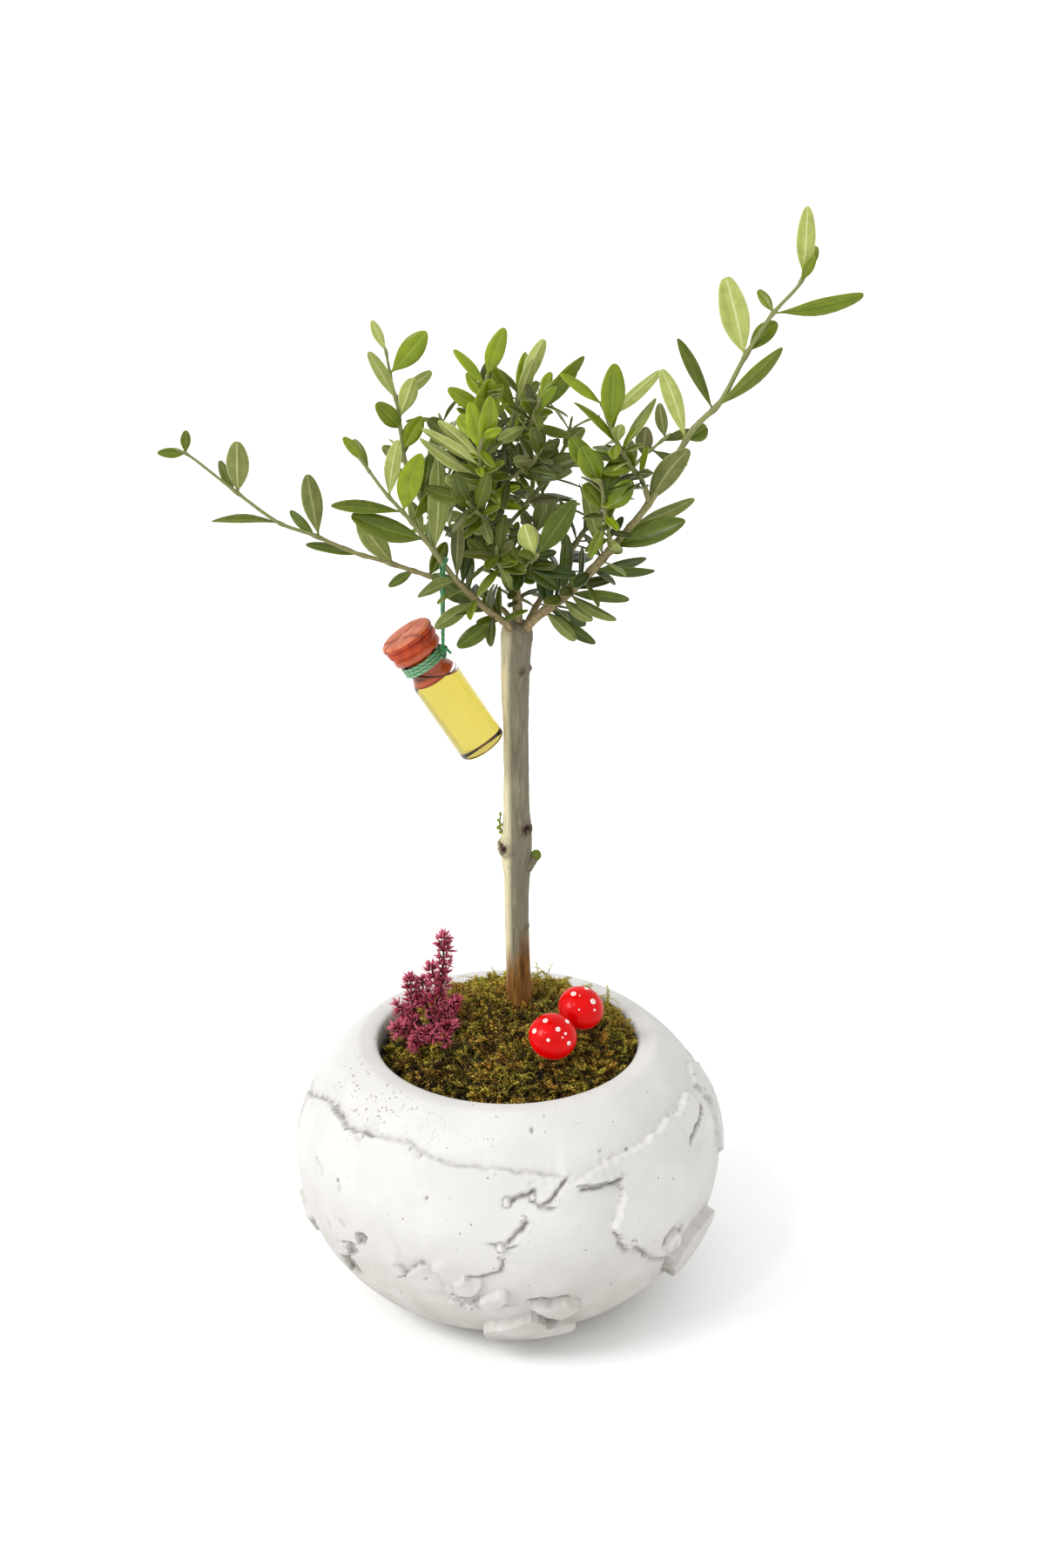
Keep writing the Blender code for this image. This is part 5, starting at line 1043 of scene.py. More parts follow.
class Look:
    """A Principled material with helpers for its pattern nodes."""

    def __init__(self, name, **sockets):
        self.material = bpy.data.materials.new(name)
        self.material.use_nodes = True
        self.tree = self.material.node_tree
        self.shader = self.tree.nodes["Principled BSDF"]
        for socket, value in sockets.items():
            self.shader.inputs[socket.replace("_", " ")].default_value = value
        self.coords = self.tree.nodes.new("ShaderNodeTexCoord").outputs["Object"]

    def node(self, kind, inputs, **settings):
        """A node with its inputs linked or set."""
        made = self.tree.nodes.new(kind)
        for name, value in settings.items():
            setattr(made, name, value)
        for key, value in inputs.items():
            if isinstance(value, bpy.types.NodeSocket):
                self.tree.links.new(value, made.inputs[key])
            elif value is not None:
                made.inputs[key].default_value = value
        return made

    def scaled(self, x, y, z):
        """The place, with its axes stretched for a pattern that runs one way."""
        return self.node("ShaderNodeMapping", {
            "Vector": self.coords, "Scale": (x, y, z)}).outputs[0]

    def noise(self, size, detail=2.0, roughness=0.5, vector=None):
        """Soft noise with features of a size in millimetres."""
        return self.node("ShaderNodeTexNoise", {
            "Vector": vector or self.coords, "Scale": 1000 / size, "Detail": detail,
            "Roughness": roughness}).outputs[0]

    def cells(self, size):
        """Distance to the nearest of scattered points, in cells of a size in millimetres."""
        return self.node("ShaderNodeTexVoronoi", {
            "Vector": self.coords, "Scale": 1000 / size}).outputs["Distance"]

    def mark(self, part):
        """One of the three values that every point of a mesh carries."""
        carried = self.node("ShaderNodeAttribute", {}, attribute_name="mark").outputs["Vector"]
        return self.node("ShaderNodeSeparateXYZ", {0: carried}).outputs[part]

    def spread(self, value, low, high, out_low=0.0, out_high=1.0):
        """A value mapped from one range to another, and held inside it."""
        return self.node("ShaderNodeMapRange", {0: value, 1: low, 2: high, 3: out_low,
                                                4: out_high}).outputs[0]

    def maths(self, operation, a, b=None):
        return self.node("ShaderNodeMath", {0: a, 1: b}, operation=operation).outputs[0]

    def times(self, a, b):
        """A product, also of a mask and its strength."""
        return self.maths("MULTIPLY", a, b)

    def mix(self, factor, a, b, mode="MIX"):
        """Two colours mixed. One of three numbers is as seen, and one of four as it is."""
        a, b = (srgb(*c) if isinstance(c, tuple) and len(c) == 3 else c for c in (a, b))
        return self.node("ShaderNodeMix", {0: factor, 6: a, 7: b}, data_type="RGBA",
                         blend_type=mode).outputs[2]

    def mottled(self, pattern, low, high, first, second):
        """Two colours, mixed as a pattern goes from low to high."""
        return self.mix(self.spread(pattern, low, high), first, second)

    def darker(self, colour, red, green, blue):
        """A colour with part of its light left."""
        return self.mix(1.0, colour, (red, green, blue, 1), "MULTIPLY")

    def holes(self, size, edge, foot, patch, low, high):
        """Pits in cells of a size, only where patches of noise are strong."""
        return self.times(self.spread(self.cells(size), edge, foot),
                          self.spread(self.noise(patch, 1), low, high))

    def colour(self, socket):
        self.tree.links.new(socket, self.shader.inputs["Base Color"])

    def bump(self, height, distance, strength=1.0):
        made = self.node("ShaderNodeBump", {"Height": height, "Distance": distance * MM,
                                            "Strength": strength})
        self.tree.links.new(made.outputs[0], self.shader.inputs["Normal"])


def plaster_look():
    """The marks are dirt and painted shade, and how full of specks the plaster is."""
    look = Look("plaster", Roughness=0.88, Specular_IOR_Level=0.25)
    tone = look.mottled(look.noise(28, 3), 0.3, 0.7, (210, 208, 204), (223, 221, 218))
    height = look.node("ShaderNodeSeparateXYZ", {0: look.coords}).outputs[2]
    # Painted shade: the plaster greys towards its foot
    low = look.times(look.spread(height, *SHADED_FOOT), look.spread(look.noise(16, 3), 0.1, 0.6))
    tone = look.mix(look.times(low, 0.85), tone, (180, 175, 167))
    hole = look.holes(5.5, 0.10, 0.05, 14, 0.52, 0.60)
    speck = look.holes(2.3, 0.16, 0.10, 9, 0.60, 0.68)
    grit = look.holes(1.7, 0.34, 0.22, 3.5, 0.5, 0.56)
    pits = look.maths("MAXIMUM", hole, look.times(speck, 0.8))
    pits = look.maths("MAXIMUM", pits, look.times(grit, look.mark(2)))
    dark = look.mix(look.times(pits, 0.75), tone, (118, 112, 104))
    # The second mark darkens the plaster with dirt and with painted shade
    look.colour(look.mix(look.mark(1), dark, (84, 79, 68)))
    grain = look.maths("ADD", look.times(look.noise(0.9, 3), 0.35), look.noise(7, 3))
    look.bump(look.maths("SUBTRACT", grain, pits), 0.35, 0.5)
    return look.material


def earth_look():
    look = Look("earth", Roughness=0.95)
    look.colour(look.mix(look.noise(3, 4), (40, 30, 22), (82, 62, 44)))
    look.bump(look.noise(1.5, 4), 0.6)
    return look.material


def moss_look():
    """Fronds: the marks are age, tone with painted light and shade, and the place along the frond.
    """
    look = Look("moss", Roughness=0.78, Specular_IOR_Level=0.3)
    green = look.mix(look.mark(1), (34, 28, 3), (236, 220, 66))
    brown = look.mix(look.mark(1), (42, 19, 2), (244, 172, 54))
    frond = look.mix(look.mark(0), green, brown)
    # The tips are painted paler as highlight
    tip = look.mix(look.times(look.mark(2), 0.5), frond, (240, 226, 110))
    look.colour(look.mix(look.spread(look.noise(2.2, 2), 0.35, 0.7),
                         look.darker(tip, 0.5, 0.5, 0.5), tip))
    return look.material


def moss_floor_look():
    look = Look("moss_floor", Roughness=0.9)
    # Painted near black as the shade between the fronds
    patch = look.mottled(look.noise(6, 3), 0.4, 0.62, (16, 10, 5), (36, 27, 9))
    look.colour(look.mix(look.spread(look.noise(1.2, 3), 0.45, 0.6), patch, (8, 5, 3)))
    look.bump(look.noise(1.1, 4), 0.9)
    return look.material


def bark_look():
    """The marks are darkness at the knots, brown stain and the side that faces left, painted pale
    partly as bark colour and partly as light.
    """
    look = Look("bark", Roughness=0.82, Specular_IOR_Level=0.25)
    streaks = look.noise(1.7, 5, 0.6, look.scaled(1, 1, 0.13))
    broad = look.noise(7, 3, 0.5, look.scaled(1, 1, 0.3))
    grey = look.mottled(streaks, 0.32, 0.68, (104, 97, 78), (146, 138, 115))
    olive = look.mix(look.spread(broad, 0.4, 0.65), grey, (117, 113, 94))
    # The left side is painted pale cream, partly its own bark and partly painted light
    pale_and_painted_lit = look.mix(look.times(look.mark(2), 0.85), olive, (230, 218, 178))
    cracks = look.noise(0.9, 5, 0.65, look.scaled(1, 1, 0.035))
    fine = look.mix(look.spread(cracks, 0.46, 0.36, 0.0, 0.4), pale_and_painted_lit, (78, 68, 50))
    stain = look.mottled(streaks, 0.35, 0.65, (92, 56, 18), (152, 104, 42))
    stained = look.mix(look.mark(1), fine, stain)
    look.colour(look.mix(look.mark(0), stained, (52, 26, 18)))
    ridges = look.maths("ADD", streaks, look.times(look.noise(0.7, 2), 0.3))
    look.bump(ridges, 0.45, 0.8)
    return look.material


def twig_look():
    """The marks are age, greyness and a dark tone at the leaf scars."""
    look = Look("twig", Roughness=0.65, Specular_IOR_Level=0.3)
    streaks = look.noise(0.9, 4, 0.6)
    young = look.mix(streaks, (106, 112, 62), (154, 158, 100))
    old = look.mottled(streaks, 0.35, 0.65, (110, 88, 58), (180, 158, 116))
    wood = look.mix(look.mark(0), young, old)
    look.colour(look.mix(look.mark(2), wood, (88, 66, 44)))
    look.bump(streaks, 0.2, 0.6)
    return look.material


def leaf_look(name, roughness, specular, rib_strength, old, young, grey, rib):
    """The marks are youth, greyness and the place across the blade, by which one half is painted
    darker as shade.
    """
    look = Look(name, Roughness=roughness, Specular_IOR_Level=specular)
    blend = look.mix(look.mark(0), old, young)
    dusty = look.mix(look.mark(1), blend, grey)
    patch = look.mix(look.spread(look.noise(4, 3), 0.3, 0.7),
                     look.darker(dusty, 0.74, 0.76, 0.70), dusty)
    place = look.node("ShaderNodeCombineXYZ", {0: look.mark(2), 1: look.mark(0)}).outputs[0]
    streaks = look.spread(look.noise(180, 3, 0.6, place), 0.36, 0.64, 0.0, 0.45)
    streaked = look.mix(streaks, patch, look.darker(patch, 0.62, 0.66, 0.55))
    # One half of the blade is painted darker, as shade
    side = look.spread(look.mark(2), -0.08, 0.08, 0.0, 0.32)
    half_in_painted_shade = look.mix(side, streaked, look.darker(streaked, 0.60, 0.64, 0.52))
    across = look.maths("ABSOLUTE", look.mark(2))
    strength = look.spread(look.mark(0), 0.1, 0.9, 0.16, rib_strength)
    midrib = look.times(look.spread(across, 0.12, 0.02), strength)
    veined = look.mix(midrib, half_in_painted_shade, rib)
    edge = look.times(look.spread(across, 0.84, 1.0), strength)
    look.colour(look.mix(edge, veined, rib))
    look.bump(look.noise(0.6, 2), 0.10, 0.35)
    return look.material


def flower_look():
    """The marks are branch, tone and the place along the petal, by which each petal is painted
    dark at its foot as shade.
    """
    look = Look("dried_flower", Roughness=0.8, Specular_IOR_Level=0.2)
    petal = look.mix(look.mark(1), (160, 14, 44), (255, 132, 160))
    # Each petal is painted dark at its foot as shade
    deep = look.mix(look.mark(2), (40, 2, 10), petal)
    look.colour(look.mix(look.mark(0), deep, (54, 16, 22)))
    return look.material


def cap_look():
    """The second mark is the edge of the cap."""
    look = Look("toadstool_red", Roughness=0.3, Specular_IOR_Level=0.06, Coat_Weight=0.16,
                Coat_Roughness=0.04)
    red = look.mottled(look.noise(8, 2), 0.3, 0.7, (206, 0, 1), (232, 2, 2))
    look.colour(look.mix(look.mark(1), red, (240, 150, 118)))
    look.bump(look.noise(5, 2), 0.12, 0.3)
    return look.material


def dot_look():
    """The first mark is the middle of the dot."""
    look = Look("toadstool_dot", Roughness=0.35)
    white = look.mottled(look.noise(1.2, 2), 0.4, 0.6, (252, 246, 240), (236, 226, 220))
    look.colour(look.mix(look.times(look.mark(0), 0.5), white, (206, 120, 112)))
    return look.material


def stalk_look():
    look = Look("toadstool_white", Roughness=0.6)
    look.colour(look.mix(look.noise(3, 3), (232, 224, 204), (206, 192, 160)))
    look.bump(look.noise(1.2, 2), 0.15, 0.5)
    return look.material


def clear_look(name, size, first, second, **sockets):
    """A clear stuff whose tint goes between two colours."""
    look = Look(name, Transmission_Weight=1.0, **sockets)
    look.colour(look.mix(look.noise(size, 1), (*first, 1), (*second, 1)))
    return look.material


def rubber_look():
    """The marks are the pale top face, the depth of the creases, and the plug in the neck."""
    look = Look("stopper_rubber", Roughness=0.5, Specular_IOR_Level=0.3)
    side = look.mottled(look.noise(4, 3), 0.35, 0.65, (150, 40, 8), (196, 72, 22))
    neck = look.mix(look.mark(2), side, (226, 92, 16))
    top = look.mottled(look.noise(6, 4), 0.35, 0.65, (172, 80, 46), (212, 128, 90))
    whole = look.mix(look.times(look.mark(0), 0.9), neck, top)
    look.colour(look.mix(look.mark(1), whole, (104, 36, 20)))
    look.bump(look.noise(0.8, 3), 0.12, 0.5)
    return look.material


def cord_look():
    """The marks are painted shade in the groove between the strands, and a painted highlight on
    the stretch of the winding on the left.
    """
    look = Look("cord", Roughness=0.55, Sheen_Weight=0.3)
    green = look.mix(look.noise(1.2, 2), (0, 92, 34), (22, 150, 62))
    painted_lit_side = look.mix(look.mark(1), green, (134, 196, 146))
    # Painted shade in the grooves, over a painted highlight on the left of the winding
    look.colour(look.mix(look.mark(0), painted_lit_side, (2, 48, 20)))
    look.bump(look.noise(0.35, 2), 0.1, 0.6)
    return look.material


# Mesh building


class Piece:
    """Collects the points and faces of one piece, a material number for each face and three
    marks for each point."""

    def __init__(self):
        self.verts = []
        self.faces = []
        self.kinds = []
        self.marks = []

    def add(self, verts, faces, kind=0, marks=(0.0, 0.0, 0.0)):
        """Kind and marks are one value for all, or a list."""
        first = len(self.verts)
        self.verts.extend(verts)
        self.faces.extend(tuple(first + i for i in face) for face in faces)
        self.kinds.extend(kind if isinstance(kind, list) else [kind] * len(faces))
        self.marks.extend(marks if isinstance(marks, list) else [marks] * len(verts))

    def done(self, name, materials, slot, nodes, sharp=None):
        """The piece as an object that rides on the part and stands for its nodes."""
        mesh = bpy.data.meshes.new(name)
        mesh.from_pydata(self.verts, [], self.faces)
        mesh.transform(Matrix.Scale(MM, 4))
        for item in materials:
            mesh.materials.append(item)
        mesh.polygons.foreach_set("material_index", self.kinds)
        carried = mesh.attributes.new("mark", "FLOAT_VECTOR", "POINT")
        carried.data.foreach_set("vector", np.array(self.marks, np.float32).ravel())
        mesh.shade_smooth()
        if sharp:
            mesh.set_sharp_from_angle(angle=math.radians(sharp))
        mesh.update()
        item = bpy.data.objects.new(name, mesh)
        bpy.context.scene.collection.objects.link(item)
        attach(item, "root")
        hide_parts(*nodes)


def skin(points, radii, sides, shape=None):
    """A closed tube along points. shape(row, turn, point) adds to the radius there."""
    verts = []
    side = (points[1] - points[0]).orthogonal().normalized()
    last = len(points) - 1
    for i, (place, radius) in enumerate(zip(points, radii)):
        along = (points[min(i + 1, last)] - points[max(i - 1, 0)]).normalized()
        side = (side - along * along.dot(side)).normalized()
        other = along.cross(side)
        for turn in angles(sides):
            out = math.cos(turn) * side + math.sin(turn) * other
            extra = shape(i, turn, place + out * radius) if shape else 0.0
            verts.append(place + out * (radius + extra))
    verts += [points[0].copy(), points[-1].copy()]
    return verts, band_faces(len(points), sides) + end_faces(len(points), sides)


def lathe(profile, sides):
    """A surface turned about +Z from (radius, height) points, given from the inside bottom
    outwards."""
    verts = []
    faces = []
    rows = []
    for radius, height in profile:
        if radius == 0:
            rows.append([len(verts)] * sides)
            verts.append(Vector((0, 0, height)))
            continue
        rows.append(list(range(len(verts), len(verts) + sides)))
        for turn in angles(sides):
            verts.append(Vector((radius * math.cos(turn), radius * math.sin(turn), height)))
    for low, high in zip(rows, rows[1:]):
        for k in range(sides):
            n = (k + 1) % sides
            face = [low[k], low[n], high[n], high[k]]
            faces.append(tuple(dict.fromkeys(face)))
    return verts, [f for f in faces if len(f) > 2]


def rounded(profile, radius, steps):
    """A profile with its corners rounded."""
    out = [profile[0]]
    for a, b, c in zip(profile, profile[1:], profile[2:]):
        a, b, c = Vector(a), Vector(b), Vector(c)
        start = b + (a - b).normalized() * min(radius, (a - b).length * 0.45)
        end = b + (c - b).normalized() * min(radius, (c - b).length * 0.45)
        for k in range(steps + 1):
            t = k / steps
            p = start.lerp(b, t).lerp(b.lerp(end, t), t)
            out.append((p.x, p.y))
    out.append(profile[-1])
    return out


def egg(profile, sides, centre, size):
    """A turned shape of radius 1, stretched to half sizes about a centre."""
    verts, faces = lathe(profile, sides)
    centre = Vector(centre)
    return [centre + Vector([v * s for v, s in zip(vert, size)]) for vert in verts], faces


# Bowl


def inside_many(outline, x, y):
    """Which of many places lie in a flat outline."""
    odd = np.zeros(x.shape, bool)
    for (x1, y1), (x2, y2) in zip(outline, outline[1:] + outline[:1]):
        if y1 != y2:
            odd ^= ((y1 > y) != (y2 > y)) & (x < x1 + (y - y1) * (x2 - x1) / (y2 - y1))
    return odd


def plates_at(degrees, heights):
    """The level of the topmost plate and its painted shade and dirt at many places."""
    level = np.zeros(degrees.shape)
    dirt_and_shade = np.zeros(degrees.shape)
    for plate_level, plate_shade_and_dirt, outline in PLATES:
        over_the_back = outline[0][0] > BACK_PLATE
        turn = np.where((degrees < 0) & over_the_back, degrees + 360, degrees)
        inside = inside_many(outline, turn, heights)
        level[inside] = plate_level
        dirt_and_shade[inside] = plate_shade_and_dirt
    return level, dirt_and_shade


def plate_levels(degrees, heights):
    """The same, softened over half a millimetre."""
    parts = [plates_at(degrees + dx, heights + dy)
             for dx in (-PLATE_SOFT[0], 0.0, PLATE_SOFT[0])
             for dy in (-PLATE_SOFT[1], 0.0, PLATE_SOFT[1])]
    return sum(p[0] for p in parts) / len(parts), sum(p[1] for p in parts) / len(parts)


def line_distance(line, x, y):
    """Distance in millimetres from many places to a line of (degrees, height), with the way
    along the line, its whole length, and which places are on the right of it."""
    best = np.full(x.shape, FAR)
    way = np.zeros(x.shape)
    right = np.zeros(x.shape, bool)
    done = 0.0
    for (x1, y1), (x2, y2) in zip(line, line[1:]):
        dx, dy = (x2 - x1) * MM_PER_DEGREE, y2 - y1
        length = math.hypot(dx, dy)
        px, py = (x - x1) * MM_PER_DEGREE, y - y1
        t = np.clip((px * dx + py * dy) / length ** 2, 0, 1)
        away = np.hypot(px - t * dx, py - t * dy)
        nearer = away < best - 1e-6
        best = np.where(nearer, away, best)
        way = np.where(nearer, done + t * length, way)
        right = np.where(nearer, dx * py - dy * px < 0, right)
        done += length
    return best, way, done, right


def spot_distance(x, y, turn, height, radius):
    """How far many places are from a spot on the bowl, in radii of that spot."""
    return np.hypot((x - turn) * MM_PER_DEGREE, y - height) / radius


def bowl_rows():
    """Radii and heights down the outside, closer together where it is broken."""
    radii, heights = np.array(smooth_profile(POT_OUTSIDE, 12)).T
    lengths = np.concatenate([[0], np.cumsum(np.hypot(np.diff(radii), np.diff(heights)))])
    top, foot = np.interp([-RELIEF_TOP - RELIEF_FADE, -RELIEF_FOOT], -heights, lengths)
    places = np.concatenate([np.linspace(0, top, BOWL_ROWS[0])[:-1],
                             np.linspace(top, foot, BOWL_ROWS[1])[:-1],
                             np.linspace(foot, lengths[-1], BOWL_ROWS[2])])
    return np.interp(places, lengths, radii), np.interp(places, lengths, heights)


def clay_noise(turns, levels):
    """Noise on the bowl: shifts across and upward, a broad swell, and roughness."""
    across, upward, swell, rough = (np.empty(turns.shape) for _ in range(4))
    for index in np.ndindex(turns.shape):
        place = Vector((turns[index] * MM_PER_DEGREE, levels[index], 3.0))
        across[index] = noisy(place, (0.8, 5.0), (0.25, 2.6))
        upward[index] = (noise.noise(place / 5.0 + Vector((40, 0, 0)))
                         + 0.45 * noise.noise(place / 2.6 + Vector((0, 40, 0))))
        swell[index] = noisy(place, (0.5, 22.0))
        rough[index] = noisy(place, (0.9, 3.4), (0.6, 1.9))
    return across, upward, swell, rough


def bowl_relief(turns, levels):
    """How far the outside stands out at every place, and how dark it is there with dirt and
    painted shade.
    """
    across, upward, swell, rough = clay_noise(turns, levels)
    ragged = np.clip(0.65 + 1.1 * rough, 0, 1)
    x, y = turns + across, levels + upward
    # Sunk plates carry painted shade with some dirt
    relief, dirt_and_shade = plate_levels(x, y)
    slope_down, slope_across = np.gradient(relief)
    steps = np.clip(np.abs(slope_down) + np.abs(slope_across), 0, 1)
    # The foot of every step is painted dark as shade
    shade_below_step = np.clip(np.roll(relief, 1, 0) - relief, 0, 1)
    dirt_and_shade = np.maximum(dirt_and_shade * (0.75 + 0.5 * rough), 0.45 * shade_below_step)
    # The skin drops to the right of a ledge, with a small lip on its left
    for drop, reach, soil, line in LEDGES:
        near, way, length, side = line_distance(line, x, y)
        right = np.clip(0.5 + np.where(side, near, -near) / EDGE_SOFT, 0, 1)
        taper = np.clip(np.minimum(way, length - way) / LEDGE_TAPER, 0, 1)
        relief -= drop * taper * np.exp(-near / reach) * right
        relief += LIP_HEIGHT * taper * np.exp(-near / LIP_REACH) * (1 - right)
        steps = np.maximum(steps, taper * bell_field(near, 1.2))
        # By the edge, the dropped side is painted dark as shade
        dirt_and_shade = np.maximum(dirt_and_shade, soil * taper * ragged * bell_field(near, 1.3) * right)
    # Every edge is crumbled a little to both its sides
    edge = steps
    for _ in range(EDGE_BLUR):
        edge = (edge + np.roll(edge, 1, 1) + np.roll(edge, -1, 1)
                + np.roll(edge, 1, 0) + np.roll(edge, -1, 0)) / 5
    relief += EDGE_CRUMBLE * np.clip(edge, 0, 1) * rough + swell
    for turn, height, radius, depth in CRUMBS:
        patch = bell_field(spot_distance(turns, levels, turn, height, radius), 1)
        relief += depth * patch * rough
        # The dips among the crumbs are painted dark as shade
        dirt_and_shade = np.maximum(dirt_and_shade, 0.6 * patch * np.clip(-rough - 0.35, 0, 1))
    # A crack is of ragged width, tapers at its ends and has a raised lip on one side
    for half, depth, soil, line in CRACKS:
        near, way, length, side = line_distance(line, x, y)
        width = half * (0.75 + 0.7 * ragged)
        ends = np.clip(np.minimum(way, length - way) / CRACK_TAPER + 0.35, 0, 1)
        groove = bell_field(near, width) * ends
        relief -= depth * groove
        relief += 0.3 * depth * bell_field(near - 1.9 * half, half) * np.where(side, 0, 1) * ragged
        # The groove is painted dark as shade
        dirt_and_shade = np.maximum(dirt_and_shade, soil * (0.45 + 0.4 * ragged) * groove)
    # A lump keeps the plaster's colour, and a ring round its foot is painted dark as shade
    for turn, height, radius, level in LUMPS:
        away = spot_distance(x, y, turn, height, radius)
        relief += level * np.sqrt(np.clip(1 - away ** 2, 0, 1))
        ring = 0.6 * bell_field(away - 1.1, 0.2)
        dirt_and_shade = np.where(away < 0.85, 0, np.maximum(dirt_and_shade, ring))
    for turn, height, radius, soil in HOLES:
        hole = np.exp(-spot_distance(turns, levels, turn, height, radius) ** 4)
        relief -= 0.9 * radius * hole
        # The hole is painted dark as shade
        dirt_and_shade = np.maximum(dirt_and_shade, soil * hole)
    fade = (np.clip((levels - RELIEF_FOOT) / RELIEF_FADE, 0, 1)
            * np.clip((RELIEF_TOP + RELIEF_FADE - levels) / RELIEF_FADE, 0, 1))
    return relief * fade, np.clip(dirt_and_shade, 0, 1)


def inner_dirt_and_shade(rows, degrees):
    """Smudges of soil on the inner wall, with painted shade low down and on the left."""
    dirty_and_shaded = np.zeros(rows.shape[:2])
    for row, (_, height) in enumerate(POT_INSIDE[1:]):
        if height >= CLEAN_LIP:
            continue
        for k, degree in enumerate(degrees):
            smudge = noisy(Vector(rows[row, k]), (1.0, 4.0), (0.5, 1.5))
            shade = 0.4 * bell(degree + 80, 40)
            # Painted shade on the left and low down, with smudges of soil
            soil = 0.1 + shade + 0.5 * smudge + (115 - height) * 0.05
            dirty_and_shaded[row, k] = held(soil, 0.0, 0.95)
    return dirty_and_shaded


def bowl_points(degrees, radii, heights):
    """Places on the bowl, with 0 degrees at the front."""
    angle = np.radians(degrees)
    return np.stack([radii * np.sin(angle), -radii * np.cos(angle), heights], axis=-1)


def make_pot(plaster):
    """One closed surface, from the inner floor up over the rim and down to the foot."""
    front = np.linspace(-BOWL_FRONT, BOWL_FRONT, BOWL_COLUMNS[0])[:-1]
    back = np.linspace(BOWL_FRONT, 360 - BOWL_FRONT, BOWL_COLUMNS[1])[:-1]
    degrees = np.concatenate([front, back])
    degrees[degrees > 180] -= 360
    radii, heights = bowl_rows()
    turns, levels = np.meshgrid(degrees, heights)
    relief, dirt_and_shade = bowl_relief(turns, levels)
    down = np.gradient(heights)
    out = np.gradient(radii)
    length = np.hypot(down, out)
    reach = radii[:, None] + relief * (-down / length)[:, None]
    rise = np.maximum(levels + relief * (out / length)[:, None], 0.0)
    outer = bowl_points(turns, reach, rise)
    inner = np.stack([bowl_points(degrees, radius, np.full(degrees.shape, height))
                      for radius, height in POT_INSIDE[1:]])
    rows = np.concatenate([inner, outer])
    count = len(degrees)
    verts = rows.reshape(-1, 3).tolist() + [(0, 0, POT_INSIDE[0][1]), (0, 0, 0)]
    marks = np.zeros((len(verts), 3))
    inner_count = len(inner) * count
    marks[:inner_count, 1] = inner_dirt_and_shade(inner, degrees).ravel()
    marks[inner_count:-2, 1] = dirt_and_shade.ravel()
    middle, half, foot, fade = SPECKS
    specks = bell_field(turns - middle, half) * np.clip((levels - foot) / fade, 0, 1)
    marks[inner_count:-2, 2] = specks.ravel()
    faces = band_faces(len(rows), count) + end_faces(len(rows), count)
    piece = Piece()
    piece.add(verts, [tuple(reversed(f)) for f in faces], 0, marks.tolist())
    piece.done("plaster_bowl", [plaster], "plaster", ["pot"], sharp=BROKEN_EDGE)


# Moss


def moss_height(x, y):
    """The even height of the moss, highest round the trunk and higher at the back."""
    across = y - TRUNK[0][1]
    stretched = across * MOSS_BACK if across > 0 else across
    reach = math.hypot(x - TRUNK[0][0], stretched) / MOSS_REACH
    return MOSS_PEAK - MOSS_FALL * reach ** 1.5


def moss_surface(x, y):
    """Cushions and tufts on the moss."""
    back = held((y - MOSS_MIDDLE) / 30)
    turn = math.degrees(math.atan2(y, x)) % 360
    wall = bell(MOSS_RADIUS - math.hypot(x, y), MOSS_WALL_REACH)
    dip = sum(drop * bell(turn - middle, half) for middle, half, drop in MOSS_WALL_DROPS)
    bumps = noisy(Vector((x, y, 7.0)), (2.1, 9.0), (2.3, MOSS_CUSHION), (0.8, 1.8))
    return moss_height(x, y) + bumps - MOSS_BACK_DROP * back - dip * wall


def make_moss_floor(look):
    """The ground between the fronds, painted dark as shade, and the sheet of moss down to the
    earth.
    """
    rings, sides = MOSS_FLOOR_RINGS, MOSS_FLOOR_SIDES
    verts = [Vector((0, 0, moss_surface(0, 0) - MOSS_FLOOR_DROP))]
    for ring in range(1, rings + 1):
        radius = MOSS_RADIUS * ring / rings
        for turn in angles(sides):
            x, y = radius * math.cos(turn), radius * math.sin(turn)
            verts.append(Vector((x, y, moss_surface(x, y) - MOSS_FLOOR_DROP)))
    # The list grows meanwhile, so these low points run round faster than the rim above them.
    # The wall between the two is hidden under the moss.
    for k in range(sides):
        rim = verts[-sides + k]
        verts.append(Vector((rim.x, rim.y, SOIL_TOP + GAP)))
    verts.append(Vector((0, 0, SOIL_TOP + GAP)))
    faces = [(0, 1 + k, 1 + (k + 1) % sides) for k in range(sides)]
    faces += [(1 + a, 1 + d, 1 + c, 1 + b) for a, b, c, d in band_faces(rings + 1, sides)]
    low = 1 + rings * sides
    faces += [(low + (k + 1) % sides, low + k, len(verts) - 1) for k in range(sides)]
    floor = Piece()
    floor.add(verts, faces)
    floor.done("moss_floor", [look], "moss", ["moss"])


def make_moss(frond_look, floor_look):
    """The floor and two pieces of fronds, which stand in patches."""
    make_moss_floor(floor_look)
    draw = random.Random(5)
    for part in ("moss_fronds_a", "moss_fronds_b"):
        fronds = Piece()
        while len(fronds.faces) < FROND_FACES:
            radius = MOSS_RADIUS * FROND_SPREAD * math.sqrt(draw.random())
            turn = draw.uniform(0, 2 * math.pi)
            x, y = radius * math.cos(turn), radius * math.sin(turn)
            if noise.noise(Vector((x, y, 3)) / 3.4) > draw.uniform(-0.35, 0.25):
                add_frond(fronds, x, y, draw)
        if part == "moss_fronds_b":
            for x, y, reach, count in TUFTS:
                for _ in range(count):
                    add_frond(fronds, x + draw.gauss(0, 0.4) * reach,
                              y + draw.gauss(0, 0.4) * reach, draw, 1.0)
        fronds.done(part, [frond_look], "moss", ["moss"])


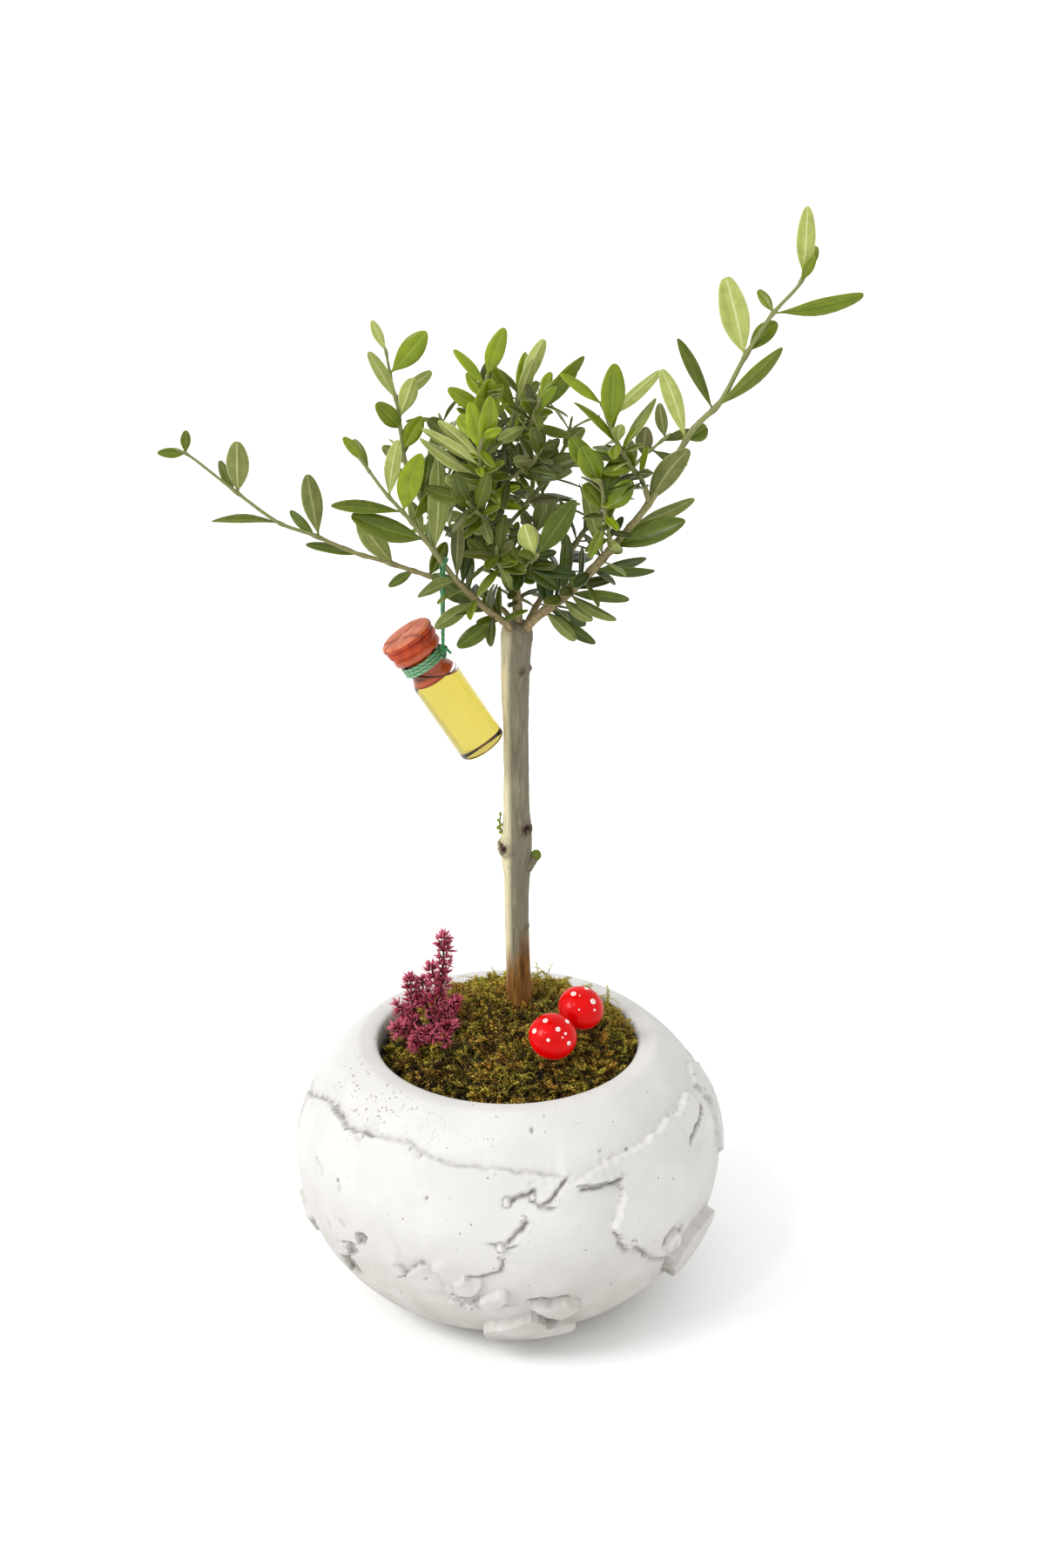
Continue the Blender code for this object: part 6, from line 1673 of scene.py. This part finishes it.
def frond_colour(x, y, draw, tuft):
    """Age (0 green, 1 brown) and tone of a frond. The tone is painted lighter on the tops of the
    cushions and towards the back.
    """
    patch = (noise.noise(Vector((x, y, 0)) / 11.0)
             + 0.6 * noise.noise(Vector((x, y, 9)) / 4.0))
    front = held(-y / 40)
    age = held(0.5 + 0.2 * front + 0.9 * patch + draw.uniform(-0.35, 0.35) - tuft)
    lump = noise.noise(Vector((x, y, 7.0)) / MOSS_CUSHION)
    bright = draw.random() < BRIGHT_PART
    tone = draw.uniform(0.75, 1.3) if bright else draw.uniform(0.0, 0.34)
    # Painted light: lighter on the tops of the cushions and towards the back
    tone += 0.35 * tuft + 0.65 * held((y - 5) / 35) - 0.13 * front + 0.5 * lump + 0.08
    return age, held(tone, 0.04)


def add_frond(piece, x, y, draw, tuft=0.0):
    """One curled feather of moss, with three folded leaflets round every joint."""
    heading = draw.uniform(0, 2 * math.pi)
    rise = math.radians(draw.uniform(0, 55) + 25 * tuft)
    along = Vector((math.cos(heading) * math.cos(rise), math.sin(heading) * math.cos(rise),
                    math.sin(rise)))
    side = along.cross(Vector((0, 0, 1))).normalized()
    axis = (side * draw.uniform(-0.3, 1.0) + side.cross(along) * draw.uniform(-1, 1)).normalized()
    bend = Matrix.Rotation(math.radians(-draw.uniform(6, 26)), 3, axis)
    joints = draw.randint(6, 9) + round(5 * tuft)
    step = draw.uniform(0.9, 1.4)
    wide = draw.uniform(1.15, 2.1) * (1 - 0.35 * tuft)
    point = Vector((x, y, moss_surface(x, y) - FROND_SINK))
    age, tone = frond_colour(x, y, draw, tuft)
    verts, faces, marks = [], [], []
    for joint in range(joints):
        size = wide * (1 - 0.55 * (joint / joints) ** 2)
        normal = side.cross(along)
        place = joint / joints
        # Painted shade: the frond darkens towards its foot
        tone_with_shade = tone * (0.45 + 0.55 * place)
        for k in range(LEAFLETS):
            spin = LEAFLET_TURN * k + joint * JOINT_TURN
            out = math.cos(spin) * side + math.sin(spin) * normal
            flat = along.cross(out) * 0.42 * size
            middle = point + (along * 0.45 + out * 0.55) * size
            tip = point + (along * 1.4 + out * draw.uniform(0.5, 1.0)) * size
            fold = middle + out * 0.22 * size - along * 0.15 * size
            first = len(verts)
            verts += [point.copy(), middle + flat, tip, middle - flat, fold]
            faces += [(first, first + 1, first + 4), (first + 1, first + 2, first + 4),
                      (first + 2, first + 3, first + 4), (first + 3, first, first + 4)]
            # Each leaflet is painted dark at its foot as shade, and light on its fold as a painted
            # highlight
            edge = (age, tone_with_shade * 0.65, 0.0)
            marks += [(age, tone_with_shade * 0.2, 0.0), edge, (age, tone_with_shade, place * tone), edge,
                      (age, tone_with_shade * 1.15, place * tone)]
        point = point + along * step
        along = (bend @ along).normalized()
        side = (side - along * along.dot(side)).normalized()
        if math.hypot(point.x, point.y) > MOSS_RADIUS - WALL_ROOM or point.z < SOIL_TOP + 1:
            break
    piece.add(verts, faces, 0, marks)


# Trunk


def bark_relief(row, turn, point):
    """How far the bark stands out at a point: its grain, the knots and their hollows."""
    c, s = math.cos(turn), math.sin(turn)
    extra = 0.34 * noise.noise(Vector((c * 3.2, s * 3.2, point.z / 17)))
    extra += (0.20 * noise.noise(Vector((c * 7.5, s * 7.5, point.z / 9)))
              + 0.10 * noise.noise(point / 1.2))
    for centre, radius, height, hollow in KNOTS:
        away = (point - Vector(centre)).length
        if hollow:
            extra += 0.62 * height * bell(away - radius * 0.95, 1.2)
            extra -= 1.4 * bell(away, radius * 0.55)
        else:
            extra += 0.8 * height * bell(away, radius * 1.15)
    return extra


def bark_marks(vert, body):
    """Darkness at the knots, brown stain low down, and the side that faces left, painted pale
    partly as bark colour and partly as light.
    """
    dark = 0.0
    for centre, radius, height, hollow in KNOTS:
        away = (vert - Vector(centre)).length
        if hollow:
            torn = 1.0 + 1.3 * noise.noise(vert / 1.1)
            dark = max(dark, 2.0 * torn * bell(away, radius * 0.9))
        else:
            dark = max(dark, 1.2 * bell(away, radius))
    middle = body.at(vert.z - TRUNK[0][2])[0]
    side = (vert.x - middle.x) / TRUNK_HALF
    edge = STAIN_HEIGHT + 7 * noise.noise(Vector((vert.x, vert.y, 0)) / 2.5) + 9 * side
    stain = held((edge - vert.z) / 17 + 0.5)
    streak = bell(side - 0.45, 0.2) * held((178 - vert.z) / 40)
    ragged = 0.55 + 0.9 * noise.noise(Vector((vert.x * 1.5, vert.y * 1.5, vert.z / 7)))
    dark = max(dark, 0.85 * streak * max(0.0, ragged))
    return min(dark, 1.0), stain, held(-side * 2.6 - 0.9)


def make_trunk(bark, green):
    body = trunk_wood(4)
    buried = BURIED_ROWS * BURIED_STEP
    rows = [k * BURIED_STEP for k in range(BURIED_ROWS)]
    rows += [buried + k * BARK_STEP for k in range(int(body.length - buried) + 1)]
    found = [body.at(place) for place in rows]
    verts, faces = skin([f[0] for f in found], [f[2] for f in found], BARK_SIDES, bark_relief)
    trunk = Piece()
    trunk.add(verts, faces, 0, [bark_marks(vert, body) for vert in verts])
    low, high, radius = Vector(STUB[0]), Vector(STUB[1]), STUB[2]
    way = [low.lerp(high, k / 6) for k in range(7)]
    trunk.add(*skin(way, [radius * (1.5 - 0.7 * k / 6) for k in range(7)], 16), 0, (0.15, 0, 0))
    centre, size = STUB_LEAF
    verts, faces = egg(ROUND_LEAF, 20, centre, size)
    trunk.add(verts, faces, 1, [(0.35, 0.0, (v.x - Vector(centre).x) / size[0]) for v in verts])
    way = smooth_route(SHOOT, 4)
    radii = [0.55 - 0.25 * k / (len(way) - 1) for k in range(len(way))]
    trunk.add(*skin(way, radii, 10), 0, (0.35, 0, 0))
    for centre, size in BUDS:
        trunk.add(*egg(BUD, 10, centre, size), 1, (0.75, 0.0, 0.5))
    trunk.done("trunk_bark", [bark, green], "bark", ["trunk"])


# Twigs and leaves


def blade_faces(rows, wide):
    """Faces of a blade whose upper points come first, with the tip as the last point, and
    their material numbers: 1 above, and 2 below and on the rim."""
    under = rows * wide
    tip = 2 * under
    faces, kinds = [], []
    for row in range(rows - 1):
        for k in range(wide - 1):
            a, b = row * wide + k, row * wide + k + 1
            faces.append((a, b, b + wide, a + wide))
            faces.append((under + b, under + a, under + a + wide, under + b + wide))
            kinds += [1, 2]
        left, right = row * wide, row * wide + wide - 1
        faces.append((left, left + wide, under + left + wide, under + left))
        faces.append((under + right, under + right + wide, right + wide, right))
        kinds += [2, 2]
    last = under - wide
    for k in range(wide - 1):
        faces.append((last + k, last + k + 1, tip))
        faces.append((under + last + k + 1, under + last + k, tip))
        kinds += [1, 2]
    faces.append((last, tip, under + last))
    faces.append((last + wide - 1, under + last + wide - 1, tip))
    return faces, kinds + [2, 2]


def add_leaf(piece, leaf, youth, grey, draw):
    """A blade with a stalk, a raised midrib below, rolled edges and a fold along the middle."""
    side = leaf.along.cross(leaf.face).normalized()
    fold = draw.uniform(0.04, 0.48) + 0.2 * youth
    sway = draw.uniform(-0.035, 0.035) * leaf.length
    twist = draw.uniform(-0.25, 0.25)
    wave = draw.uniform(0, 6.28)
    peak = draw.uniform(0.92, 1.2)
    blunt = draw.uniform(0.28, 0.42)
    top, bottom, marks = [], [], []
    for s in BLADE_SECTIONS:
        u = max(0.0, (s - STALK) / (1 - STALK))
        half = 0.0
        if u > 0:
            half = 0.5 * leaf.width * math.sin(math.pi * u ** peak) ** (0.85 - blunt * u)
        stalk = PETIOLE_HALF * max(0.0, 1 - s * 1.3)
        half = math.hypot(half, stalk)
        centre = (leaf.base + leaf.along * leaf.length * s
                  - leaf.face * leaf.curl * leaf.length * s * s)
        centre += side * sway * math.sin(math.pi * s)
        turned = Matrix.Rotation(twist * s, 3, leaf.along)
        across = turned @ side
        up = turned @ (leaf.face + leaf.along * 2 * leaf.curl * s).normalized()
        blade_part = min(1.0, u * 8)
        thick = BLADE_HALF_THICKNESS * blade_part + stalk * 0.8 * (1 - blade_part)
        for t in ACROSS:
            rim = abs(t)
            height = fold * blade_part * rim * half - ROLLED_EDGE * blade_part * half * rim ** 5
            height += 0.05 * half * math.sin(9 * s + wave) * t * blade_part
            middle = centre + across * half * t + up * (BLADE_LIFT + height)
            shell = thick * (1.0 - 0.75 * rim ** 4)
            rib = MIDRIB * blade_part * (1 - s * 0.6) if t == 0 else 0.0
            top.append(middle + up * (shell - 0.4 * rib))
            bottom.append(middle - up * (shell + rib))
            marks.append((youth, grey, t if s > STALK + 0.03 else 0.4))
    tip = leaf.base + leaf.along * leaf.length - leaf.face * leaf.curl * leaf.length
    faces, kinds = blade_faces(len(BLADE_SECTIONS), len(ACROSS))
    piece.add(top + bottom + [tip + leaf.face * BLADE_LIFT], faces, kinds,
              marks + marks + [(youth, grey, 1.0)])


def twig_relief(row, turn, point):
    return noisy(point, (0.10, 1.3), (0.06, 0.6))


def add_twig(piece, stem, own, start, joints, grey):
    """The wood of a stem, swollen and scarred where its leaves stand."""
    on_trunk = stem.parent == "trunk"
    count = round(own.length / TWIG_STEP)
    points, radii, marks = [], [], []
    for k in range(count + 1):
        place = own.length * k / count
        point, _, radius = own.at(place)
        swell = sum(0.28 * bell(place - joint, 1.3) for joint in joints)
        flare = 0.5 * radius * math.exp(-max(0.0, place - start + 1) / 2.5)
        points.append(point)
        radii.append(0.92 * radius + min(swell, 0.4) + flare * (0.1 if on_trunk else 0.6))
        whole = place / own.length
        woody = on_trunk or stem.name == "crown_leader"
        old = 1.0 - whole * 1.5 if woody else 0.25 - whole
        marks += [(held(old), grey, min(0.8, swell * 1.3) * 0.5)] * TWIG_SIDES
    radii[-1] *= 0.5
    verts, faces = skin(points, radii, TWIG_SIDES, twig_relief)
    piece.add(verts, faces, 0, marks + [marks[0], marks[-1]])


def make_stems(wood, starts, leaves, materials):
    """Every stem with its leaves as one piece."""
    for stem in STEMS:
        name = stem.name
        draw = random.Random("looks " + name)
        own = wood[name]
        joints = sorted({round(place * own.length, 1) for _, place, _ in leaves[name]})
        young_foot, young_tip, grey = STEM_LOOKS.get(name, BACK_LOOK)
        piece = Piece()
        add_twig(piece, stem, own, starts[name], joints, grey)
        for leaf, place, number in leaves[name]:
            youth = young_foot + (young_tip - young_foot) * place + draw.uniform(-0.14, 0.14)
            dull = max(0.0, grey + draw.uniform(-0.2, 0.2))
            if number == INNER:
                youth += draw.choice((-0.4, -0.2, 0.1, 0.4))
                dull += draw.choice((0.0, 0.1, 0.5, 0.9))
            youth, dull = ODD_LEAVES.get((name, number), (youth, dull))
            add_leaf(piece, leaf, held(youth, 0.0, 1.2), min(1.0, dull), draw)
        piece.done(name + "_foliage", materials, "leaf", [name])


# Vial and cord


def vial_frame():
    """The turn and place that stand the vial on its axis."""
    turn = Vector((0, 0, 1)).rotation_difference(VIAL_AXIS).to_matrix().to_4x4()
    return Matrix.Translation(VIAL_BASE * MM) @ turn


def vial_placed(verts):
    """Points given on an upright vial, moved to where it hangs."""
    stand = vial_frame()
    return [stand @ (v * MM) / MM for v in verts]


def vial_point(radius, turn, height):
    return vial_placed([Vector((radius * math.cos(turn), radius * math.sin(turn), height))])[0]


def make_vial_shell(glass):
    """The glass, open on the inside down to the level of the oil."""
    outside = rounded(VIAL_OUTSIDE, 0.35, 2)
    inside = rounded(VIAL_INSIDE, 0.35, 2)
    verts, faces = lathe(outside + inside[1:], VIAL_SIDES)
    first = len(verts) - VIAL_SIDES * (len(inside) - 2) - 1
    placed = vial_placed(verts)
    for k in range(first, len(verts)):
        if verts[k].z < OIL_REACH:
            lift = (OIL_LEVEL - placed[k].z) / VIAL_AXIS.z
            if math.hypot(verts[k].x, verts[k].y) < OIL_FLAT or lift > 0:
                placed[k] = placed[k] + VIAL_AXIS * lift
    shell = Piece()
    shell.add(placed, faces)
    shell.done("vial_shell", [glass], "glass", ["vial_glass"])


def make_stopper(rubber):
    """The plug in the neck and its round head, with two creases over the top."""
    verts, faces = lathe(rounded(PLUG, 0.5, 3), VIAL_SIDES)
    marks = []
    moved = []
    for v in verts:
        flat = Vector((v.x, v.y, 0))
        head = v.z > HEAD_FOOT
        upper = v.z > HEAD_EDGE
        dent = lump = 0.0
        if head:
            lump = noisy(v, (0.25, 4.0))
            for a, b in PLUG_CREASES:
                near, _ = intersect_point_line(flat, Vector(a), Vector(b))
                dent = max(dent, bell((near - flat).length, 0.7))
        sunk = Vector((0, 0, 0.5 * dent if upper else 0.0))
        moved.append(v + flat.normalized() * lump - sunk)
        marks.append((1.0 if v.z > HEAD_TOP else 0.0, dent * (0.8 if upper else 0.3),
                      0 if head else 1.0))
    stopper = Piece()
    stopper.add(vial_placed(moved), faces, 0, marks)
    stopper.done("vial_plug", [rubber], "stopper_rubber", ["vial_stopper"])


def make_oil(oil):
    """The filling, cut off at the level of the oil."""
    verts, faces = lathe(OIL_PROFILE, VIAL_SIDES)
    placed = []
    for v in vial_placed(verts):
        over = v.z - (OIL_LEVEL - OIL_GAP)
        placed.append(v - VIAL_AXIS * (over / VIAL_AXIS.z) if over > 0 else v)
    liquid = Piece()
    liquid.add(placed, faces)
    liquid.done("vial_filling", [oil], "oil", ["vial_oil"])


def knot_place():
    """The turn round the neck that faces the twig, and the place of the knot there."""
    local = vial_frame().inverted() @ (CORD_TWIG * MM)
    turn = math.atan2(local.y, local.x)
    ring = (VIAL_NECK_RADIUS + GAP + CORD_RADIUS) / math.cos(math.pi / TURN_STEPS)
    return turn, vial_point(ring + 1.2, turn, VIAL_WRAP_HEIGHT + 0.75 * CORD_TURNS * CORD_PITCH)


def cord_routes(twig):
    """The winding round the neck, and the doubled strand from its knot over the twig."""
    knot_turn, knot = knot_place()
    wind = []
    for k in range(CORD_TURNS * WIND_STEPS + 1):
        turn = knot_turn + 2 * math.pi * k / WIND_STEPS
        wind.append(vial_point(VIAL_NECK_RADIUS + CORD_LIFT + CORD_RADIUS, turn,
                               VIAL_WRAP_HEIGHT + k / WIND_STEPS * CORD_PITCH))
    place, along, radius = twig
    across = along.cross(Vector((0, 0, 1))).normalized()
    crest = across.cross(along).normalized()
    hang = radius + GAP + CORD_RADIUS
    over = []
    for k in range(LOOP_STEPS + 1):
        turn = math.pi * k / LOOP_STEPS
        over.append(place + hang * (math.cos(turn) * across + math.sin(turn) * crest))
    down = [knot.lerp(over[0], k / HANG_STEPS) for k in range(HANG_STEPS)]
    back = [over[-1].lerp(knot, k / HANG_STEPS) for k in range(1, HANG_STEPS + 1)]
    return wind, knot, down + over + back


def strand_groove(row, turn):
    """How deep a point of the cord lies between two strands, 0 to 1."""
    return 1 - abs(math.cos(turn - row * STRAND_TURN))


def strand_relief(row, turn, point):
    return -GROOVE_DEPTH * strand_groove(row, turn)


def make_cord(look, twig):
    """Twisted strands along both routes, with a knot and a short tail where they meet."""
    wind, knot, loop = cord_routes(twig)
    cord = Piece()
    for route in (wind, loop):
        spaced = Wood(route, [CORD_RADIUS] * len(route))
        count = round(spaced.length / CORD_STEP)
        points = [spaced.at(spaced.length * k / count)[0] for k in range(count + 1)]
        verts, faces = skin(points, [CORD_RADIUS] * len(points), CORD_SIDES, strand_relief)
        marks = []
        for row, point in enumerate(points):
            # The winding is painted pale on its left as lit, and dark in the grooves as shade
            painted_lit_side = held((PAINTED_LIGHT_CORD_X - point.x) / 10) if route is wind else 0.0
            marks += [(0.7 * strand_groove(row, turn), 0.7 * painted_lit_side, 0)
                      for turn in angles(CORD_SIDES)]
        cord.add(verts, faces, 0, marks + [(0, 0, 0), (0, 0, 0)])
    tie = []
    for k in range(KNOT_STEPS + 1):
        t = 2 * math.pi * k / KNOT_STEPS
        tie.append(knot + KNOT_SIZE * Vector((math.sin(t) + 2 * math.sin(2 * t),
                                              -math.sin(3 * t) * 1.2,
                                              math.cos(t) - 2 * math.cos(2 * t))))
    # The knot and the tail are painted a little darker, as shade
    cord.add(*skin(tie, [CORD_RADIUS * 0.9] * len(tie), 12), 0, (0.25, 0, 0))
    tail = smooth_route([knot] + [knot + Vector(shift) for shift in CORD_TAIL], 6)
    cord.add(*skin(tail, [CORD_RADIUS * 0.8] * len(tail), 10), 0, (0.2, 0, 0))
    cord.done("green_cord", [look], "cord", ["hanging_cord"])


# Toadstools and sprig


def add_dots(cap, tree, middle, radius, dots):
    """Raised dots where the lines of sight through them meet the cap."""
    eye = Vector(CAMERA_PLACE) / MM
    view = (middle - eye).normalized()
    right = view.cross(Vector((0, 0, 1))).normalized()
    up = right.cross(view)
    for across, high, size in dots:
        target = middle + right * across * radius + up * high * radius
        hit, normal, *_ = tree.ray_cast(eye, (target - eye).normalized())
        if hit is None:
            continue
        if normal.dot(view) > 0:
            normal = -normal
        around = normal.orthogonal().normalized()
        other = normal.cross(around)
        size *= radius * DOT_SIZE
        spots, flat = lathe([(size * r, z) for r, z in DOT], DOT_SIDES)
        middles = [(1.0 if math.hypot(v.x, v.y) < 0.5 * size else 0.0, 0, 0) for v in spots]
        cap.add([hit + around * v.x + other * v.y + normal * v.z for v in spots], flat, 1, middles)


def stalk_relief(row, turn, point):
    return noisy(point, (0.12, 2.0))


def make_toadstool(name, middle, facing, radius, foot, dots, red, white, stalk):
    middle = Vector(middle)
    axis = Vector(facing).normalized()
    turn = Vector((0, 0, 1)).rotation_difference(axis).to_matrix()
    seat = middle - axis * CAP_SEAT
    scale = radius / DOME_RADIUS
    dome = smooth_profile([(r * scale, z * scale) for r, z in DOME], 3)
    ends = (0, len(dome) - 1)
    verts, faces = lathe([(0 if k in ends else max(0.05, r), z)
                          for k, (r, z) in enumerate(dome)], CAP_SIDES)
    marks = []
    for v in verts:
        outer = math.hypot(v.x, v.y) > 8.5 * scale
        marks.append((0, bell(v.z / scale - 0.3, 0.7) if outer else 0.0, 0))
    placed = [seat + turn @ v for v in verts]
    cap = Piece()
    cap.add(placed, faces, 0, marks)
    add_dots(cap, tree_of((placed, faces)), middle, radius, dots)
    cap.done("toadstool_%s_red" % name, [red, white], "toadstool_red",
             ["toadstool_%s_cap" % name])
    top = seat + axis * (1.6 * scale - GAP)
    low = Vector((*foot, SOIL_TOP + GAP + 0.2))
    edge = moss_height(*foot) + 2.0
    route = smooth_route([low, (low.x, low.y, edge - 6), (low.x, low.y, edge),
                          top - axis * 4.0, top], 6)
    stem = Piece()
    stem.add(*skin(route, [TOADSTOOL_STEM_RADIUS] * len(route), 20, stalk_relief))
    stem.done("toadstool_%s_stalk" % name, [stalk], "toadstool_white",
              ["toadstool_%s_stem" % name])


def add_floret(piece, base, outward, size, draw):
    """A star of narrow folded petals with sharp tips."""
    tone = draw.random()
    # Painted shade at the foot of each petal, lighter towards its tip
    near = (0.0, tone * 0.3, 0.0)
    mid = (0.0, tone * 0.7, 0.6)
    far = (0.0, min(1, tone + 0.4), 1.0)
    for _ in range(draw.randint(8, 11)):
        aim = Vector((draw.gauss(0, 1), draw.gauss(0, 1), draw.gauss(0, 1))).normalized()
        along = (outward * 1.3 + aim * 0.95).normalized()
        side = along.orthogonal().normalized()
        side = Matrix.Rotation(draw.uniform(0, 6.28), 3, along) @ side
        up = along.cross(side)
        length = size * draw.uniform(0.7, 1.2)
        width = 0.105 * length
        middle = base + along * length * 0.42
        verts = [base, middle + side * width, middle + up * width * 0.9, middle - side * width,
                 middle - up * width * 0.4, base + along * length]
        piece.add(verts, PETAL_FACES, 0, [near, mid, mid, mid, mid, far])


def make_sprig(look):
    """Branches with rings of florets, left out where they would stand in the moss."""
    draw = random.Random(12)
    sprig = Piece()
    for number, (points, first) in enumerate(SPRIG_BRANCHES):
        own = Wood(smooth_route(points, 4), (SPRIG_RADIUS, SPRIG_TIP_RADIUS))
        sprig.add(*skin(own.points, own.radii, 10), 0, (1.0, 0, 0))
        place = first * own.length
        spacing = MAIN_SPACING if number == 0 else SIDE_SPACING
        while place < own.length:
            base, along, _ = own.at(place)
            side = along.orthogonal().normalized()
            turn = draw.uniform(0, 6.28)
            for _ in range(FLORETS_ROUND):
                turn += FLORET_TURN + draw.uniform(-0.3, 0.3)
                out = Matrix.Rotation(turn, 3, along) @ side
                outward = (out + along * draw.uniform(0.4, 1.1)).normalized()
                spot = base + out * draw.uniform(0.5, 1.5)
                if spot.z > moss_height(spot.x, spot.y) + 0.5:
                    add_floret(sprig, spot, outward, draw.uniform(3.2, 5.0), draw)
            place += draw.uniform(*spacing)
        tip, along, _ = own.at(own.length)
        for _ in range(FLORETS_AT_TIP):
            add_floret(sprig, tip, along, 4.4, draw)
    sprig.done("sprig_florets", [look], "dried_flower", ["dried_sprig"])


# Camera, floor and light


def make_camera():
    data = bpy.data.cameras.new("camera")
    data.lens = CAMERA_LENS
    data.sensor_width = CAMERA_SENSOR
    item = bpy.data.objects.new("camera", data)
    item.location = CAMERA_PLACE
    item.rotation_euler = (math.radians(90 - CAMERA_DOWN), 0, 0)
    bpy.context.scene.collection.objects.link(item)
    bpy.context.scene.camera = item


def make_floor():
    look = Look("floor", Roughness=0.9, Specular_IOR_Level=0.1)
    look.colour(look.mix(look.noise(400, 1), (0.955, 0.955, 0.955, 1), (0.97, 0.97, 0.97, 1)))
    mesh = bpy.data.meshes.new("floor")
    corners = [(-1, -1), (1, -1), (1, 1), (-1, 1)]
    mesh.from_pydata([(x * FLOOR_HALF, y * FLOOR_HALF, 0) for x, y in corners], [], [(0, 1, 2, 3)])
    mesh.materials.append(look.material)
    floor = bpy.data.objects.new("floor", mesh)
    bpy.context.scene.collection.objects.link(floor)


def make_light():
    """An even white sky with two suns."""
    scene = bpy.context.scene
    world = bpy.data.worlds.new("studio")
    world.use_nodes = True
    back = world.node_tree.nodes["Background"]
    back.inputs["Color"].default_value = (1, 1, 1, 1)
    back.inputs["Strength"].default_value = SKY_STRENGTH
    scene.world = world
    for name, source, strength, spread in LIGHTS:
        data = bpy.data.lights.new(name, "SUN")
        data.energy = strength
        data.angle = math.radians(spread)
        item = bpy.data.objects.new(name, data)
        item.rotation_euler = Vector(source).to_track_quat("Z", "Y").to_euler()
        scene.collection.objects.link(item)
    scene.view_settings.view_transform = "Standard"


def fill_thicket(wood, starts):
    """The wood, the vial and the cord that the leaves have to keep clear of."""
    thicket = Thicket()
    thicket.add_solid("trunk", *wood["trunk"].cut(0, wood["trunk"].length))
    thicket.add_solid("vial", [VIAL_BASE + VIAL_AXIS * z for z, _ in VIAL_GUARD],
                      [radius for _, radius in VIAL_GUARD])
    thicket.add_solid("cord", [knot_place()[1], CORD_TWIG], CORD_GUARD)
    for stem in STEMS:
        own, start = wood[stem.name], starts[stem.name]
        thicket.add_solid(stem.parent, *own.cut(0, start, STUB_STEP))
        thicket.add_solid(stem.name, *own.beyond(start))
    return thicket


def build():
    make_camera()
    make_light()
    make_floor()
    wood, starts = grow_wood()
    thicket = fill_thicket(wood, starts)
    leaves = place_leaves(wood, starts, thicket)
    place_inner_leaves(wood, starts, thicket, leaves)

    upper = leaf_look("leaf_upper", **LEAF_UPPER)
    make_pot(plaster_look())
    bpy.data.objects["soil"].material_slots[0].material = earth_look()
    make_moss(moss_look(), moss_floor_look())
    make_trunk(bark_look(), upper)
    under = leaf_look("leaf_underside", **LEAF_UNDERSIDE)
    make_stems(wood, starts, leaves, [twig_look(), upper, under])
    make_vial_shell(clear_look("glass", 20, *GLASS_TINTS, Roughness=0.02, IOR=1.46))
    make_stopper(rubber_look())
    make_oil(clear_look("oil", 18, *OIL_TINTS, Roughness=0.0, IOR=1.0, Specular_IOR_Level=0.0))
    make_cord(cord_look(), wood["branch_left_up"].nearest(CORD_TWIG))
    looks = cap_look(), dot_look(), stalk_look()
    for toadstool in TOADSTOOLS:
        make_toadstool(*toadstool, *looks)
    make_sprig(flower_look())


build()
